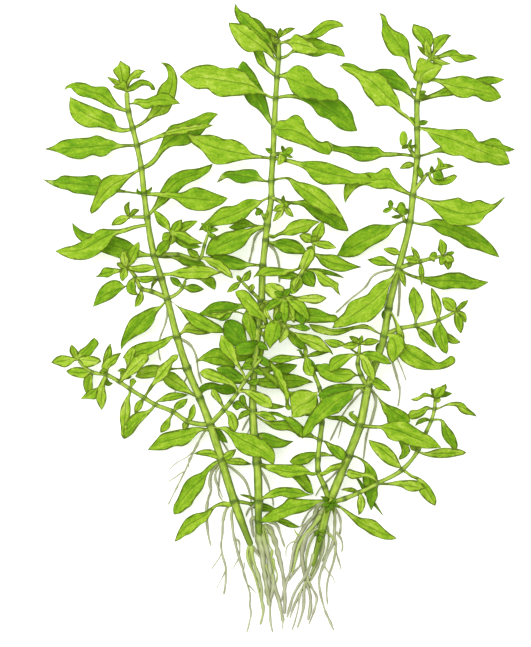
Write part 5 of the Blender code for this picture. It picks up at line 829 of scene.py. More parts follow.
MIDDLE_SMALL_LEAVES = (
    BroadLeaf(1, ((-3, 97.5, 8.5), (-6.5, 101.5, 8), (-9.5, 105.6, 7.5)), ((-2.5, 95.5), (-5.5, 99.5),
        (-8.5, 103)), ((-2.2, 98.5), (-4.5, 101.8), (-6.5, 104.3)), 0.7),
    BroadLeaf(0.2, ((3.5, 96.3, 12), (7, 96, 14), (10.5, 95, 14), (14, 93.8, 13.5)), ((3.3, 97), (5.7, 99.3),
        (10, 97.4)), ((3.3, 95.8), (6, 93), (8.5, 92.3), (12.8, 92.5)), 0.1),
    BroadLeaf(0.3, ((5, 97.5, 10.5), (9, 98.3, 11), (13, 100.3, 11.5), (17, 102.4, 11), (22.9, 102, 9)),
        ((4, 97.9), (8, 98.9), (11, 100), (12.7, 101.7), (16.7, 104.3), (20.7, 104), (22.2, 103.2)), ((4, 97),
        (12.5, 97.8), (14.5, 98.3), (18.5, 101)), 0.45),
    BroadLeaf(1, ((2.5, 91.5, 9.5), (6, 93.8, 9.5), (11, 95, 9), (16, 94.3, 8.5), (20, 93.8, 8),
        (23.3, 91.6, 7.5)), ((2, 92), (8, 97), (11, 98.2), (15, 97.5), (16.7, 96.5), (18.3, 96.2),
        (21.9, 94.7)), ((2.8, 91.2), (5, 92.8), (8, 92.6), (13, 91.5), (15, 91.9), (17, 92.7), (19, 92.6),
        (21, 91.9)), 0.55),
    BroadLeaf(2, ((-3.5, 87, 8.5), (-6, 90, 8), (-9.5, 95.5, 6.5)), ((-3.5, 86), (-5.5, 87.7), (-7.3, 89.3),
        (-8.2, 91.5)), ((-2.5, 87.2), (-3.8, 88.8), (-4.5, 90.7), (-5.2, 93)), 0.4),
    BroadLeaf(4, ((-3, 69.5, 8.5), (-6, 75, 7.5), (-9, 81, 7), (-12.6, 90.2, 6)), ((-3.6, 68.6), (-7.5, 73.3),
        (-10, 75), (-13.3, 81.5), (-14, 88.3)), ((-2.3, 69.5), (-4, 76), (-5.3, 79.8), (-6.7, 82.5),
        (-8.3, 85.8), (-10.3, 88.3), (-11.6, 89.8)), 0.85),
    BroadLeaf(6, ((-7, 49, 8), (-12, 49.8, 7), (-17, 50.4, 6), (-19.8, 49.9, 5), (-21.7, 47.5, 4)),
        ((-6, 47.8), (-8.5, 48), (-12.5, 47.2), (-14.5, 47.5), (-18, 49.2), (-20.7, 47.9)), ((-5, 48.7),
        (-6.5, 50), (-7.5, 51.6), (-12, 52.3), (-15, 51.8), (-18, 51.7), (-20, 50.5), (-21, 48.8)),
        0.8, 0.25),
    BroadLeaf(8, ((-8, 32.2, 7), (-12, 33.2, 6), (-17.5, 32, 5)), ((-9.5, 32), (-12.5, 31.4), (-15.5, 31)),
        ((-8, 33), (-10.3, 34.3), (-11.6, 35), (-14, 34)), 0.6),
    BroadLeaf(8.4, ((0, 29.3, 9.5), (4, 30.7, 10), (8, 32, 10), (14.6, 33.8, 9)), ((-3, 28.4), (-0.5, 29.8),
        (2.1, 31.2), (3.4, 33), (7.6, 34.8), (12.1, 34.5)), ((-1.9, 27.9), (0.2, 28.9), (5.8, 29.1),
        (7.6, 29.8), (10, 30), (11.4, 31.6)), 0.45),
    BroadLeaf(9, ((0, 26.5, 7), (4, 25.3, 6.5), (9.9, 23, 5)), ((-3.3, 27.2), (1.6, 28.1), (6.9, 27)),
        ((-2.3, 25.6), (-0.5, 24.6), (1.3, 23.3), (6.5, 22.5), (9, 22.6)), 0.75),
    BroadLeaf(10, ((-9.5, 18.8, 7), (-13.5, 19.2, 6.5), (-18, 20.3, 6), (-25, 22.2, 5)), ((-9, 18.2),
        (-10.8, 18), (-12.3, 17.1), (-15, 16.9), (-17.5, 17.4), (-19.5, 19)), ((-9, 19.4), (-11, 19.8),
        (-13, 20.8), (-20, 22.6)), 0.65),
    BroadLeaf(12, ((-12, 4.6, 7.5), (-18, 3, 6.5), (-23, 2.8, 5.5), (-28, 1.8, 4.5)), ((-13, 3.4),
        (-16.1, 1.8), (-17.3, -0.1), (-19.6, -0.9), (-22.3, -0.1), (-25.4, 0.7)), ((-12, 5.2), (-14.5, 5.3),
        (-17.3, 6), (-23.1, 5.5), (-27.2, 2.3)), 0.85),
    BroadLeaf(12, ((-17, 2.4, 7.2), (-21.5, 1.4, 6.6), (-26, 1.2, 5)), ((-17.5, 1.7), (-20, 0.2)),
        ((-17.5, 2.9), (-21, 2.3), (-24, 2)), 0.1),
    BroadLeaf(13, ((-11, -10.5, 7), (-14, -6.5, 6.5), (-16.8, -3, 5.5), (-18.6, -0.8, 5)), ((-12.6, -9.8),
        (-15.3, -9.8), (-19.2, -6), (-19.3, -2.2)), ((-10.7, -9), (-12.6, -2.1), (-17.2, -0.3)), 0.95),
    BroadLeaf(13, ((-8.5, -9, 8), (-9.5, -4, 8.5), (-10.5, 0.5, 8.8), (-11.5, 2.8, 8.5)), ((-10.2, -6.2),
        (-12.9, -1.2)), ((-7.5, -8.5), (-7.5, -5.5), (-8.7, 0.4), (-10.2, 2.3)), 0.4),
    BroadLeaf(12.5, ((-10, -10, 10.6), (-13, -10.4, 10.4), (-16, -11.8, 10)), ((-8.2, -12.2), (-10, -12.8),
        (-12.4, -13.2)), ((-7, -8.2), (-11.7, -7.9), (-14.7, -9.2)), 0.85),
    Leaf(12.5, ((-5.4, -9.8, 10.5), (-3.6, -11.2, 10)), 3, 0.4, 0.9),
    Leaf(12.2, ((-5.4, -5.4, 10), (-4.8, -8.8, 10)), 1.6, 0.4, 0.15),
    Leaf(12.7, ((-4.6, -15.4, 9.6), (-2, -17.4, 9.4)), 2.6, 0.4, 0.9),
    Leaf(12.9, ((-9.8, -15, 8.6), (-12.2, -15.8, 8)), 2.4, 0.4, 0.75),
    BroadLeaf(13, ((-8.5, -10.5, 5.6), (-12, -12.4, 5), (-15.5, -13.8, 4)), ((-7, -13), (-12.5, -15),
        (-14.6, -15)), ((-6, -9.8), (-9, -10.2), (-12.5, -10.6), (-15, -12.4)), 0.6),
    BroadLeaf(12.7, ((-3.6, -15.6, 9), (-1, -19.5, 9.5), (1.2, -23.5, 9.5), (2.8, -28, 9), (3.6, -32.2, 8.5)),
        ((-3, -14.6), (-0.9, -16.4), (1.1, -18.7), (2.2, -21.4), (3.4, -24.1), (3.8, -27.2), (3.8, -30),
        (4.6, -31.5)), ((-4, -15.6), (-0.9, -21.4), (0.3, -24.5), (1.8, -26.5), (2.4, -28.8), (2.6, -31.5)),
        0.3),
    BroadLeaf(12.9, ((1, -24.5, 5.5), (5, -27.5, 5.5), (9, -30, 5), (12.5, -32.8, 4)), ((0.5, -22),
        (3.9, -25.5), (5.6, -25.5), (7.4, -24.9), (12.2, -25.9), (13.6, -27.5)), ((-0.5, -24), (2.4, -26),
        (3.9, -27.7), (4.8, -30.3), (6.3, -32.3), (8.5, -33.6), (10.2, -34.3)), 0.3),
    BroadLeaf(13, ((-3, -18, 6), (1, -17, 5.5), (6.7, -16.2, 4.5)), ((-4, -16.8), (-1, -15.8), (3.4, -15.7)),
        ((-4, -19), (0.4, -18.2), (1.9, -19.6), (3, -19.8), (4.1, -18.9), (5.6, -17.7)), 0.7),
    BroadLeaf(13.3, ((-1, -22, 5), (5, -21.8, 4), (12.4, -22.4, 2.5)), ((-4, -20.3), (-0.5, -19.1),
        (4.4, -19.3)), ((-4.7, -24.3), (-0.5, -24.6), (7.2, -24), (10, -22.9)), 0.55),
    BroadLeaf(14, ((-12.5, -31, 8), (-14.2, -30, 8), (-15.6, -31.4, 7.5)), ((-11.8, -31.6), (-13.2, -31.4),
        (-14.6, -32.2)), ((-12, -30), (-13.4, -28.6), (-15.3, -29), (-16.2, -30.7)), 0.9),
    BroadLeaf(14, ((-11.5, -30, 8.5), (-12.6, -28.4, 8.8), (-12.4, -26.6, 9)), ((-12.8, -30), (-13.9, -28.2),
        (-13.4, -27)), ((-11, -30.2), (-11.4, -28.4), (-11.7, -27.2)), 0.85),
    Leaf(14, ((-12, -33.4, 7.5), (-14.2, -35.6, 8)), 2.2, 0.5, 0.4),
    BroadLeaf(14, ((-6, -33.6, 8.5), (-3, -34.2, 8.5), (-0.5, -35.5, 8.5)), ((-7.2, -32.6), (-5.7, -32.3)),
        ((-7, -34), (-3.7, -35.7)), 0.2),
    BroadLeaf(14.1, ((-5, -36, 7), (-1, -37.2, 6), (3.5, -37.6, 6), (8.2, -41.8, 4.5)), ((-6.2, -34.8),
        (-4.5, -35.7), (-1.8, -35.8), (1.2, -35.6), (3, -35.4), (5.6, -36.2), (8.4, -38.8)), ((-6.2, -35.7),
        (-3.7, -37.5), (-1.6, -38.8), (0.8, -39.3), (3.4, -39.3), (5.6, -40.2), (7.2, -41.6)), 0.5),
    BroadLeaf(14.1, ((4, -36.8, 8), (6, -38.4, 8), (8.4, -41.4, 7)), ((3.3, -34.4), (5.4, -35.4),
        (8.3, -37.6)), ((2.8, -35.5), (3.3, -37.2), (5, -39), (7.6, -41.4)), 0.65),
    BroadLeaf(15, ((-5, -42, 5.5), (-1, -43, 5.5), (5.5, -42.9, 4.5)), ((-6.5, -40), (-1.4, -41), (0.7, -42)),
        ((-6, -42), (-4.9, -44), (-2.4, -45.4), (-0.2, -45.4), (2.3, -45), (4, -43.9)), 0.75),
    BroadLeaf(16, ((-4, -52, 8.5), (1, -53.6, 8.5), (6, -53.8, 8), (14, -54.8, 7)), ((-5.7, -51.5),
        (-3.5, -51), (0.3, -51), (4.8, -51), (7.7, -51), (11.1, -53.5)), ((-5.7, -52.2), (-1, -54.3),
        (1.1, -55.4), (4, -55.8), (6.5, -55.2)), 0.4),
    BroadLeaf(16, ((0, -52.8, 6.5), (6, -54.5, 6), (9, -57.5, 5), (12.3, -61.6, 4)), ((0, -52), (5.5, -52.6),
        (9.8, -54.7), (11.9, -59.3)), ((0, -53.6), (4.8, -55.8), (10.6, -61.2)), 0.6),
    BroadLeaf(17, ((-3, -61.8, 8), (2, -60.6, 8), (7, -61.2, 8), (12.3, -61.7, 7.5)), ((-6, -62.7),
        (-3.9, -61), (-1.4, -59.5), (4.8, -59.1), (7.7, -59.7), (9.8, -61)), ((-5.5, -63.6), (-3.9, -63.1),
        (-1.8, -62.9), (0.7, -62.2), (3.6, -62.9), (6.5, -62.9), (9.4, -62.2)), 0.5),
    Leaf(17, ((-10.5, -62.4, 6), (-13.7, -61.7, 6)), 1.2, 0.5, 0.3),
    BroadLeaf(18, ((-1.5, -71, 3), (3, -71.8, 2), (7.7, -73.2, 1)), ((-3, -70.4), (0.3, -70.2), (2.7, -70.4),
        (4.8, -71.6)), ((-3, -71.4), (-1.8, -71.2), (1.1, -72.2), (3.6, -73.3)), 0.6),
    Leaf(0, ((0.5, 100, 11.5), (0.6, 101.6, 12)), 1.5, 0.5, 0.5),
    Leaf(0, ((-2.5, 100.3, 11.5), (-4.5, 101.4, 12)), 2, 0.5, 0.4),
    Leaf(0, ((3, 100.6, 11), (6, 101.4, 11)), 2, 0.5, 0.4),
    Leaf(0, ((-1.2, 97, 12.5), (-2.6, 99.2, 13.5)), 2.6, 0.4, 0.15),
    Leaf(4.7, ((-3, 58.6, 10.5), (-4.6, 59.6, 11)), 1.8, 0.3, 0.85),
)
RIGHT_LEAVES = {
    "right_leaf_01_right": BroadLeaf(1, ((56, 82.6, 12), (62, 81, 13), (67, 80.2, 13), (72, 79, 12),
        (78, 77.3, 10)), ((52, 84), (58, 83.8), (65, 84.8), (70.5, 83), (75, 81.2)), ((52, 82.9), (55, 82.6),
        (60, 78.9), (61.5, 77.7), (66, 77), (68, 77.6), (69.5, 77.3), (71, 76.2)), 0.35),
    "right_leaf_02_right": BroadLeaf(2, ((53, 77.5, 9), (60, 79.8, 8.5), (67, 81.8, 8), (73, 83.2, 7.5),
        (79.2, 83.8, 6.5)), ((53, 78.5), (56, 79.8), (60, 82), (69, 84), (71, 84.6)), ((53, 76.7), (56, 77.4),
        (60, 77.8), (65, 79), (70, 81), (73, 81.7), (77, 82.5)), 0.6),
    "right_leaf_02_left": BroadLeaf(2, ((45.5, 79.5, 9), (40, 83.8, 8.5), (34, 85, 8), (28, 87.2, 7),
        (22, 88.9, 6)), ((46.8, 77), (45, 78.3), (43.5, 79.3), (41, 80), (36, 82.5), (33, 84.3), (30, 85.5),
        (24.5, 88)), ((47.5, 77.8), (46.5, 79.5), (44.8, 82.8), (42, 85.3), (40.5, 86.8), (37, 87.5),
        (35.3, 87.4), (33.5, 86.7), (29.5, 87.3), (26, 89.2), (22.3, 89.2)), 0.85),
    "right_leaf_03_left": BroadLeaf(3, ((45.5, 70.2, 11), (41, 74.5, 12.5), (36, 79.5, 12.5), (31, 84, 12),
        (26.5, 86.3, 11), (21.2, 88.6, 10)), ((45.5, 69.2), (42.5, 71.2), (38.3, 74.2), (36, 74.2),
        (34.2, 74), (32.8, 75.7), (31, 77.5), (27.3, 83.8), (23.2, 86.7)), ((44.8, 71.3), (42.7, 73),
        (42.4, 75), (41.7, 77.2), (40.3, 79.5), (39, 82), (35, 86), (32, 86.2), (26, 87.8), (23.5, 88.5)),
        0.3),
    "right_leaf_03_right": BroadLeaf(3, ((54, 64.5, 12), (60, 62.8, 13), (66, 60.6, 13), (72, 58, 12),
        (81, 54.1, 9)), ((51.5, 66.9), (60, 66), (63.5, 66.3), (66, 66.1), (67.5, 65.1), (68.5, 63.5),
        (70, 61.8), (73, 60.8), (76, 60), (78.8, 58.9), (80, 57.2)), ((51.5, 65.5), (53, 63.5), (54.8, 61.3),
        (56.5, 60), (57.5, 58.2), (62, 56.7), (64, 56.8), (65.7, 55.8), (70, 54.3), (73, 54.4), (76, 53.5)),
        0.35),
    "right_leaf_04_right": BroadLeaf(4, ((52.5, 57.7, 8.5), (57, 59, 8), (64, 59.8, 7), (71, 60.5, 6),
        (77, 60.4, 4.5), (83, 59.4, 3)), ((52, 58), (56, 59.8), (60, 61.5), (66, 62.5), (71, 62.1),
        (76, 63.3), (77.5, 62.6), (78.7, 61.1), (80.5, 60.4)), ((52, 57.1), (56, 58), (60, 57.5), (66, 57.5),
        (72, 58.5), (79.5, 58.5), (81.5, 58.6)), 0.6),
    "right_leaf_06_left": BroadLeaf(5, ((43.5, 44.8, 10), (38.5, 48.7, 10), (33, 48.3, 9.5), (28, 48.1, 8),
        (24.7, 45.5, 6.5), (23.4, 40.4, 5)), ((44.5, 43.4), (42, 44.3), (39.5, 45.3), (35, 45.2), (33, 45.7),
        (31, 46.5), (27, 45.3), (25.5, 43.7)), ((44, 45.5), (39.4, 51), (38.7, 52.6), (37.3, 52.8), (34, 51),
        (31.5, 51.2), (28.5, 50.6), (25.5, 49.6), (23.4, 47.3), (22.8, 44.5)), 0.4),
    "right_leaf_06_right": BroadLeaf(5, ((54, 40.3, 11), (60, 37.8, 12), (66, 36.6, 12), (72, 37.6, 12),
        (76.5, 40, 12), (79.4, 42.9, 12)), ((51, 42.2), (56, 41.3), (61, 42), (63, 42.3), (64.7, 41.4),
        (66.5, 40.8), (70.5, 41.5), (72.5, 40.6), (74.5, 40.1), (78.2, 42.1)), ((51.5, 40.6), (55.5, 36.7),
        (59.5, 33), (65, 32.4), (70, 33.2), (73, 36.5), (75, 37.8)), 0.35),
    "right_leaf_07_left": BroadLeaf(6, ((42, 33.2, 7.5), (37.5, 30.8, 6), (32.5, 28.3, 5), (27, 25.6, 3),
        (23.5, 23.6, 1.5), (20.5, 22.2, 0.8)), ((42.6, 33.1), (41.2, 32.2), (38.4, 28.7), (31.7, 24.7),
        (27.5, 21.9)), ((41.5, 33.6), (40.1, 33), (38, 32.9), (32.4, 32.9), (29.6, 31.8), (22.6, 26.3),
        (21.6, 24.2)), 0.6),
    "right_leaf_07_right": BroadLeaf(6, ((51, 33.2, 6.5), (56, 32.7, 5.5), (61, 31, 4.5), (67, 28.3, 3),
        (73, 24.8, 1.5), (77.6, 21.4, 0.8)), ((50, 33.6), (52, 34), (54, 34.8), (58.5, 34.5), (61, 33.2),
        (66.5, 32.3), (73.4, 27.4), (75.2, 25.6)), ((50, 32.5), (54, 31.8), (55.5, 30.5), (57.5, 29.2),
        (60, 28.5), (62, 27.6), (66.4, 24.7), (69.3, 24.1), (74.5, 22.3)), 0.55),
    "right_leaf_08_right": BroadLeaf(7, ((48, 14.6, 6.5), (54, 13.2, 5.5), (60, 13.3, 4), (66, 12.9, 2),
        (70, 12.9, 1), (74, 12.9, 0.8)), ((44.6, 16.4), (57.2, 15.4), (59.4, 16.1), (61.6, 16.2),
        (63.8, 16.2), (67.8, 14.5)), ((44.6, 15.3), (46.8, 14.3), (49.4, 13.4), (51.3, 12.3), (55.3, 10.7),
        (57.9, 10.1), (60.8, 10.5), (63.8, 10.5), (69.3, 10.3), (71.2, 11.2)), 0.7),
    "right_leaf_08_left": BroadLeaf(7, ((39.7, 13.5, 11), (36.5, 9.5, 12), (31.5, 5, 12), (26, 1.2, 11),
        (18.5, -3.4, 9)), ((40, 13.8), (38.9, 11.2), (37.6, 6), (36.9, 4), (35.4, 2.2), (31.4, -1.2),
        (28.4, -1.5), (21.8, -3.2)), ((40.6, 16.4), (38.4, 14), (36.5, 13.4), (32.8, 10.8), (31, 8.5),
        (29, 7.6), (24.7, 5.5), (22.9, 2.2), (19.6, -1.2), (18.9, -3)), 0.3),
    "right_leaf_09_right": BroadLeaf(8, ((40.5, 0.5, 8.5), (42.8, -4, 8), (43.5, -9, 8), (47, -12.8, 8),
        (52.5, -15.6, 6), (57.5, -16.7, 4), (62, -13.8, 3)), ((41.3, -0.6), (44.1, -6), (44.3, -8.7),
        (46.1, -9.1), (48.3, -9.8), (52.4, -12.6), (56.4, -15.3), (58.6, -14.2), (60.8, -13)), ((39.5, 1),
        (40.8, -2.5), (41.3, -7), (42.2, -13.5), (46.8, -17), (53.5, -18.1), (60.1, -16.8), (62, -15.3)),
        0.4),
    "right_leaf_11_left": BroadLeaf(10.2, ((27, -24.4, 10), (23.8, -26.6, 12), (19.4, -29.4, 13),
        (15.6, -32.6, 13), (12.4, -36, 12.5), (8.2, -42, 10.5)), ((27.7, -24.9), (26.6, -25.9), (25.9, -28),
        (24.4, -29.5), (22.5, -31.4), (21.1, -32.9), (18.5, -33.8), (16.6, -34.7), (14.8, -36.2), (12.6, -38),
        (11.5, -39.9)), ((28, -23.9), (26.1, -24.8), (18.7, -26.3), (15.6, -28), (13.1, -30.6), (8.9, -37.6),
        (8.2, -39.8)), 0.75),
    "right_leaf_12_right": BroadLeaf(11, ((34.3, -37.9, 10), (38.5, -38.4, 10.5), (43.1, -39.7, 10.5),
        (47.7, -41.7, 10), (57, -45.2, 8)), ((30.2, -37), (32.7, -37.2), (36, -37.2), (38.5, -36.3),
        (41.8, -35.9), (45.2, -36.3), (47.2, -37.6), (49.7, -39.2), (52.2, -40.5)), ((30.6, -38.4),
        (33.5, -38.6), (36, -38.8), (37.2, -40.1), (38.1, -41.7), (40.2, -42.8), (43.1, -43.2), (45.2, -44.2),
        (51.8, -45.5)), 0.4),
    "right_leaf_14_left": BroadLeaf(13, ((12, -64.6, 9), (7, -65.7, 9.5), (2, -67.2, 9), (-2.5, -69, 8.7),
        (-6.5, -71, 8.5)), ((15.2, -64.2), (12.7, -65.6), (10.2, -67.2), (7.7, -68.1), (4.8, -68.7),
        (-0.6, -71)), ((15.7, -63.3), (12.3, -63.3), (5.2, -62.9), (3.2, -62.9), (1.9, -64.3), (0.2, -65.6),
        (-2.2, -66.8)), 0.4),
    "right_leaf_14_right": BroadLeaf(13, ((24.5, -68.3, 4), (29, -71.7, 3), (33, -73.7, 2), (37, -75.8, 1.2),
        (41.5, -77.3, 0.8)), ((21, -65.2), (23.6, -66.8), (28.6, -69.7), (33.6, -70.6), (37.3, -73.9),
        (39.4, -75.6), (41.1, -76.8)), ((20.7, -66), (25.7, -70.6), (27.7, -72.7), (30.2, -74.3),
        (32.3, -75.8), (34.8, -76.8), (37.3, -77.6)), 0.3),
}
RIGHT_SMALL_LEAVES = (
    BroadLeaf(0.8, ((46.3, 88, 10.5), (44.3, 92.5, 11), (41.2, 97, 11), (38.2, 101.5, 10.5), (35.2, 107, 9)),
        ((46, 86.7), (45, 88.8), (44, 91), (40, 92), (36.5, 97.5), (36, 99), (36.2, 103)), ((47.3, 87),
        (46, 92.5), (45.2, 97.5), (44, 99), (40, 101.3), (38.5, 103), (37.3, 106)), 0.5),
    BroadLeaf(0, ((52.5, 93.5, 11.5), (51.8, 96, 12), (50, 99, 12), (47.1, 103, 11.5)), ((52, 93),
        (50.5, 94.5), (49.8, 96), (48, 97.8), (46.8, 99.5)), ((53.3, 94), (54, 96.5), (54, 99), (52.8, 100.8),
        (49, 102.5)), 0.45),
    BroadLeaf(0, ((54.5, 94, 11), (56, 96.5, 11), (60.6, 98.9, 10.5)), ((54, 95.5), (53.8, 97.5),
        (55.5, 98.7), (59.3, 99.4)), ((55, 92.5), (58.5, 96.5), (59.5, 98)), 0.5),
    BroadLeaf(0, ((56, 91.4, 10.5), (62, 92, 10), (66, 91.2, 9), (69.8, 91, 8)), ((56, 92.2), (58, 93.2),
        (62, 94), (63.5, 92.7), (68, 92.2)), ((56, 90.7), (60, 91.4), (61.5, 90), (63.5, 89.4), (65.5, 89.8)),
        0.55),
    BroadLeaf(1, ((50.5, 85.5, 13), (53.5, 87.3, 13.5), (57.3, 88.3, 13)), ((47, 84.3), (47.9, 87),
        (48.3, 89.7), (49.5, 91.2), (51.3, 90.5), (53.5, 89.5), (55.6, 89.1)), ((50.5, 82.3), (56.5, 86.6)),
        0.3),
    Leaf(0, ((52, 93.5, 13), (51.7, 97.4, 14)), 3, 0.6, 0.1),
    Leaf(0, ((55, 90, 12.5), (60.2, 89, 12)), 2, 0.6, 0.15),
    Leaf(0, ((50.5, 93.5, 12.5), (48.4, 95.4, 12.5)), 2, 0.5, 0.4),
    Leaf(1.6, ((47.8, 79.5, 10), (46.2, 80.4, 10.4)), 1.8, 0.4, 0.9),
    Leaf(1.8, ((49.8, 78.6, 10.5), (51.6, 79.4, 11)), 1.8, 0.4, 0.9),
    Leaf(1.9, ((50.2, 77.6, 10.5), (52.4, 77.4, 11)), 1.8, 0.4, 0.9),
    Leaf(2.8, ((47.4, 69, 10), (46, 70.6, 10.5)), 1.7, 0.4, 0.9),
    Leaf(2.8, ((50.2, 68.4, 10), (52.2, 69, 10.5)), 1.8, 0.4, 0.9),
    BroadLeaf(4, ((43, 57.4, 8), (36, 57.5, 7.5), (30, 57.6, 7), (24, 58.8, 6.5), (15.3, 61.7, 6)),
        ((43, 56.8), (39, 56.5), (36, 56.4), (33.5, 55.4), (28.5, 54.9), (23.5, 57.5), (20.5, 58.3),
        (18, 58.8)), ((43, 58), (39, 58.3), (36.8, 58.5), (35.3, 59.8), (30.5, 60.2), (27.5, 60.5),
        (21.5, 60.4), (19, 61.2), (17, 62.3)), 0.75, 0.2),
    Leaf(4.2, ((46, 53.8, 9.5), (42.4, 52.4, 9)), 2.3, 0.8, 0.1),
    Leaf(6.7, ((39.6, 23.6, 10), (36.6, 24.3, 10.3)), 2.5, 0.8, 0.1),
    BroadLeaf(7, ((39.5, 19, 8.5), (36, 20, 9), (31, 20.7, 9)), ((41.4, 17.6), (37.7, 18.3), (34.9, 18.4)),
        ((42.4, 18.8), (41.2, 18.9), (38.7, 20.3), (36.3, 21.9), (32.8, 21.2)), 0.6),
    Leaf(7, ((43.4, 14, 10), (44.4, 11, 10.5)), 2.3, 0.6, 0.15),
    BroadLeaf(8, ((38.5, 2, 7.5), (37.4, 1, 7), (37.4, -1.2, 6.5)), ((39.6, 1.6), (38.9, -0.8)), ((37.6, 3.4),
        (36.2, 2.2)), 0.9),
    BroadLeaf(9, ((34, -4.6, 7), (30, -2.9, 6.5), (25.5, -3.6, 6), (21, -4.6, 6), (16, -3.8, 6),
        (10.7, -1.9, 6)), ((35.4, -5.6), (34, -5), (32.1, -4.1), (27.7, -3.7), (20.3, -6), (14.4, -5.2),
        (12.2, -4.3)), ((35.5, -5), (31.8, -2.5), (29.9, -1.9), (27.7, -2.3), (21.8, -3.4), (18.9, -3.6),
        (15, -2.5)), 0.2),
    BroadLeaf(9, ((39.6, -6.6, 9), (40.9, -8.8, 9.5), (41, -11.8, 9.5), (39.8, -15.6, 9)), ((39.8, -5.2),
        (42.4, -5.4), (44.3, -8.7), (42.1, -13.5)), ((38.2, -6.2), (37.8, -10.5), (38.2, -13.1)), 0.3),
    Leaf(9.1, ((35.6, -9, 7), (34.4, -12.2, 7)), 2.2, 0.8, 0.7),
    BroadLeaf(10, ((34, -22.2, 9.5), (36.5, -23.8, 9.5), (39.4, -25.3, 8.5)), ((32.5, -20.8), (33.9, -20.5),
        (37.2, -22.6), (38.9, -24.2)), ((32.2, -22.6), (34.3, -24.7), (36.8, -25.2), (38.7, -25.5)), 0.5),
    BroadLeaf(10, ((33, -25.5, 6), (36.5, -29.3, 5.5), (41, -33, 4.5), (46.2, -36.2, 3.5)), ((31.8, -24.6),
        (33.9, -26.1), (36, -28.4), (38.5, -30.1), (41.8, -31.3), (46, -34.7)), ((31.4, -25), (33.1, -25.9),
        (35.8, -30.1), (36.6, -32.6), (37.9, -34.7), (38.1, -36.3), (42, -37), (45, -37)), 0.55),
    BroadLeaf(11, ((26, -36.6, 6), (23.3, -35.4, 6), (16, -34.6, 5.5)), ((26, -37.8), (25.5, -37.7),
        (23.3, -36.5), (21.1, -35.8), (18.1, -35.4)), ((26.4, -36.6), (25.1, -35.8), (23.3, -34.3),
        (20, -34)), 0.4),
    Leaf(11, ((27, -35, 8), (25.2, -33.4, 8.5), (26.6, -32.4, 8.5)), 1.8, 0.8, 0.3),
    BroadLeaf(12, ((19, -48.2, 4), (14, -47.8, 3.5), (9, -49.2, 3), (3.9, -50.2, 3)), ((20.4, -48.4),
        (14.8, -48.5), (13.2, -48.7), (10.2, -51), (7.7, -51.4), (4.6, -50.9)), ((20.4, -47.6), (18.6, -47.7),
        (16.1, -46.8), (14, -46.8), (9.8, -46.8), (4.8, -48.9)), 0.55),
    BroadLeaf(12, ((26, -48, 6), (29, -49.8, 6), (31.2, -52.4, 5.5), (32, -56, 5), (31.6, -60, 4.5)),
        ((27.3, -48.1), (32.3, -51.4), (34, -53.5), (34.4, -58.4)), ((25.7, -48.5), (29.8, -51),
        (30.2, -53.1), (29.4, -56), (30.2, -58.9)), 0.75),
    Leaf(12.5, ((25.6, -54.8, 4), (31.3, -62, 3), (37, -69.5, 1.2)), 1.4, 6, 0.8),
    Leaf(13, ((16.2, -63, 8.4), (14.6, -62.2, 8.6)), 1.7, 0.3, 1),
    Leaf(13, ((20.2, -65.4, 8.2), (21.4, -66.4, 8)), 1.8, 0.3, 1),
    Leaf(13, ((17.2, -66.6, 8.2), (16.4, -68.4, 7.8)), 2, 0.3, 1),
    Leaf(13, ((19, -66.6, 8.2), (19.4, -68, 7.8)), 1.8, 0.3, 1),
    Leaf(13, ((16.4, -65, 8.6), (14.8, -65.4, 8.4)), 2, 0.3, 0.95),
    Leaf(13, ((19.4, -63.6, 8.8), (20.6, -63.2, 8.8)), 1.6, 0.3, 0.9),
    Leaf(13, ((18.4, -63.2, 9.2), (17.4, -64.6, 9.4)), 1.3, 0.3, 0.25),
    BroadLeaf(10, ((26.6, -24, 9.5), (21.5, -24, 9), (17, -25.2, 8.6), (13.7, -27, 8)), ((26, -25),
        (21.5, -26.4), (16, -28.6)), ((25.7, -22.8), (21.5, -22.7), (14.6, -25.6)), 1),
)
LEFT_BUDS = (Bud((-47.2, 45, 10.5), (0.9, 0.9, 0.7), 0.7),)
MIDDLE_BUDS = (Bud((2.4, 57.8, 10.5), (1.3, 1.2, 1), 0.9), Bud((1.2, 39.4, 11.4), (0.8, 0.8, 0.8), 0.3))
RIGHT_BUDS = (Bud((43.7, 62.8, 10), (1.5, 2.8, 1.5), 0.45), Bud((43, 38.6, 10.3), (1.6, 2.2, 1.3), 0.45))
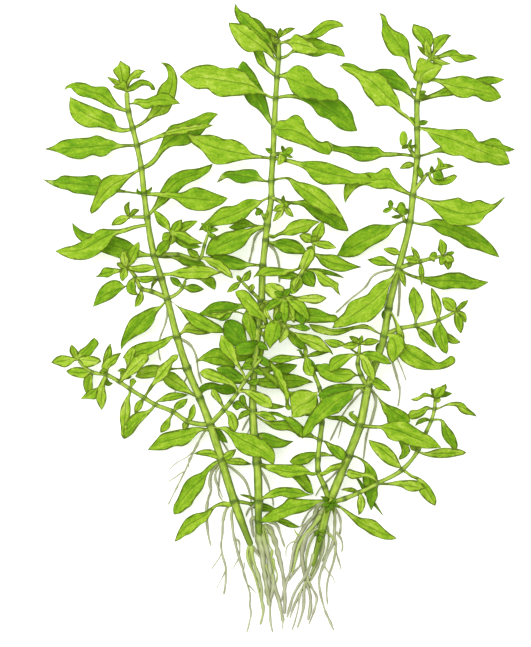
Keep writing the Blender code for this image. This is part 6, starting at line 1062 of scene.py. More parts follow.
LEFT_NODE_ROOTS = (
    Root(0.44, (8, 1), ((-38.5, 6), (-39.5, -1), (-41.5, -7.5), (-42, -12), (-41.5, -15))),
    Root(0.49, (7.5, 1), ((-35.5, -7), (-31, -9.5), (-29, -13.5), (-28.5, -17.5), (-27, -23))),
    Root(0.4, (6.5, 1), ((-31.6, -18.6), (-33, -22), (-35.6, -24.6), (-37.6, -28))),
    Root(0.41, (6.5, 0.5), ((-24, -37.5), (-26.5, -40.5), (-29, -45), (-34.5, -57), (-39, -65.5))),
    Root(0.27, (2.5, 0.5), ((-29.5, -46), (-32, -48.5), (-35.4, -50.4), (-38.6, -53.2))),
    Root(0.23, (2, 0.5), ((-33, -53.6), (-36, -55.4), (-39.2, -57.6))),
    Root(0.21, (2, 0.5), ((-31, -48.6), (-31.6, -50.6), (-31.2, -52.8))),
    Root(0.49, (6.5, 1.5), ((-23.5, -39), (-20, -43), (-17.5, -46.5))),
    Root(0.36, (6, 1.5), ((-22.6, -40), (-21, -44.6), (-18.6, -48.2))),
    Root(0.6, (6, 0.5), ((-19.5, -49.5), (-23, -53), (-24, -58), (-23.6, -60.3), (-24.6, -63.7),
        (-23.6, -80))),
    Root(0.49, (5.8, 1), ((-20, -51), (-22, -55.4), (-21, -59.4), (-20.7, -62), (-19.4, -64))),
    Root(0.4, (5.8, 1), ((-19.5, -50), (-20.5, -55), (-21, -62))),
    Root(0.24, (4, 0.8), ((-22.6, -56), (-21.2, -59), (-19.5, -63))),
    Root(0.44, (5.5, 0.5), ((-19.5, -50.5), (-15.5, -53), (-12, -56.5), (-10.3, -61.4), (-9.3, -70),
        (-9, -75))),
    Root(0.5, (5, 0.5), ((-15.5, -64.5), (-18.1, -66.6), (-19.2, -70), (-19.6, -76), (-20.1, -79.7),
        (-19.5, -83.4), (-18.4, -87.1), (-18.3, -91), (-19.1, -97.1))),
    Root(0.24, (1.6, 0.5), ((-19.9, -82), (-20.6, -84), (-21.6, -85.3), (-23.8, -88.2))),
    Root(0.23, (1.2, 0.5), ((-18.5, -88.2), (-20, -91.1), (-21.1, -93.1), (-21.8, -95.4))),
    Root(0.49, (5, 0.5), ((-15, -65), (-16.4, -68.3), (-16.1, -72.3), (-15.7, -76.3), (-12.3, -89.4),
        (-9.9, -97.7), (-10.1, -100.6), (-9.7, -103.4), (-10.3, -106.6), (-11.4, -110.3))),
    Root(0.36, (2.6, 1.6), ((-15.4, -77.4), (-14.3, -77.6), (-13.5, -81), (-14.1, -83.4))),
    Root(0.21, (1.6, 0.5), ((-14, -83.6), (-14.6, -85), (-15.4, -86.3), (-16.2, -88.4))),
    Root(0.24, (1.2, 0.5), ((-10.6, -93.4), (-8.8, -95.2), (-7.8, -96.6))),
    Root(0.21, (1.6, 1), ((-11.9, -85.4), (-12.2, -87.2), (-12.2, -89))),
)
LEFT_ROOT_TUFT = (
    Root(0.58, (4, 0.5), ((-9.8, -79), (-10.9, -81.6), (-10, -87.1), (-8.6, -90), (-6.6, -97.1),
        (-5.3, -104.4)), 0.6),
    Root(0.7, (4, 0.5), ((-9.5, -79.5), (-8.9, -84.3), (-6.9, -91.1), (-6.1, -94), (-6, -98), (-5.4, -102.6),
        (-6.4, -107.7)), 0.5),
    Root(0.64, (4, 1.5), ((-9.4, -79.4), (-7.1, -82.6), (-5.6, -84.8)), 0.2),
    Root(0.47, (4, 0.6), ((-9.6, -80), (-10, -84), (-7.8, -92), (-6.6, -95.6)), 0.75),
    Root(0.4, (3.6, 0.8), ((-9.4, -80), (-9.6, -85), (-6.9, -94.4)), 0.8),
)
MIDDLE_NODE_ROOTS = (
    Root(0.56, (8.5, 1), ((-4, 31.5), (-8, 29), (-9.5, 23.5), (-10.5, 19.5))),
    Root(0.51, (8, 1), ((-4.5, 26.5), (-1.5, 24), (0, 19), (0, 12.5))),
    Root(0.43, (6.5, 1.5), ((-9, -33), (-11, -36), (-13, -39.5))),
    Root(0.42, (6.5, 1.5), ((-8.6, -34), (-10, -38.4), (-12.6, -43.4))),
    Root(0.46, (6, 1), ((-7.5, -51.5), (-3.6, -58.6), (-2.9, -61.1), (-2.1, -63.4), (-1.9, -66))),
    Root(0.46, (5, 1), ((-7.4, -64), (-9, -66), (-10.3, -67.1), (-11.5, -69.6))),
)
MIDDLE_ROOT_TUFT = (
    Root(1.19, (4, 1), ((-6.6, -72), (-7, -75), (-5.4, -83.7), (-4.9, -88.3), (-3.7, -96.3), (-3.4, -101)),
        0.3),
    Root(0.88, (4, 0.8), ((-6.2, -72), (-5.7, -75.1), (-3.7, -83.7), (-3.1, -87.7), (-1.4, -93.4),
        (1.6, -106.6)), 0.25),
    Root(0.59, (2, 0.5), ((-2.2, -89.6), (-1.6, -92.4), (-2.6, -98), (-3, -101.4), (-1.9, -110.2))),
    Root(0.88, (4, 0.6), ((-5, -72.5), (-3.4, -74), (-0.1, -83.1), (2.1, -93.4), (2, -103.8)), 0.1),
    Root(0.58, (4, 1), ((-3.6, -71.6), (-1.4, -71.8), (-0.3, -73), (0.3, -74.9), (2.5, -80.4))),
    Root(0.7, (4, 1.4), ((-5.4, -72.4), (-3.2, -72.9), (-1.2, -77.6), (-0.5, -81)), 0.1),
    Root(0.4, (4.6, 1.2), ((-5.6, -72.5), (-4.4, -75), (-2.9, -80), (-1.7, -81.9)), 1),
    Root(0.4, (4.4, 1.4), ((-5.6, -73), (-4.2, -80.4), (-3.4, -84)), 0.9),
    Root(0.64, (4, 1.6), ((-7.6, -70), (-9.3, -70.6), (-9.1, -73.4), (-8.7, -77)), 0.1),
    Root(0.64, (4, 1.2), ((-7.2, -71), (-8, -75), (-7.6, -79), (-6.6, -83)), 0.4),
    Root(0.27, (1, 0.5), ((1.6, -105), (1.5, -107.4), (0.9, -110))),
    Root(0.52, (2, 0.8), ((-4.6, -86), (-3.4, -90.6), (-3.8, -99.6)), 0.3),
    Root(0.44, (2, 0.8), ((-1.8, -84), (-1.6, -87), (-0.6, -90), (-1, -93)), 0.8),
    Root(0.4, (2, 0.8), ((-2, -81), (-2.6, -85), (-1.8, -88.6), (-2, -92)), 0.7),
)
RIGHT_NODE_ROOTS = (
    Root(0.45, (8.5, 1), ((42, 17.5), (39.8, 17.2), (32.8, 14.7), (30.7, 11.6), (25, 6.3), (20, 2))),
    Root(0.5, (8.5, 1.5), ((42, 16.5), (42.6, 8), (42, 0.5))),
    Root(0.5, (7.5, 0.5), ((36.5, -6.5), (40, -15), (41.5, -21), (42.5, -25.5), (42, -31))),
    Root(0.3, (7.5, 1), ((36.8, -7), (42.4, -16), (44.8, -22))),
    Root(0.42, (7, 1), ((31, -24), (22.9, -33.4), (20.8, -37.6), (18, -42.9))),
    Root(0.3, (4, 1), ((22.4, -34.2), (21.9, -38.3), (20.8, -42.5))),
    Root(0.52, (7, 0.5), ((31, -24.5), (32.4, -24.9), (34.1, -28.5), (33.1, -34.1), (31.3, -39.7),
        (30.3, -45.3), (29.6, -49.5))),
    Root(0.42, (6.5, 1), ((23.5, -50), (18.5, -56), (14.9, -59.4), (13, -62.5))),
)
RIGHT_ROOT_TUFT = (
    Root(0.7, (5, 0.8), ((17, -64.8), (14.3, -65.7), (12.3, -69.4), (10, -72), (7.7, -75.7), (6, -78.9),
        (4.3, -86.6), (4, -89.4), (2.9, -92.9), (1, -99.5))),
    Root(0.95, (5, 0.6), ((17.2, -65.2), (15.4, -67.4), (13.7, -70.3), (9.7, -76.9), (8.6, -80.9),
        (9.1, -88.9), (9.7, -92.3), (10.6, -95.1), (10.2, -106)), 0.1),
    Root(0.64, (4.5, 0.8), ((15.4, -73.6), (12.9, -74), (10.6, -76.3), (9.4, -79.7), (8.3, -83.7),
        (7.7, -86.6), (5.7, -89.1), (3.8, -92.2)), 0.1),
    Root(0.64, (3.5, 0.6), ((12.6, -82), (10.6, -88), (9.1, -91.1), (7.4, -93.1), (4.7, -98), (4, -100.9),
        (3, -105.2))),
    Root(0.52, (2.5, 0.6), ((10.4, -90), (10, -92.3), (8.6, -94.6), (3.8, -105.4))),
    Root(0.54, (2, 0.5), ((9.5, -92), (9.1, -94.9), (8.6, -102), (6.7, -108.8))),
    Root(0.35, (1.6, 0.5), ((8.2, -94.6), (7.4, -97.7), (6.9, -101.4), (4.5, -109.6))),
    Root(0.47, (2, 0.5), ((10, -91.6), (12.3, -95.4), (13.4, -98), (12.9, -100.9), (10.5, -107.6))),
    Root(0.7, (4, 1), ((15, -75.6), (15.7, -78), (15.1, -82.3), (10.8, -92.2)), 0.35),
    Root(0.64, (5, 0.5), ((17.8, -65), (19.4, -66.6), (19.7, -68.9), (19.7, -74), (19.4, -77.7),
        (16.9, -83.7), (14.1, -92.9), (14.6, -96.3), (16.6, -103.4), (18, -106.3), (19.5, -109.6))),
    Root(0.52, (5, 1), ((18, -64.8), (21.4, -69.4), (21.6, -76))),
    Root(0.37, (3, 0.6), ((20, -74.6), (22.4, -79.1), (22, -82.2))),
    Root(0.4, (3, 0.5), ((19.6, -77), (20, -78.6), (20.6, -82.3), (21.4, -85.4), (21.9, -88.6))),
    Root(0.4, (2.4, 0.5), ((20, -80), (19.1, -86.6), (18, -89.7), (17.1, -100.6))),
    Root(0.32, (1.8, 0.5), ((15.9, -86), (17.7, -89.4), (19.1, -91.1), (19.5, -93.4))),
    Root(0.54, (4.4, 2.6), ((15, -74.8), (16.9, -75), (19.6, -78)), 1),
    Root(0.32, (2.8, 0.6), ((7, -78), (3.4, -79.7), (2.9, -84))),
    Root(0.44, (5, 1.2), ((16.4, -64.8), (11.1, -67.4), (9.4, -70), (8.1, -72.6))),
    Root(0.32, (3.4, 1), ((10.6, -71.4), (9.2, -72.2), (7.2, -73.2))),
    Root(0.32, (3.2, 1.6), ((7.4, -76.4), (6.4, -75.2), (5.6, -73.8)), 0.9),
    Root(0.88, (4.6, 1), ((15, -68.6), (12.4, -72.6), (8.6, -77), (6.9, -80.9), (6, -85.1), (4.9, -89.4)),
        0.85),
    Root(0.58, (4.6, 1), ((16, -69), (14.2, -73), (11.4, -78), (9.9, -90)), 0.6),
    Root(0.52, (4, 0.8), ((13.4, -80), (13.2, -84.6), (12, -88), (11, -90.6)), 0.7),
    Root(0.44, (4, 0.8), ((16.2, -70), (17.6, -76), (15.4, -85.6)), 0.5),
)


class Mesh:
    """Closed tubes of points gathered into one mesh, with the numbers that its finish reads."""

    def __init__(self, name: str) -> None:
        """Starts with no tubes.

        Args:
            name: name of the piece.
        """
        self.name = name
        self.points: list[np.ndarray] = []
        self.loops: list[np.ndarray] = []
        self.sizes: list[np.ndarray] = []
        self.values: dict[str, list[np.ndarray]] = {}
        self.count = 0

    def tube(self, grid: np.ndarray, **values: np.ndarray) -> None:
        """Adds a closed tube, its two ends closed by fans.

        Args:
            grid: rings of points, rings by points round by 3, in millimetres.
            values: named numbers or vectors for each point of the grid.
        """
        rings, around, _ = grid.shape
        first = self.count
        index = first + np.arange(rings * around).reshape(rings, around)
        near, far = index[:-1], index[1:]
        quads = np.stack([near, np.roll(near, -1, 1), np.roll(far, -1, 1), far], axis=-1)
        start, end = first + rings * around, first + rings * around + 1
        fan_in = np.stack([np.roll(index[0], -1), index[0], np.full(around, start)], axis=-1)
        fan_out = np.stack([index[-1], np.roll(index[-1], -1), np.full(around, end)], axis=-1)
        self.points += [grid.reshape(-1, 3), grid[0].mean(0)[None], grid[-1].mean(0)[None]]
        self.loops += [quads.reshape(-1), fan_in.reshape(-1), fan_out.reshape(-1)]
        self.sizes += [np.full((rings - 1) * around, 4), np.full(2 * around, 3)]
        for name, value in values.items():
            flat = value.reshape(rings * around, -1)
            ends = [value[k].reshape(around, -1).mean(0)[None] for k in (0, -1)]
            self.values.setdefault(name, []).extend([flat, *ends])
        self.count += rings * around + 2

    def build(self, slot: Slot, material: bpy.types.Material, *nodes: str) -> bpy.types.Object:
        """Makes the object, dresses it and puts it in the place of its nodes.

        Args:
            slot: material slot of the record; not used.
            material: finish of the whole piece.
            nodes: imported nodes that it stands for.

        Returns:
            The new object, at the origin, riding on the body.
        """
        mesh = bpy.data.meshes.new(self.name)
        points = np.concatenate(self.points) * MM
        loops = np.concatenate(self.loops)
        sizes = np.concatenate(self.sizes)
        mesh.vertices.add(len(points))
        mesh.vertices.foreach_set("co", points.astype(np.float32).reshape(-1))
        mesh.loops.add(len(loops))
        mesh.loops.foreach_set("vertex_index", loops.astype(np.int32))
        mesh.polygons.add(len(sizes))
        starts = np.concatenate([[0], np.cumsum(sizes)[:-1]])
        mesh.polygons.foreach_set("loop_start", starts.astype(np.int32))
        mesh.update(calc_edges=True)
        for name, parts in self.values.items():
            stacked = np.concatenate(parts).astype(np.float32)
            kind, key = ("FLOAT", "value") if stacked.shape[1] == 1 else ("FLOAT_VECTOR", "vector")
            mesh.attributes.new(name, kind, "POINT").data.foreach_set(key, stacked.reshape(-1))
        mesh.validate()
        mesh.shade_smooth()
        mesh.materials.append(material)
        piece = bpy.data.objects.new(self.name, mesh)
        bpy.context.scene.collection.objects.link(piece)
        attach(piece, BODY)
        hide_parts(*nodes)
        LOG.info("%s: %d faces", self.name, len(sizes))
        return piece


def unit(vectors: np.ndarray) -> np.ndarray:
    """Vectors of length one along the last axis, and zero where a vector is zero."""
    return vectors / np.maximum(np.linalg.norm(vectors, axis=-1, keepdims=True), 1e-9)


def smooth(low: float, high: float, value: np.ndarray) -> np.ndarray:
    """Rises from 0 at low to 1 at high along 3 s squared minus 2 s cubed."""
    share = np.clip((value - low) / (high - low), 0, 1)
    return share * share * (3 - 2 * share)


def distances(points: np.ndarray) -> np.ndarray:
    """Distance of each point from the first one, along the straight runs between them."""
    return np.concatenate([[0], np.cumsum(np.linalg.norm(np.diff(points, axis=0), axis=1))])


def along_route(route: Route, places: np.ndarray) -> np.ndarray:
    """Points of a smooth curve through a route.

    Each run is a cubic through its two ends. The slope at a point is that of the parabola
    through it and its two neighbours, with distance along the straight runs as parameter.

    Args:
        route: the route's own points.
        places: places along it, counted in points.

    Returns:
        One point for each place.
    """
    points = np.asarray(route, float)
    reach = distances(points)
    slopes = np.gradient(points, reach, axis=0, edge_order=2 if len(points) > 2 else 1)
    run = np.clip(places.astype(int), 0, len(points) - 2)
    s = (places - run)[:, None]
    start, end = points[run], points[run + 1]
    step = (reach[run + 1] - reach[run])[:, None]
    return (
        start * (2 * s**3 - 3 * s**2 + 1)
        + slopes[run] * step * (s**3 - 2 * s**2 + s)
        + end * (3 * s**2 - 2 * s**3)
        + slopes[run + 1] * step * (s**3 - s**2)
    )


def even_places(route: Route, shares: np.ndarray) -> np.ndarray:
    """Places on a route that lie at given shares of its length.

    Args:
        route: the route's own points.
        shares: shares of its length, along the straight runs.

    Returns:
        One place for each share, counted in points.
    """
    reach = distances(np.asarray(route, float))
    return np.interp(shares * reach[-1], reach, np.arange(len(reach)))


def frames(path: np.ndarray) -> tuple[np.ndarray, np.ndarray, np.ndarray]:
    """Three directions at each point of a path.

    Where the path is all but upright, its side is +X.

    Args:
        path: points in space.

    Returns:
        The path's direction, the level side to its left, and the direction above both.
    """
    ahead = unit(np.gradient(path, axis=0))
    side = np.cross(np.array([0.0, 0.0, 1.0]), ahead)
    upright = np.linalg.norm(side, axis=-1, keepdims=True) < UPRIGHT
    side = unit(np.where(upright, np.array([1.0, 0.0, 0.0]), side))
    return ahead, side, np.cross(ahead, side)


def noise_line(rng: np.random.Generator, count: int, knots: int) -> np.ndarray:
    """Smooth random line of a mean near 0 and a reach near 1.

    Random values at evenly spaced knots are joined by cosine curves.

    Args:
        rng: seeded source.
        count: how many values.
        knots: how many runs between random values the line has.

    Returns:
        The line's values.
    """
    values = rng.uniform(-1, 1, knots + 1)
    places = np.linspace(0, knots, count, endpoint=False)
    run = places.astype(int)
    share = (1 - np.cos((places - run) * math.pi)) / 2
    return values[run] * (1 - share) + values[run + 1] * share


@dataclass(frozen=True)
class LeafGrid:
    """Where the points of one leaf lie. Rows run along it, columns round both its faces.

    Args:
        length: length of the midrib.
        half: half width at each row.
        t: share of the blade's length at each row, as a column.
        stalky: how far each row is stalk rather than blade, as a column.
        across: share of the way from midrib to margin, as a row.
        leftward: whether a column is left of the midrib, as a row.
        under: 1 on the lower face and 0 on the upper one, as a row.
        reach: distance from midrib to margin at each point.
        out: distance from the midrib at each point.
    """

    length: float
    half: np.ndarray
    t: np.ndarray
    stalky: np.ndarray
    across: np.ndarray
    leftward: np.ndarray
    under: np.ndarray
    reach: np.ndarray
    out: np.ndarray


@dataclass(frozen=True)
class Blade:
    """Thickness and relief that every leaf shares, in millimetres unless a name says otherwise.

    A run, start or end is the two shares of the length between which something comes or goes,
    and a spread the least and most of a random factor. The blade starts where its half width
    passes foot_half, or foot_share of a narrow leaf's own, and its length counts from foot_lead
    of the way there. Between stalk_halves it is part stalk, as thick as stalk_thickness in a
    leaf with a half width of stalk_full or more. Ripples have their full number in a leaf of
    usual length, and their full height in one of usual half width.
    """

    rows_per_mm: float = 1.7
    rows: tuple[int, int] = (22, 60)
    even_rows: float = 0.6
    columns_per_mm: float = 2.4
    columns: tuple[int, int] = (7, 15)
    foot_half: float = 1.1
    foot_share: float = 0.6
    foot_lead: float = 0.9
    stalk_halves: tuple[float, float] = (0.8, 2.2)
    stalk_run: tuple[float, float] = (0.3, 0.55)
    stalk_thickness: float = 0.8
    stalk_full: float = 1.6
    blade_thickness: float = 0.22
    tip_thinning: float = 0.6
    tip_run: tuple[float, float] = (0.85, 1.0)
    fold: float = 0.18
    fold_spread: tuple[float, float] = (0.4, 1.3)
    ripple: float = 0.42
    ripples: float = 3.4
    ripple_spread: tuple[float, float] = (0.8, 1.25)
    ripple_growth: float = 0.6
    least_growth: float = 0.4
    ripple_start: tuple[float, float] = (0.03, 0.25)
    ripple_end: tuple[float, float] = (0.9, 1.0)
    usual_length: float = 28.0
    usual_half: float = 3.0
    groove: float = 0.14
    keel: float = 0.3
    rib_half: float = 0.45
    rib_run: tuple[float, float] = (0.5, 1.0)
    quilt: float = 0.05
    vein_step: float = 2.3
    vein_slant: float = 1.1
    tone_spread: float = 0.06
    turn_run: float = 0.06
    lowest: float = 0.05
    highest: float = 15.7

    def add(self, mesh: Mesh, base: np.ndarray, leaf: AnyLeaf, seed: int) -> None:
        """Adds one leaf to a mesh.

        A row joins the left margin, the midrib and the right margin by straight lines. The
        blade then folds up from its midrib by a share of the distance to it. The two faces
        meet at the margin.

        Args:
            mesh: gathers the leaf.
            base: point inside the stem that it grows from.
            leaf: its place, outline and tone.
            seed: number that makes its ripples its own.
        """
        rng = np.random.default_rng(seed)
        length = distances(np.vstack([base, *leaf.spine]))[-1]
        rows = int(np.clip(length * self.rows_per_mm, *self.rows))
        closer = (1 - np.cos(np.linspace(0, math.pi, rows))) / 2
        shares = closer * (1 - self.even_rows) + np.linspace(0, 1, rows) * self.even_rows
        path, left, right = leaf.outline(base, shares, rng)
        middle = path[:, None, :2]
        at = self._grid(shares, length, *(np.linalg.norm(m - path[:, :2], axis=1) for m in (left, right)))
        margin = np.where(at.leftward[..., None], left[:, None], right[:, None])
        flat = middle + (margin - middle) * at.across[..., None]
        high = path[:, None, 2] + self._waves(at, rng) + self._faces(at)
        high = high + self.fold * rng.uniform(*self.fold_spread) * at.out * (1 - at.stalky)
        high = np.clip(high, self.lowest, self.highest)
        shape = high.shape
        shift = rng.uniform(0, PATTERN_SHIFT)
        tone = np.clip(leaf.tone + rng.uniform(-self.tone_spread, self.tone_spread), 0, 1)
        along = np.broadcast_to(at.t * length, shape)
        blade = np.stack([along, np.where(at.leftward, at.out, -at.out), np.full(shape, shift)], -1)
        share = np.stack([np.broadcast_to(a, shape) for a in (at.t, at.across, at.under)], -1)
        turned = np.zeros_like(at.t)
        if leaf.turned:
            turned = smooth(1 - leaf.turned, 1 + self.turn_run - leaf.turned, at.t)
        mesh.tube(
            np.concatenate([flat, high[..., None]], axis=2)[:, ::-1],
            blade=blade[:, ::-1],
            share=share[:, ::-1],
            rim=(at.reach - at.out)[:, ::-1],
            tone=np.full(shape, tone),
            turned=np.broadcast_to(turned, shape),
        )

    def _grid(self, shares: np.ndarray, length: float, left: np.ndarray, right: np.ndarray) -> LeafGrid:
        """Works out where the points of a leaf lie.

        Columns are spaced by the sine of an even angle, so that they are closer at the margins.

        Args:
            shares: shares of the midrib's length, one for each row.
            length: length of the midrib.
            left: distance from the midrib to the left margin at each row.
            right: distance to the right margin at each row.

        Returns:
            The leaf's grid.
        """
        half = (left + right) / 2
        columns = int(np.clip(half.max() * self.columns_per_mm, *self.columns))
        upper = np.sin((np.linspace(0, 1, columns + 1) - 0.5) * math.pi)
        around = np.concatenate([upper, upper[-2:0:-1]])[None, :]
        under = np.concatenate([np.zeros(columns + 1), np.ones(columns - 1)])[None, :]
        blade = half > min(self.foot_half, half.max() * self.foot_share)
        start = shares[np.flatnonzero(blade)[0]] * self.foot_lead
        t = np.clip((shares - start) / (1 - start), 0, 1)
        stalky = (1 - smooth(*self.stalk_halves, half)) * (1 - smooth(*self.stalk_run, shares))
        across, leftward = np.abs(around), around > 0
        reach = np.where(leftward, left[:, None], right[:, None])
        out = across * reach
        return LeafGrid(length, half, t[:, None], stalky[:, None], across, leftward, under, reach, out)

    def _waves(self, at: LeafGrid, rng: np.random.Generator) -> np.ndarray:
        """Height of the ripples and of the low waves between the veins.

        A ripple is a sine along the blade times the square of the share of the way to the
        margin. A low wave is a sine of the distance along the blade less the vein's slant,
        times four s times 1 - s, where s is that share.

        Args:
            at: the leaf's grid.
            rng: seeded source of the ripples' number and places.

        Returns:
            A height for each point.
        """
        size = min(at.half.max() / self.usual_half, 1)
        growth = max(at.length / self.usual_length, self.least_growth) ** self.ripple_growth
        turns = self.ripples * rng.uniform(*self.ripple_spread) * growth
        phases = rng.uniform(0, 2 * math.pi, 2)
        angle = 2 * math.pi * turns * at.t + np.where(at.leftward, phases[0], phases[1])
        fade = smooth(*self.ripple_start, at.t) * (1 - smooth(*self.ripple_end, at.t))
        vein = 2 * math.pi * (at.t * at.length - at.out * self.vein_slant) / self.vein_step
        low = self.quilt * np.sin(vein) * at.across * (1 - at.across) * 4
        return (self.ripple * at.across**2 * np.sin(angle) + low) * fade * size

    def _faces(self, at: LeafGrid) -> np.ndarray:
        """Height of the upper and lower faces over the level of the midrib.

        The thickness falls to the margin like the height of a half circle. A groove runs along
        the upper face and a keel along the lower one, both bell curves of the distance out.

        Args:
            at: the leaf's grid.

        Returns:
            A height for each point.
        """
        thickest = self.stalk_thickness * min(1, at.half.max() / self.stalk_full)
        thick = self.blade_thickness + (thickest - self.blade_thickness) * at.stalky
        thick = thick * (1 - self.tip_thinning * smooth(*self.tip_run, at.t))
        thick = thick * np.sqrt(np.clip(1 - at.across**2, 0, 1))
        rib = np.exp(-((at.out / self.rib_half) ** 2)) * (1 - smooth(*self.rib_run, at.t)) * (1 - at.stalky)
        return np.where(at.under > 0, -thick / 2 - self.keel * rib, thick / 2 - self.groove * rib)


@dataclass(frozen=True)
class Rod:
    """Shape that stems, twigs and roots share, in millimetres.

    Args:
        round_points: points round it.
        step: distance from ring to ring.
        fewest_rings: rings of a short rod.
        joint_swell: how much thicker it is at a joint, as a share.
        joint_length: how far along it the swelling reaches.
        ridge: height of its four ridges, as a share of its radius.
        rough: how far its radius strays, as a share.
        lump: distance from lump to lump.
        foot_narrowing: share of its radius that it loses at its foot.
        wander_run: distance from bend to bend where it wanders.
        wander_growth: how fast the wandering grows from its start, for each share of the length.
        rounding: length of its rounded ends, as a share of its radius.
        blunt: square of the share of its radius that is left at its very ends.
        lowest: lowest height of any point.
    """

    round_points: int = 14
    step: float = 0.9
    fewest_rings: int = 8
    joint_swell: float = 0.22
    joint_length: float = 1.1
    ridge: float = 0.04
    rough: float = 0.07
    lump: float = 4.0
    foot_narrowing: float = 0.3
    wander_run: float = 7.0
    wander_growth: float = 5.0
    rounding: float = 0.8
    blunt: float = 0.04
    lowest: float = 0.02

    def add(
        self,
        mesh: Mesh,
        route: Route,
        radii: tuple[float, float],
        seed: int,
        joints: bool = True,
        wander: float = 0.0,
        green: float = 0.0,
        foot: float = 0.0,
    ) -> None:
        """Adds a rod along a route.

        Its radius runs evenly from one end to the other and strays by a smooth random line. At
        a joint it swells by the bell curve of the distance to the joint. Four low ridges run
        along it, and it narrows at its foot. A root wanders to either side of its route by a
        smooth random line that is zero at its start.

        Args:
            mesh: gathers the rod.
            route: the route's own points, where the joints are.
            radii: radius at the start and at the end.
            seed: number that makes it its own.
            joints: whether it swells at the route's points.
            wander: reach of the wandering.
            green: how green it is, from 0 to 1.
            foot: length over which it narrows to its end.
        """
        rng = np.random.default_rng(seed)
        reach = distances(np.asarray(route, float))[-1]
        count = max(int(reach / self.step), self.fewest_rings)
        share = np.linspace(0, 1, count)
        places = even_places(route, share)
        path = along_route(route, places)
        if wander:
            swing = wander * np.minimum(share * self.wander_growth, 1)
            line = noise_line(rng, count, max(int(reach / self.wander_run), 2))
            path = path + frames(path)[1] * (line * swing)[:, None]
        _, side, up = frames(path)
        far = distances(path)
        nearest = self._joint_gap(route, places, far, joints)
        low = smooth(0.0, foot, foot - (far[-1] - far)) if foot else np.zeros(count)
        radius = radii[0] + (radii[1] - radii[0]) * share
        radius = radius * (1 + self.joint_swell * np.exp(-((nearest / self.joint_length) ** 2)))
        radius = radius * (1 + self.rough * noise_line(rng, count, max(int(reach / self.lump), 2)))
        radius = radius * (1 - self.foot_narrowing * low)
        close = np.minimum(far, far[-1] - far)
        radius = radius * np.sqrt(np.clip(close / (radius * self.rounding), self.blunt, 1))
        angle = np.linspace(0, 2 * math.pi, self.round_points, endpoint=False)
        ribbed = radius[:, None] * (1 + self.ridge * np.cos(4 * angle)[None, :])
        across, rise = ribbed * np.cos(angle), ribbed * np.sin(angle)
        grid = path[:, None] + side[:, None] * across[..., None] + up[:, None] * rise[..., None]
        grid[..., 2] = np.maximum(grid[..., 2], self.lowest)
        shape = grid.shape[:2]
        shift = np.full(shape, rng.uniform(0, PATTERN_SHIFT))
        rod = [np.broadcast_to(far[:, None], shape), np.broadcast_to(np.cos(angle), shape), shift]
        rows = {"joint": nearest, "reach": share, "green": np.full(count, green), "low": low}
        values = {name: np.broadcast_to(row[:, None], shape) for name, row in rows.items()}
        mesh.tube(grid, rod=np.stack(rod, -1), **values)

    @staticmethod
    def _joint_gap(route: Route, places: np.ndarray, far: np.ndarray, joints: bool) -> np.ndarray:
        """Distance from each ring to the nearest joint.

        Args:
            route: the route's own points.
            places: place of each ring, counted in points.
            far: distance of each ring along the rod.
            joints: whether the rod has joints.

        Returns:
            One distance for each ring, far beyond any swelling where there is no joint.
        """
        if not joints or len(route) < 3:
            return np.full(len(far), NO_JOINT)
        at_joints = np.interp(np.arange(1, len(route) - 1), places, far)
        return np.abs(far[:, None] - at_joints[None]).min(axis=1)


@dataclass(frozen=True)
class Bead:
    """Shape that buds and capsules share: an egg with four soft lobes.

    Args:
        rings: rings of points from pole to pole.
        round_points: points round it.
        pole: angle of its first ring from the pole.
        lobe: height of its lobes, as a share of its radius.
        share: share of a leaf's length whose colours it has.
        rim: distance from a leaf's margin whose colours it has.
    """

    rings: int = 14
    round_points: int = 16
    pole: float = 0.06
    lobe: float = 0.06
    share: float = 0.3
    rim: float = 0.8

    def add(self, mesh: Mesh, bud: Bud, seed: int) -> None:
        """Adds a bud.

        Its radius is the sine of the angle from its pole, and its lobes the cosine of four
        times the angle round it.

        Args:
            mesh: gathers it.
            bud: its centre, radii and tone.
            seed: number that turns its lobes.
        """
        rng = np.random.default_rng(seed)
        polar = np.linspace(self.pole, math.pi - self.pole, self.rings)[:, None]
        angle = np.linspace(0, 2 * math.pi, self.round_points, endpoint=False)[None, :]
        lobes = 1 + self.lobe * np.cos(4 * angle + rng.uniform(0, 6)) * np.sin(polar) ** 2
        x = np.sin(polar) * np.cos(angle) * lobes
        y = np.broadcast_to(-np.cos(polar), x.shape)
        z = -np.sin(polar) * np.sin(angle) * lobes
        grid = np.array(bud.centre) + np.array(bud.radii) * np.stack([x, y, z], -1)
        shift = np.full(x.shape, rng.uniform(0, PATTERN_SHIFT))
        zero = np.zeros(x.shape)
        mesh.tube(
            grid,
            blade=np.stack([grid[..., 1], grid[..., 0], shift], -1),
            share=np.stack([zero + self.share, np.abs(x), zero], -1),
            rim=zero + self.rim,
            tone=zero + bud.tone,
            turned=zero,
        )


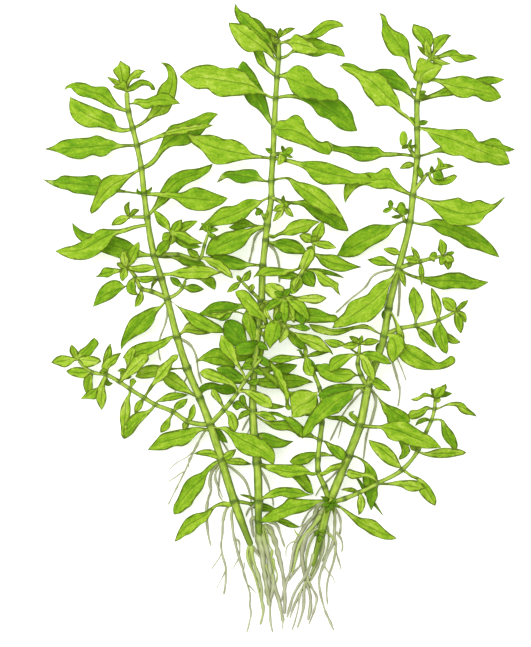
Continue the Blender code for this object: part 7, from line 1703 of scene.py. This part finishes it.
class Value:
    """One shader number, so that sums of sockets read as Python expressions."""

    def __init__(self, graph: "Graph", socket: bpy.types.NodeSocket | float) -> None:
        """Wraps a socket or a plain number.

        Args:
            graph: node tree that its Math nodes go into.
            socket: the socket or the number.
        """
        self.graph = graph
        self.socket = socket

    def _math(self, operation: str, *others: "Value | float") -> "Value":
        """Adds one Math node.

        Args:
            operation: the node's operation.
            others: its second and third inputs.

        Returns:
            The node's result.
        """
        node = self.graph.node("ShaderNodeMath", {"operation": operation}, dict(enumerate((self, *others))))
        return Value(self.graph, node.outputs[0])

    def __add__(self, other: "Value | float") -> "Value":
        """Sum."""
        return self._math("ADD", other)

    def __sub__(self, other: "Value | float") -> "Value":
        """Difference."""
        return self._math("SUBTRACT", other)

    def __rsub__(self, other: float) -> "Value":
        """Difference, with the number first."""
        return Value(self.graph, other)._math("SUBTRACT", self)

    def __mul__(self, other: "Value | float") -> "Value":
        """Product."""
        return self._math("MULTIPLY", other)

    def __pow__(self, other: "Value | float") -> "Value":
        """Power."""
        return self._math("POWER", other)

    def __abs__(self) -> "Value":
        """Size without its sign."""
        return self._math("ABSOLUTE")

    def sine(self) -> "Value":
        """Sine."""
        return self._math("SINE")

    def rising(self, low: float, high: float) -> "Value":
        """Smooth step.

        Args:
            low: value where the step starts, at 0.
            high: value where it ends, at 1.

        Returns:
            The step's height.
        """
        inputs = {"Value": self, "From Min": low, "From Max": high}
        node = self.graph.node("ShaderNodeMapRange", {"interpolation_type": "SMOOTHSTEP"}, inputs)
        return Value(self.graph, node.outputs["Result"])


class Graph:
    """The node tree of one material, with its Principled shader."""

    def __init__(self, name: str) -> None:
        """Starts a material.

        Args:
            name: name of the material.
        """
        self.material = bpy.data.materials.new(name)
        self.material.use_nodes = True
        self.tree = self.material.node_tree
        self.surface = self.tree.nodes["Principled BSDF"]

    def node(self, kind: str, settings: dict[str, object], inputs: dict[str | int, object]) -> bpy.types.Node:
        """Adds a node.

        Args:
            kind: the node's type.
            settings: its own settings, set first. Ramp stops come as "stops".
            inputs: values or links, by the socket's name or number.

        Returns:
            The new node.
        """
        made = self.tree.nodes.new(kind)
        for name, value in settings.items():
            if name == "stops":
                self._stops(made.color_ramp, value)
            else:
                setattr(made, name, value)
        for name, value in inputs.items():
            self.feed(made.inputs[name], value)
        return made

    @staticmethod
    def _stops(ramp: bpy.types.ColorRamp, stops: list[tuple[float, Color]]) -> None:
        """Sets the places and colours of a ramp.

        Args:
            ramp: the ramp.
            stops: place and colour of each stop.
        """
        while len(ramp.elements) < len(stops):
            ramp.elements.new(1.0)
        for element, (place, color) in zip(ramp.elements, stops):
            element.position = place
            element.color = color

    def feed(self, socket: bpy.types.NodeSocket, value: object) -> None:
        """Links a socket, or sets its value.

        Args:
            socket: input of a node.
            value: a number, a colour, a socket or a Value.
        """
        source = value.socket if isinstance(value, Value) else value
        if isinstance(source, bpy.types.NodeSocket):
            self.tree.links.new(source, socket)
        else:
            socket.default_value = source

    def attribute(self, name: str) -> bpy.types.Node:
        """One of the piece's own attributes."""
        return self.node("ShaderNodeAttribute", {"attribute_name": name}, {})

    def vector(self, name: str) -> bpy.types.NodeSocket:
        """A vector attribute."""
        return self.attribute(name).outputs["Vector"]

    def parts(self, name: str) -> tuple[Value, Value, Value]:
        """The three numbers of a vector attribute."""
        split = self.node("ShaderNodeSeparateXYZ", {}, {"Vector": self.vector(name)})
        return tuple(Value(self, out) for out in split.outputs)

    def factor(self, name: str) -> Value:
        """A number attribute."""
        return Value(self, self.attribute(name).outputs["Fac"])

    def noise(self, vector: bpy.types.NodeSocket, scale: float, detail: float) -> Value:
        """Noise that runs from about 0.2 to 0.8."""
        inputs = {"Vector": vector, "Scale": scale, "Detail": detail}
        return Value(self, self.node("ShaderNodeTexNoise", {}, inputs).outputs["Fac"])

    def streaks(self, name: str, scale: Point, detail: float) -> Value:
        """Noise on a vector attribute that is first multiplied part by part."""
        inputs = {0: self.vector(name), 1: scale}
        stretched = self.node("ShaderNodeVectorMath", {"operation": "MULTIPLY"}, inputs)
        return self.noise(stretched.outputs["Vector"], 1.0, detail)

    def grain(self, scale: float, detail: float) -> Value:
        """Noise on the place on the piece, in metres."""
        return self.noise(self.node("ShaderNodeTexCoord", {}, {}).outputs["Object"], scale, detail)

    def mix(self, share: Value, below: object, above: object) -> bpy.types.NodeSocket:
        """Colour that goes from one to the other with a share."""
        return self.node("ShaderNodeMix", {"data_type": "RGBA"}, {0: share, 6: below, 7: above}).outputs[2]

    def ramp(self, share: Value, stops: list[tuple[float, Color]]) -> bpy.types.NodeSocket:
        """Colour along a ramp."""
        return self.node("ShaderNodeValToRGB", {"stops": stops}, {"Fac": share}).outputs["Color"]

    def finish(self, color: object, roughness: object, height: Value, depth: float, gloss: float) -> None:
        """Feeds the surface.

        Args:
            color: colour of the surface.
            roughness: roughness, as a number or a value.
            height: height of the fine relief.
            depth: how far that relief stands out, in metres.
            gloss: specular level.
        """
        relief = {"Height": height, "Distance": depth, "Strength": RELIEF_STRENGTH}
        bump = self.node("ShaderNodeBump", {}, relief)
        inputs = self.surface.inputs
        self.feed(inputs["Base Color"], color)
        self.feed(inputs["Roughness"], roughness)
        self.feed(inputs["Normal"], bump.outputs["Normal"])
        inputs["Specular IOR Level"].default_value = gloss


def paint(red: int, green: int, blue: int) -> Color:
    """A colour as the eye sees it, turned into the light that it sends back.

    The light is the seen share, plus 0.055 and over 1.055, to the power 2.4, or the share over
    12.92 where it is very dark.

    Args:
        red: from 0 to 255.
        green: from 0 to 255.
        blue: from 0 to 255.

    Returns:
        Red, green and blue light from 0 to 1, and 1 for opaque.
    """
    seen = [part / 255 for part in (red, green, blue)]
    return (*(s / 12.92 if s < 0.04045 else ((s + 0.055) / 1.055) ** 2.4 for s in seen), 1.0)


@dataclass(frozen=True)
class LeafFinish:
    """Soft green leaf: fine strokes of green along it, with a broken dark hairline at its margin.

    Args:
        pale: colour of its palest strokes and of its stalk.
        light: colour of its light strokes.
        fresh: colour of its middling strokes.
        deep: colour of its darkest strokes and its veins.
        margin: colour of the hairline and the tip.
        rib: colour of the midrib and of specks.
        under: colour of the underside.
        stroke_scale: how close the strokes are along a leaf, across it and from leaf to leaf.
        patch_scale: the same for larger patches.
        grain_scale: grains in a metre.
        speck_scale: specks in a metre.
        break_scale: breaks of the hairline in a metre.
        tone_weight: how far a leaf's tone darkens it.
        base_shade: shade of a leaf of tone 0.
        margin_width: how much wider the hairline is where it is widest.
        least_margin: its width where it is narrowest, in millimetres.
        rib_width: half width of the midrib's line, in millimetres.
        vein_step: distance from vein to vein along the midrib, in millimetres.
        vein_slant: how far a vein runs along the leaf for each millimetre outwards.
    """

    pale: Color = paint(177, 200, 80)
    light: Color = paint(150, 183, 42)
    fresh: Color = paint(126, 167, 26)
    deep: Color = paint(88, 138, 10)
    margin: Color = paint(76, 92, 16)
    rib: Color = paint(80, 115, 14)
    under: Color = paint(168, 190, 88)
    stroke_scale: Point = (0.3, 1.4, 1.0)
    patch_scale: Point = (0.16, 0.5, 1.0)
    grain_scale: float = 1500.0
    speck_scale: float = 900.0
    break_scale: float = 380.0
    tone_weight: float = 0.85
    base_shade: float = 0.16
    margin_width: float = 0.62
    least_margin: float = 0.16
    rib_width: float = 0.17
    vein_step: float = 2.3
    vein_slant: float = 1.1

    def make(self) -> bpy.types.Material:
        """Builds the leaf material.

        Returns:
            One material for every blade.
        """
        g = Graph("leaf_green")
        t, edge, under = g.parts("share")
        length, across, _ = g.parts("blade")
        rim, tone, turned = g.factor("rim"), g.factor("tone"), g.factor("turned")
        strokes = g.streaks("blade", self.stroke_scale, 4.0)
        patches = g.streaks("blade", self.patch_scale, 3.0)
        grain = g.grain(self.grain_scale, 3.0)
        specks = g.grain(self.speck_scale, 1.0)
        wash = (strokes - 0.5) * 0.85 + (patches - 0.5) * 1.4 + (grain - 0.5) * 0.9
        # Besides the wash and the leaf's tone, the - t * 0.04 term is painted shade: the blade is a little
        # darker towards its base, where leaves overlap.
        shade = wash + tone * self.tone_weight + self.base_shade - t * 0.04 + edge**3.0 * 0.1
        color = g.ramp(shade, [(0.0, self.pale), (0.3, self.light), (0.6, self.fresh), (1.0, self.deep)])
        swing = (length - abs(across) * self.vein_slant) * (math.pi / self.vein_step)
        veins = (1 - abs(swing.sine()).rising(0.0, 0.2)) * t.rising(0.02, 0.12) * (1 - edge.rising(0.8, 0.98))
        color = g.mix(veins * strokes * 0.35, color, self.deep)
        rib = (1 - abs(across).rising(self.rib_width * 0.4, self.rib_width * 1.8)) * t.rising(0.0, 0.08)
        color = g.mix(rib * (1 - t.rising(0.6, 0.95)) * (patches * 0.8 + 0.35), color, self.rib)
        stalk = (1 - t.rising(0.0, 0.1)) * (1 - edge.rising(0.3, 0.8))
        color = g.mix(stalk * 0.5, color, self.pale)
        color = g.mix(specks.rising(0.62, 0.74) * 0.3, color, self.rib)
        color = g.mix((under * 0.7 + turned * 0.75).rising(0.0, 0.95), color, self.under)
        broken = g.grain(self.break_scale, 2.0)
        ink = ((broken - 0.5) * 2.6 + 0.5).rising(0.0, 1.0) * self.margin_width + self.least_margin
        line = 1 - (rim - ink).rising(-0.16, 0.06)
        color = g.mix(line * 0.8, color, self.margin)
        color = g.mix(t.rising(0.95, 1.0) * 0.6, color, self.margin)
        relief = strokes * 0.4 + grain * 0.25 - veins * 0.3
        g.finish(color, grain * 0.2 + 0.6, relief, 0.00012, 0.12)
        return g.material


@dataclass(frozen=True)
class StemFinish:
    """Smooth yellow-green stem, streaked along its length, dark at its joints, with painted shade along its
    sides.

    Args:
        pale: colour of its palest streaks.
        green: colour of its darkest streaks.
        dark: colour of its joints, and of the painted shade along its sides.
        low: colour of its foot.
        streak_scale: how close the streaks are along it, round it and from stem to stem.
        blotch_scale: the same for blotches.
        grain_scale: grains in a metre.
        joint_length: how far a joint's colour reaches, in millimetres.
    """

    pale: Color = paint(172, 196, 68)
    green: Color = paint(120, 156, 28)
    dark: Color = paint(58, 86, 8)
    low: Color = paint(98, 128, 22)
    streak_scale: Point = (0.12, 2.4, 1.0)
    blotch_scale: Point = (0.4, 1.0, 1.0)
    grain_scale: float = 1800.0
    joint_length: float = 1.3

    def make(self) -> bpy.types.Material:
        """Builds the stem material.

        Returns:
            One material for stems and twigs.
        """
        g = Graph("stem_green")
        _, side, _ = g.parts("rod")
        streaks = g.streaks("rod", self.streak_scale, 3.0)
        blotches = g.streaks("rod", self.blotch_scale, 2.0)
        grain = g.grain(self.grain_scale, 2.0)
        shade = (streaks - 0.5) * 1.8 + (blotches - 0.5) * 1.4 + 0.45
        color = g.mix(shade.rising(0.0, 1.0), self.pale, self.green)
        color = g.mix(g.factor("low").rising(0.1, 0.45) * 0.7, color, self.low)
        # Painted shade: the stem's sides, where it turns away from a view from above, are darkened towards
        # the dark colour.
        painted_side_shade = abs(side).rising(0.42, 1.0)
        color = g.mix(painted_side_shade * (blotches * 0.8 + 0.4), color, self.dark)
        joint = 1 - (g.factor("joint") + (blotches - 0.5) * 1.6).rising(0.1, self.joint_length)
        color = g.mix(joint * 0.85, color, self.dark)
        relief = streaks * 0.6 + grain * 0.3 + joint * 0.4
        g.finish(color, grain * 0.2 + 0.45, relief, 0.00015, 0.3)
        return g.material


@dataclass(frozen=True)
class RootFinish:
    """Dull root, grey green with brown patches and painted shade along its flanks, greener towards the stem.

    Args:
        pale: colour between its patches.
        brown: colour of its patches.
        painted_side_shade: colour of the painted shade along its sides.
        green: colour near the stem, and of a green root.
        patch_scale: how close the patches are along it, round it and from root to root.
        grain_scale: grains in a metre.
    """

    pale: Color = paint(190, 194, 160)
    brown: Color = paint(152, 154, 122)
    painted_side_shade: Color = paint(124, 128, 92)
    green: Color = paint(172, 194, 96)
    patch_scale: Point = (0.22, 0.8, 1.0)
    grain_scale: float = 1600.0

    def make(self) -> bpy.types.Material:
        """Builds the root material.

        Returns:
            One material for every root.
        """
        g = Graph("root_pale")
        _, side, _ = g.parts("rod")
        patches = g.streaks("rod", self.patch_scale, 3.0)
        grain = g.grain(self.grain_scale, 2.0)
        color = g.mix(((patches - 0.5) * 2.4 + 0.5).rising(0.0, 1.0), self.pale, self.brown)
        near = (1 - g.factor("reach").rising(0.0, 0.4)) * 0.45
        color = g.mix((near + g.factor("green") * 0.9).rising(0.0, 1.0), color, self.green)
        # Painted shade: the root's sides, where it turns away from a view from above, are darkened towards
        # the side shade colour.
        color = g.mix(abs(side).rising(0.5, 1.0) * 0.6, color, self.painted_side_shade)
        g.finish(color, grain * 0.2 + 0.6, patches * 0.5 + grain * 0.4, 0.0001, 0.25)
        return g.material


@dataclass(frozen=True)
class Finishes:
    """The plant's three materials."""

    leaf: bpy.types.Material = field(default_factory=lambda: LeafFinish().make())
    stem: bpy.types.Material = field(default_factory=lambda: StemFinish().make())
    root: bpy.types.Material = field(default_factory=lambda: RootFinish().make())


@dataclass
class Foliage:
    """Builds leaves and counts them, so that each has a seed of its own.

    Args:
        finishes: the plant's materials.
        blade: shape that every leaf shares.
        seed: seed of the last leaf.
    """

    finishes: Finishes
    blade: Blade = field(default_factory=Blade)
    seed: int = 100

    def add(self, mesh: Mesh, route: Route, leaves: tuple[AnyLeaf, ...]) -> None:
        """Adds leaves that grow from places on one route.

        Args:
            mesh: gathers them.
            route: points of the stem or twig.
            leaves: the leaves.
        """
        for leaf in leaves:
            base = along_route(route, np.array([float(leaf.node)]))[0]
            self.seed += 1
            self.blade.add(mesh, base, leaf, self.seed)

    def piece(self, name: str, route: Route, leaves: tuple[AnyLeaf, ...], node: str) -> None:
        """Builds one piece of leaves.

        Args:
            name: its name.
            route: points of the stem or twig.
            leaves: its leaves.
            node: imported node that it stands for.
        """
        mesh = Mesh(name)
        self.add(mesh, route, leaves)
        mesh.build(Slot.LEAF, self.finishes.leaf, node)


@dataclass
class RootMass:
    """Roots that start together.

    Args:
        name: name of the piece.
        roots: its roots.
        node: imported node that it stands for.
        tip_share: a root's radius at its tip, as a share of that at its start.
        wander: how far a root wanders to either side, in millimetres.
        seed_step: seeds for each letter of the name.
        rod: shape of every root.
    """

    name: str
    roots: tuple[Root, ...]
    node: str
    tip_share: float = 0.55
    wander: float = 0.22
    seed_step: int = 31
    rod: Rod = Rod(round_points=10, step=0.6, ridge=0.1, rough=0.3, lump=1.8)

    def build(self, finishes: Finishes) -> None:
        """Builds the roots as one piece.

        Args:
            finishes: the plant's materials.
        """
        mesh = Mesh(self.name)
        for number, root in enumerate(self.roots, len(self.name) * self.seed_step):
            radii = (root.radius, root.radius * self.tip_share)
            self.rod.add(
                mesh, root.route(), radii, number, joints=False, wander=self.wander, green=root.green
            )
        mesh.build(Slot.ROOT, finishes.root, self.node)


@dataclass
class MainStem:
    """A main stem with its large leaves, small leaves, twigs, buds and roots.

    Args:
        side: which of the three stems it is.
        route: its joints, from the growing tip down.
        leaves: its large leaves, each with the name of its node.
        small_leaves: leaves that grow together with it.
        node_roots: roots that hang from its joints.
        root_tuft: roots at its foot.
        buds: its buds and capsules.
        rootstock: short stem that goes on among the roots at its foot.
        radii: radius at its tip and at its foot.
        foot: length over which it narrows to its foot, in millimetres.
        twig_radii: radius of a thin twig at both ends.
        twig_seed: seed of its first twig.
        bud_seed: seed of its first bud.
        rootstock_seed: seed of its rootstock.
        rod: shape of stems and twigs.
        bead: shape of buds.
    """

    side: Side
    route: tuple[Point, ...]
    leaves: dict[str, AnyLeaf]
    small_leaves: tuple[AnyLeaf, ...]
    node_roots: tuple[Root, ...]
    root_tuft: tuple[Root, ...]
    buds: tuple[Bud, ...]
    rootstock: Shoot | None = None
    radii: tuple[float, float] = (0.85, 1.5)
    foot: float = 15.0
    twig_radii: tuple[float, float] = (0.66, 0.5)
    twig_seed: int = 40
    bud_seed: int = 60
    rootstock_seed: int = 31
    rod: Rod = Rod()
    bead: Bead = Bead()

    def build(self, foliage: Foliage) -> None:
        """Builds the stem's pieces.

        Args:
            foliage: builds the leaves.
        """
        side = self.side.value
        node = f"{side}_stem"
        twigs = [twig for name, twig in TWIGS.items() if name.startswith(side)]
        stalk = Mesh(f"{node}_stalk")
        foot = 0.0 if self.rootstock else self.foot
        self.rod.add(stalk, self.route, self.radii, seed=len(self.route), foot=foot)
        for number, twig in enumerate(twigs, self.twig_seed):
            self.rod.add(stalk, twig.route, self.twig_radii, seed=number)
        stalk.build(Slot.STEM, foliage.finishes.stem, node)
        leaves = Mesh(f"{node}_small_leaves")
        foliage.add(leaves, self.route, self.small_leaves)
        for twig in twigs:
            foliage.add(leaves, twig.route, twig.leaves)
        for number, bud in enumerate(self.buds, self.bud_seed):
            self.bead.add(leaves, bud, number)
        leaves.build(Slot.LEAF, foliage.finishes.leaf, node)
        RootMass(f"{node}_aerial_roots", self.node_roots, node).build(foliage.finishes)
        self._foot(foliage, f"{side}_root_tuft")
        for name, leaf in self.leaves.items():
            foliage.piece(f"{name}_blade", self.route, (leaf,), name)

    def _foot(self, foliage: Foliage, node: str) -> None:
        """Builds the roots at the stem's foot, and its rootstock where it has one.

        Args:
            foliage: builds the rootstock's scales.
            node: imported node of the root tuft.
        """
        side = self.side.value
        RootMass(f"{side}_roots", self.root_tuft, node).build(foliage.finishes)
        low = self.rootstock
        if low:
            stalk = Mesh(f"{side}_rootstock")
            self.rod.add(stalk, low.route, low.radii, seed=self.rootstock_seed, foot=self.foot)
            stalk.build(Slot.STEM, foliage.finishes.stem, node)
            foliage.piece(f"{side}_rootstock_scales", low.route, low.leaves, node)


@dataclass
class SideShoot:
    """A side shoot: its twig and its leaves.

    Args:
        name: name of its node.
        shoot: its route, leaves and radii.
        rod: shape of stems and twigs.
    """

    name: str
    shoot: Shoot
    rod: Rod = Rod()

    def build(self, foliage: Foliage) -> None:
        """Builds the twig and the leaves.

        Args:
            foliage: builds the leaves.
        """
        twig = Mesh(f"{self.name}_twig")
        self.rod.add(twig, self.shoot.route, self.shoot.radii, seed=len(self.name))
        twig.build(Slot.STEM, foliage.finishes.stem, self.name)
        foliage.piece(f"{self.name}_leaves", self.shoot.route, self.shoot.leaves, self.name)


@dataclass
class Studio:
    """Pale floor, soft light and a camera straight above, with the photograph's frame.

    Args:
        view_centre: place that the camera stands over, in millimetres.
        view_height: height of the view at mid plant, in millimetres.
        plant_middle: height of mid plant, in millimetres.
        camera_height: height of the camera, in millimetres.
        sensor: the camera's longer side, in millimetres.
        floor_half: half the floor's side, in metres.
        floor_tones: darkest and lightest grey of the floor.
        floor_flecks: flecks in a metre of floor.
        floor_glow: how much light the floor gives of itself.
        sky: strength of the light from all round.
        lamp_place: place of the lamp, in metres.
        lamp_size: side of the lamp, in metres.
        lamp_power: power of the lamp, in watts.
    """

    view_centre: Spot = (-4.55, -1.75)
    view_height: float = 226.45
    plant_middle: float = 8.0
    camera_height: float = 2400.0
    sensor: float = 36.0
    floor_half: float = 3.0
    floor_tones: tuple[float, float] = (0.93, 0.95)
    floor_flecks: float = 60.0
    floor_glow: float = 0.4
    sky: float = 0.88
    lamp_place: Point = (-0.7, 0.7, 1.6)
    lamp_size: float = 1.6
    lamp_power: float = 24.0

    def build(self) -> None:
        """Builds the floor, the lights and the camera."""
        self._floor()
        self._lights()
        self._camera()
        bpy.context.scene.view_settings.view_transform = "Standard"

    def _floor(self) -> None:
        """A wide pale floor at the level the plant lies on."""
        h = self.floor_half
        mesh = bpy.data.meshes.new("floor")
        mesh.from_pydata([(-h, -h, 0), (h, -h, 0), (h, h, 0), (-h, h, 0)], [], [(0, 1, 2, 3)])
        g = Graph("floor_pale")
        fleck = g.grain(self.floor_flecks, 2.0)
        dark, light = ((tone, tone, tone, 1) for tone in self.floor_tones)
        g.finish(g.mix(fleck, dark, light), 0.9, fleck, 0.00002, 0.1)
        g.surface.inputs["Emission Color"].default_value = (1, 1, 1, 1)
        g.surface.inputs["Emission Strength"].default_value = self.floor_glow
        mesh.materials.append(g.material)
        floor = bpy.data.objects.new("floor", mesh)
        bpy.context.scene.collection.objects.link(floor)

    def _lights(self) -> None:
        """White light from all round and one large soft lamp from the upper left."""
        world = bpy.data.worlds.new("studio")
        world.use_nodes = True
        background = world.node_tree.nodes["Background"]
        background.inputs["Color"].default_value = (1, 1, 1, 1)
        background.inputs["Strength"].default_value = self.sky
        bpy.context.scene.world = world
        lamp = bpy.data.lights.new("soft_lamp", "AREA")
        lamp.size = self.lamp_size
        lamp.energy = self.lamp_power
        holder = bpy.data.objects.new("soft_lamp", lamp)
        holder.location = self.lamp_place
        holder.rotation_euler = (-Vector(self.lamp_place)).to_track_quat("-Z", "Y").to_euler()
        bpy.context.scene.collection.objects.link(holder)

    def _camera(self) -> None:
        """Camera straight above whose long side spans the photograph's height at mid plant."""
        lens = bpy.data.cameras.new("camera")
        lens.sensor_width = self.sensor
        lens.lens = self.sensor * (self.camera_height - self.plant_middle) / self.view_height
        lens.clip_end = 20.0
        camera = bpy.data.objects.new("camera", lens)
        camera.location = Vector((*self.view_centre, self.camera_height)) * MM
        bpy.context.scene.collection.objects.link(camera)
        bpy.context.scene.camera = camera


def main() -> None:
    """Builds the plant piece by piece, then its surroundings."""
    logging.basicConfig(level=logging.INFO, format="%(name)s: %(message)s")
    foliage = Foliage(Finishes())
    stems = (
        MainStem(
            Side.LEFT,
            LEFT_ROUTE,
            LEFT_LEAVES,
            LEFT_SMALL_LEAVES,
            LEFT_NODE_ROOTS,
            LEFT_ROOT_TUFT,
            LEFT_BUDS,
        ),
        MainStem(
            Side.MIDDLE,
            MIDDLE_ROUTE,
            MIDDLE_LEAVES,
            MIDDLE_SMALL_LEAVES,
            MIDDLE_NODE_ROOTS,
            MIDDLE_ROOT_TUFT,
            MIDDLE_BUDS,
        ),
        MainStem(
            Side.RIGHT,
            RIGHT_ROUTE,
            RIGHT_LEAVES,
            RIGHT_SMALL_LEAVES,
            RIGHT_NODE_ROOTS,
            RIGHT_ROOT_TUFT,
            RIGHT_BUDS,
            RIGHT_ROOTSTOCK,
        ),
    )
    for stem in stems:
        stem.build(foliage)
    for name, shoot in SHOOTS.items():
        SideShoot(name, shoot).build(foliage)
    Studio().build()


if __name__ == "__main__":
    main()
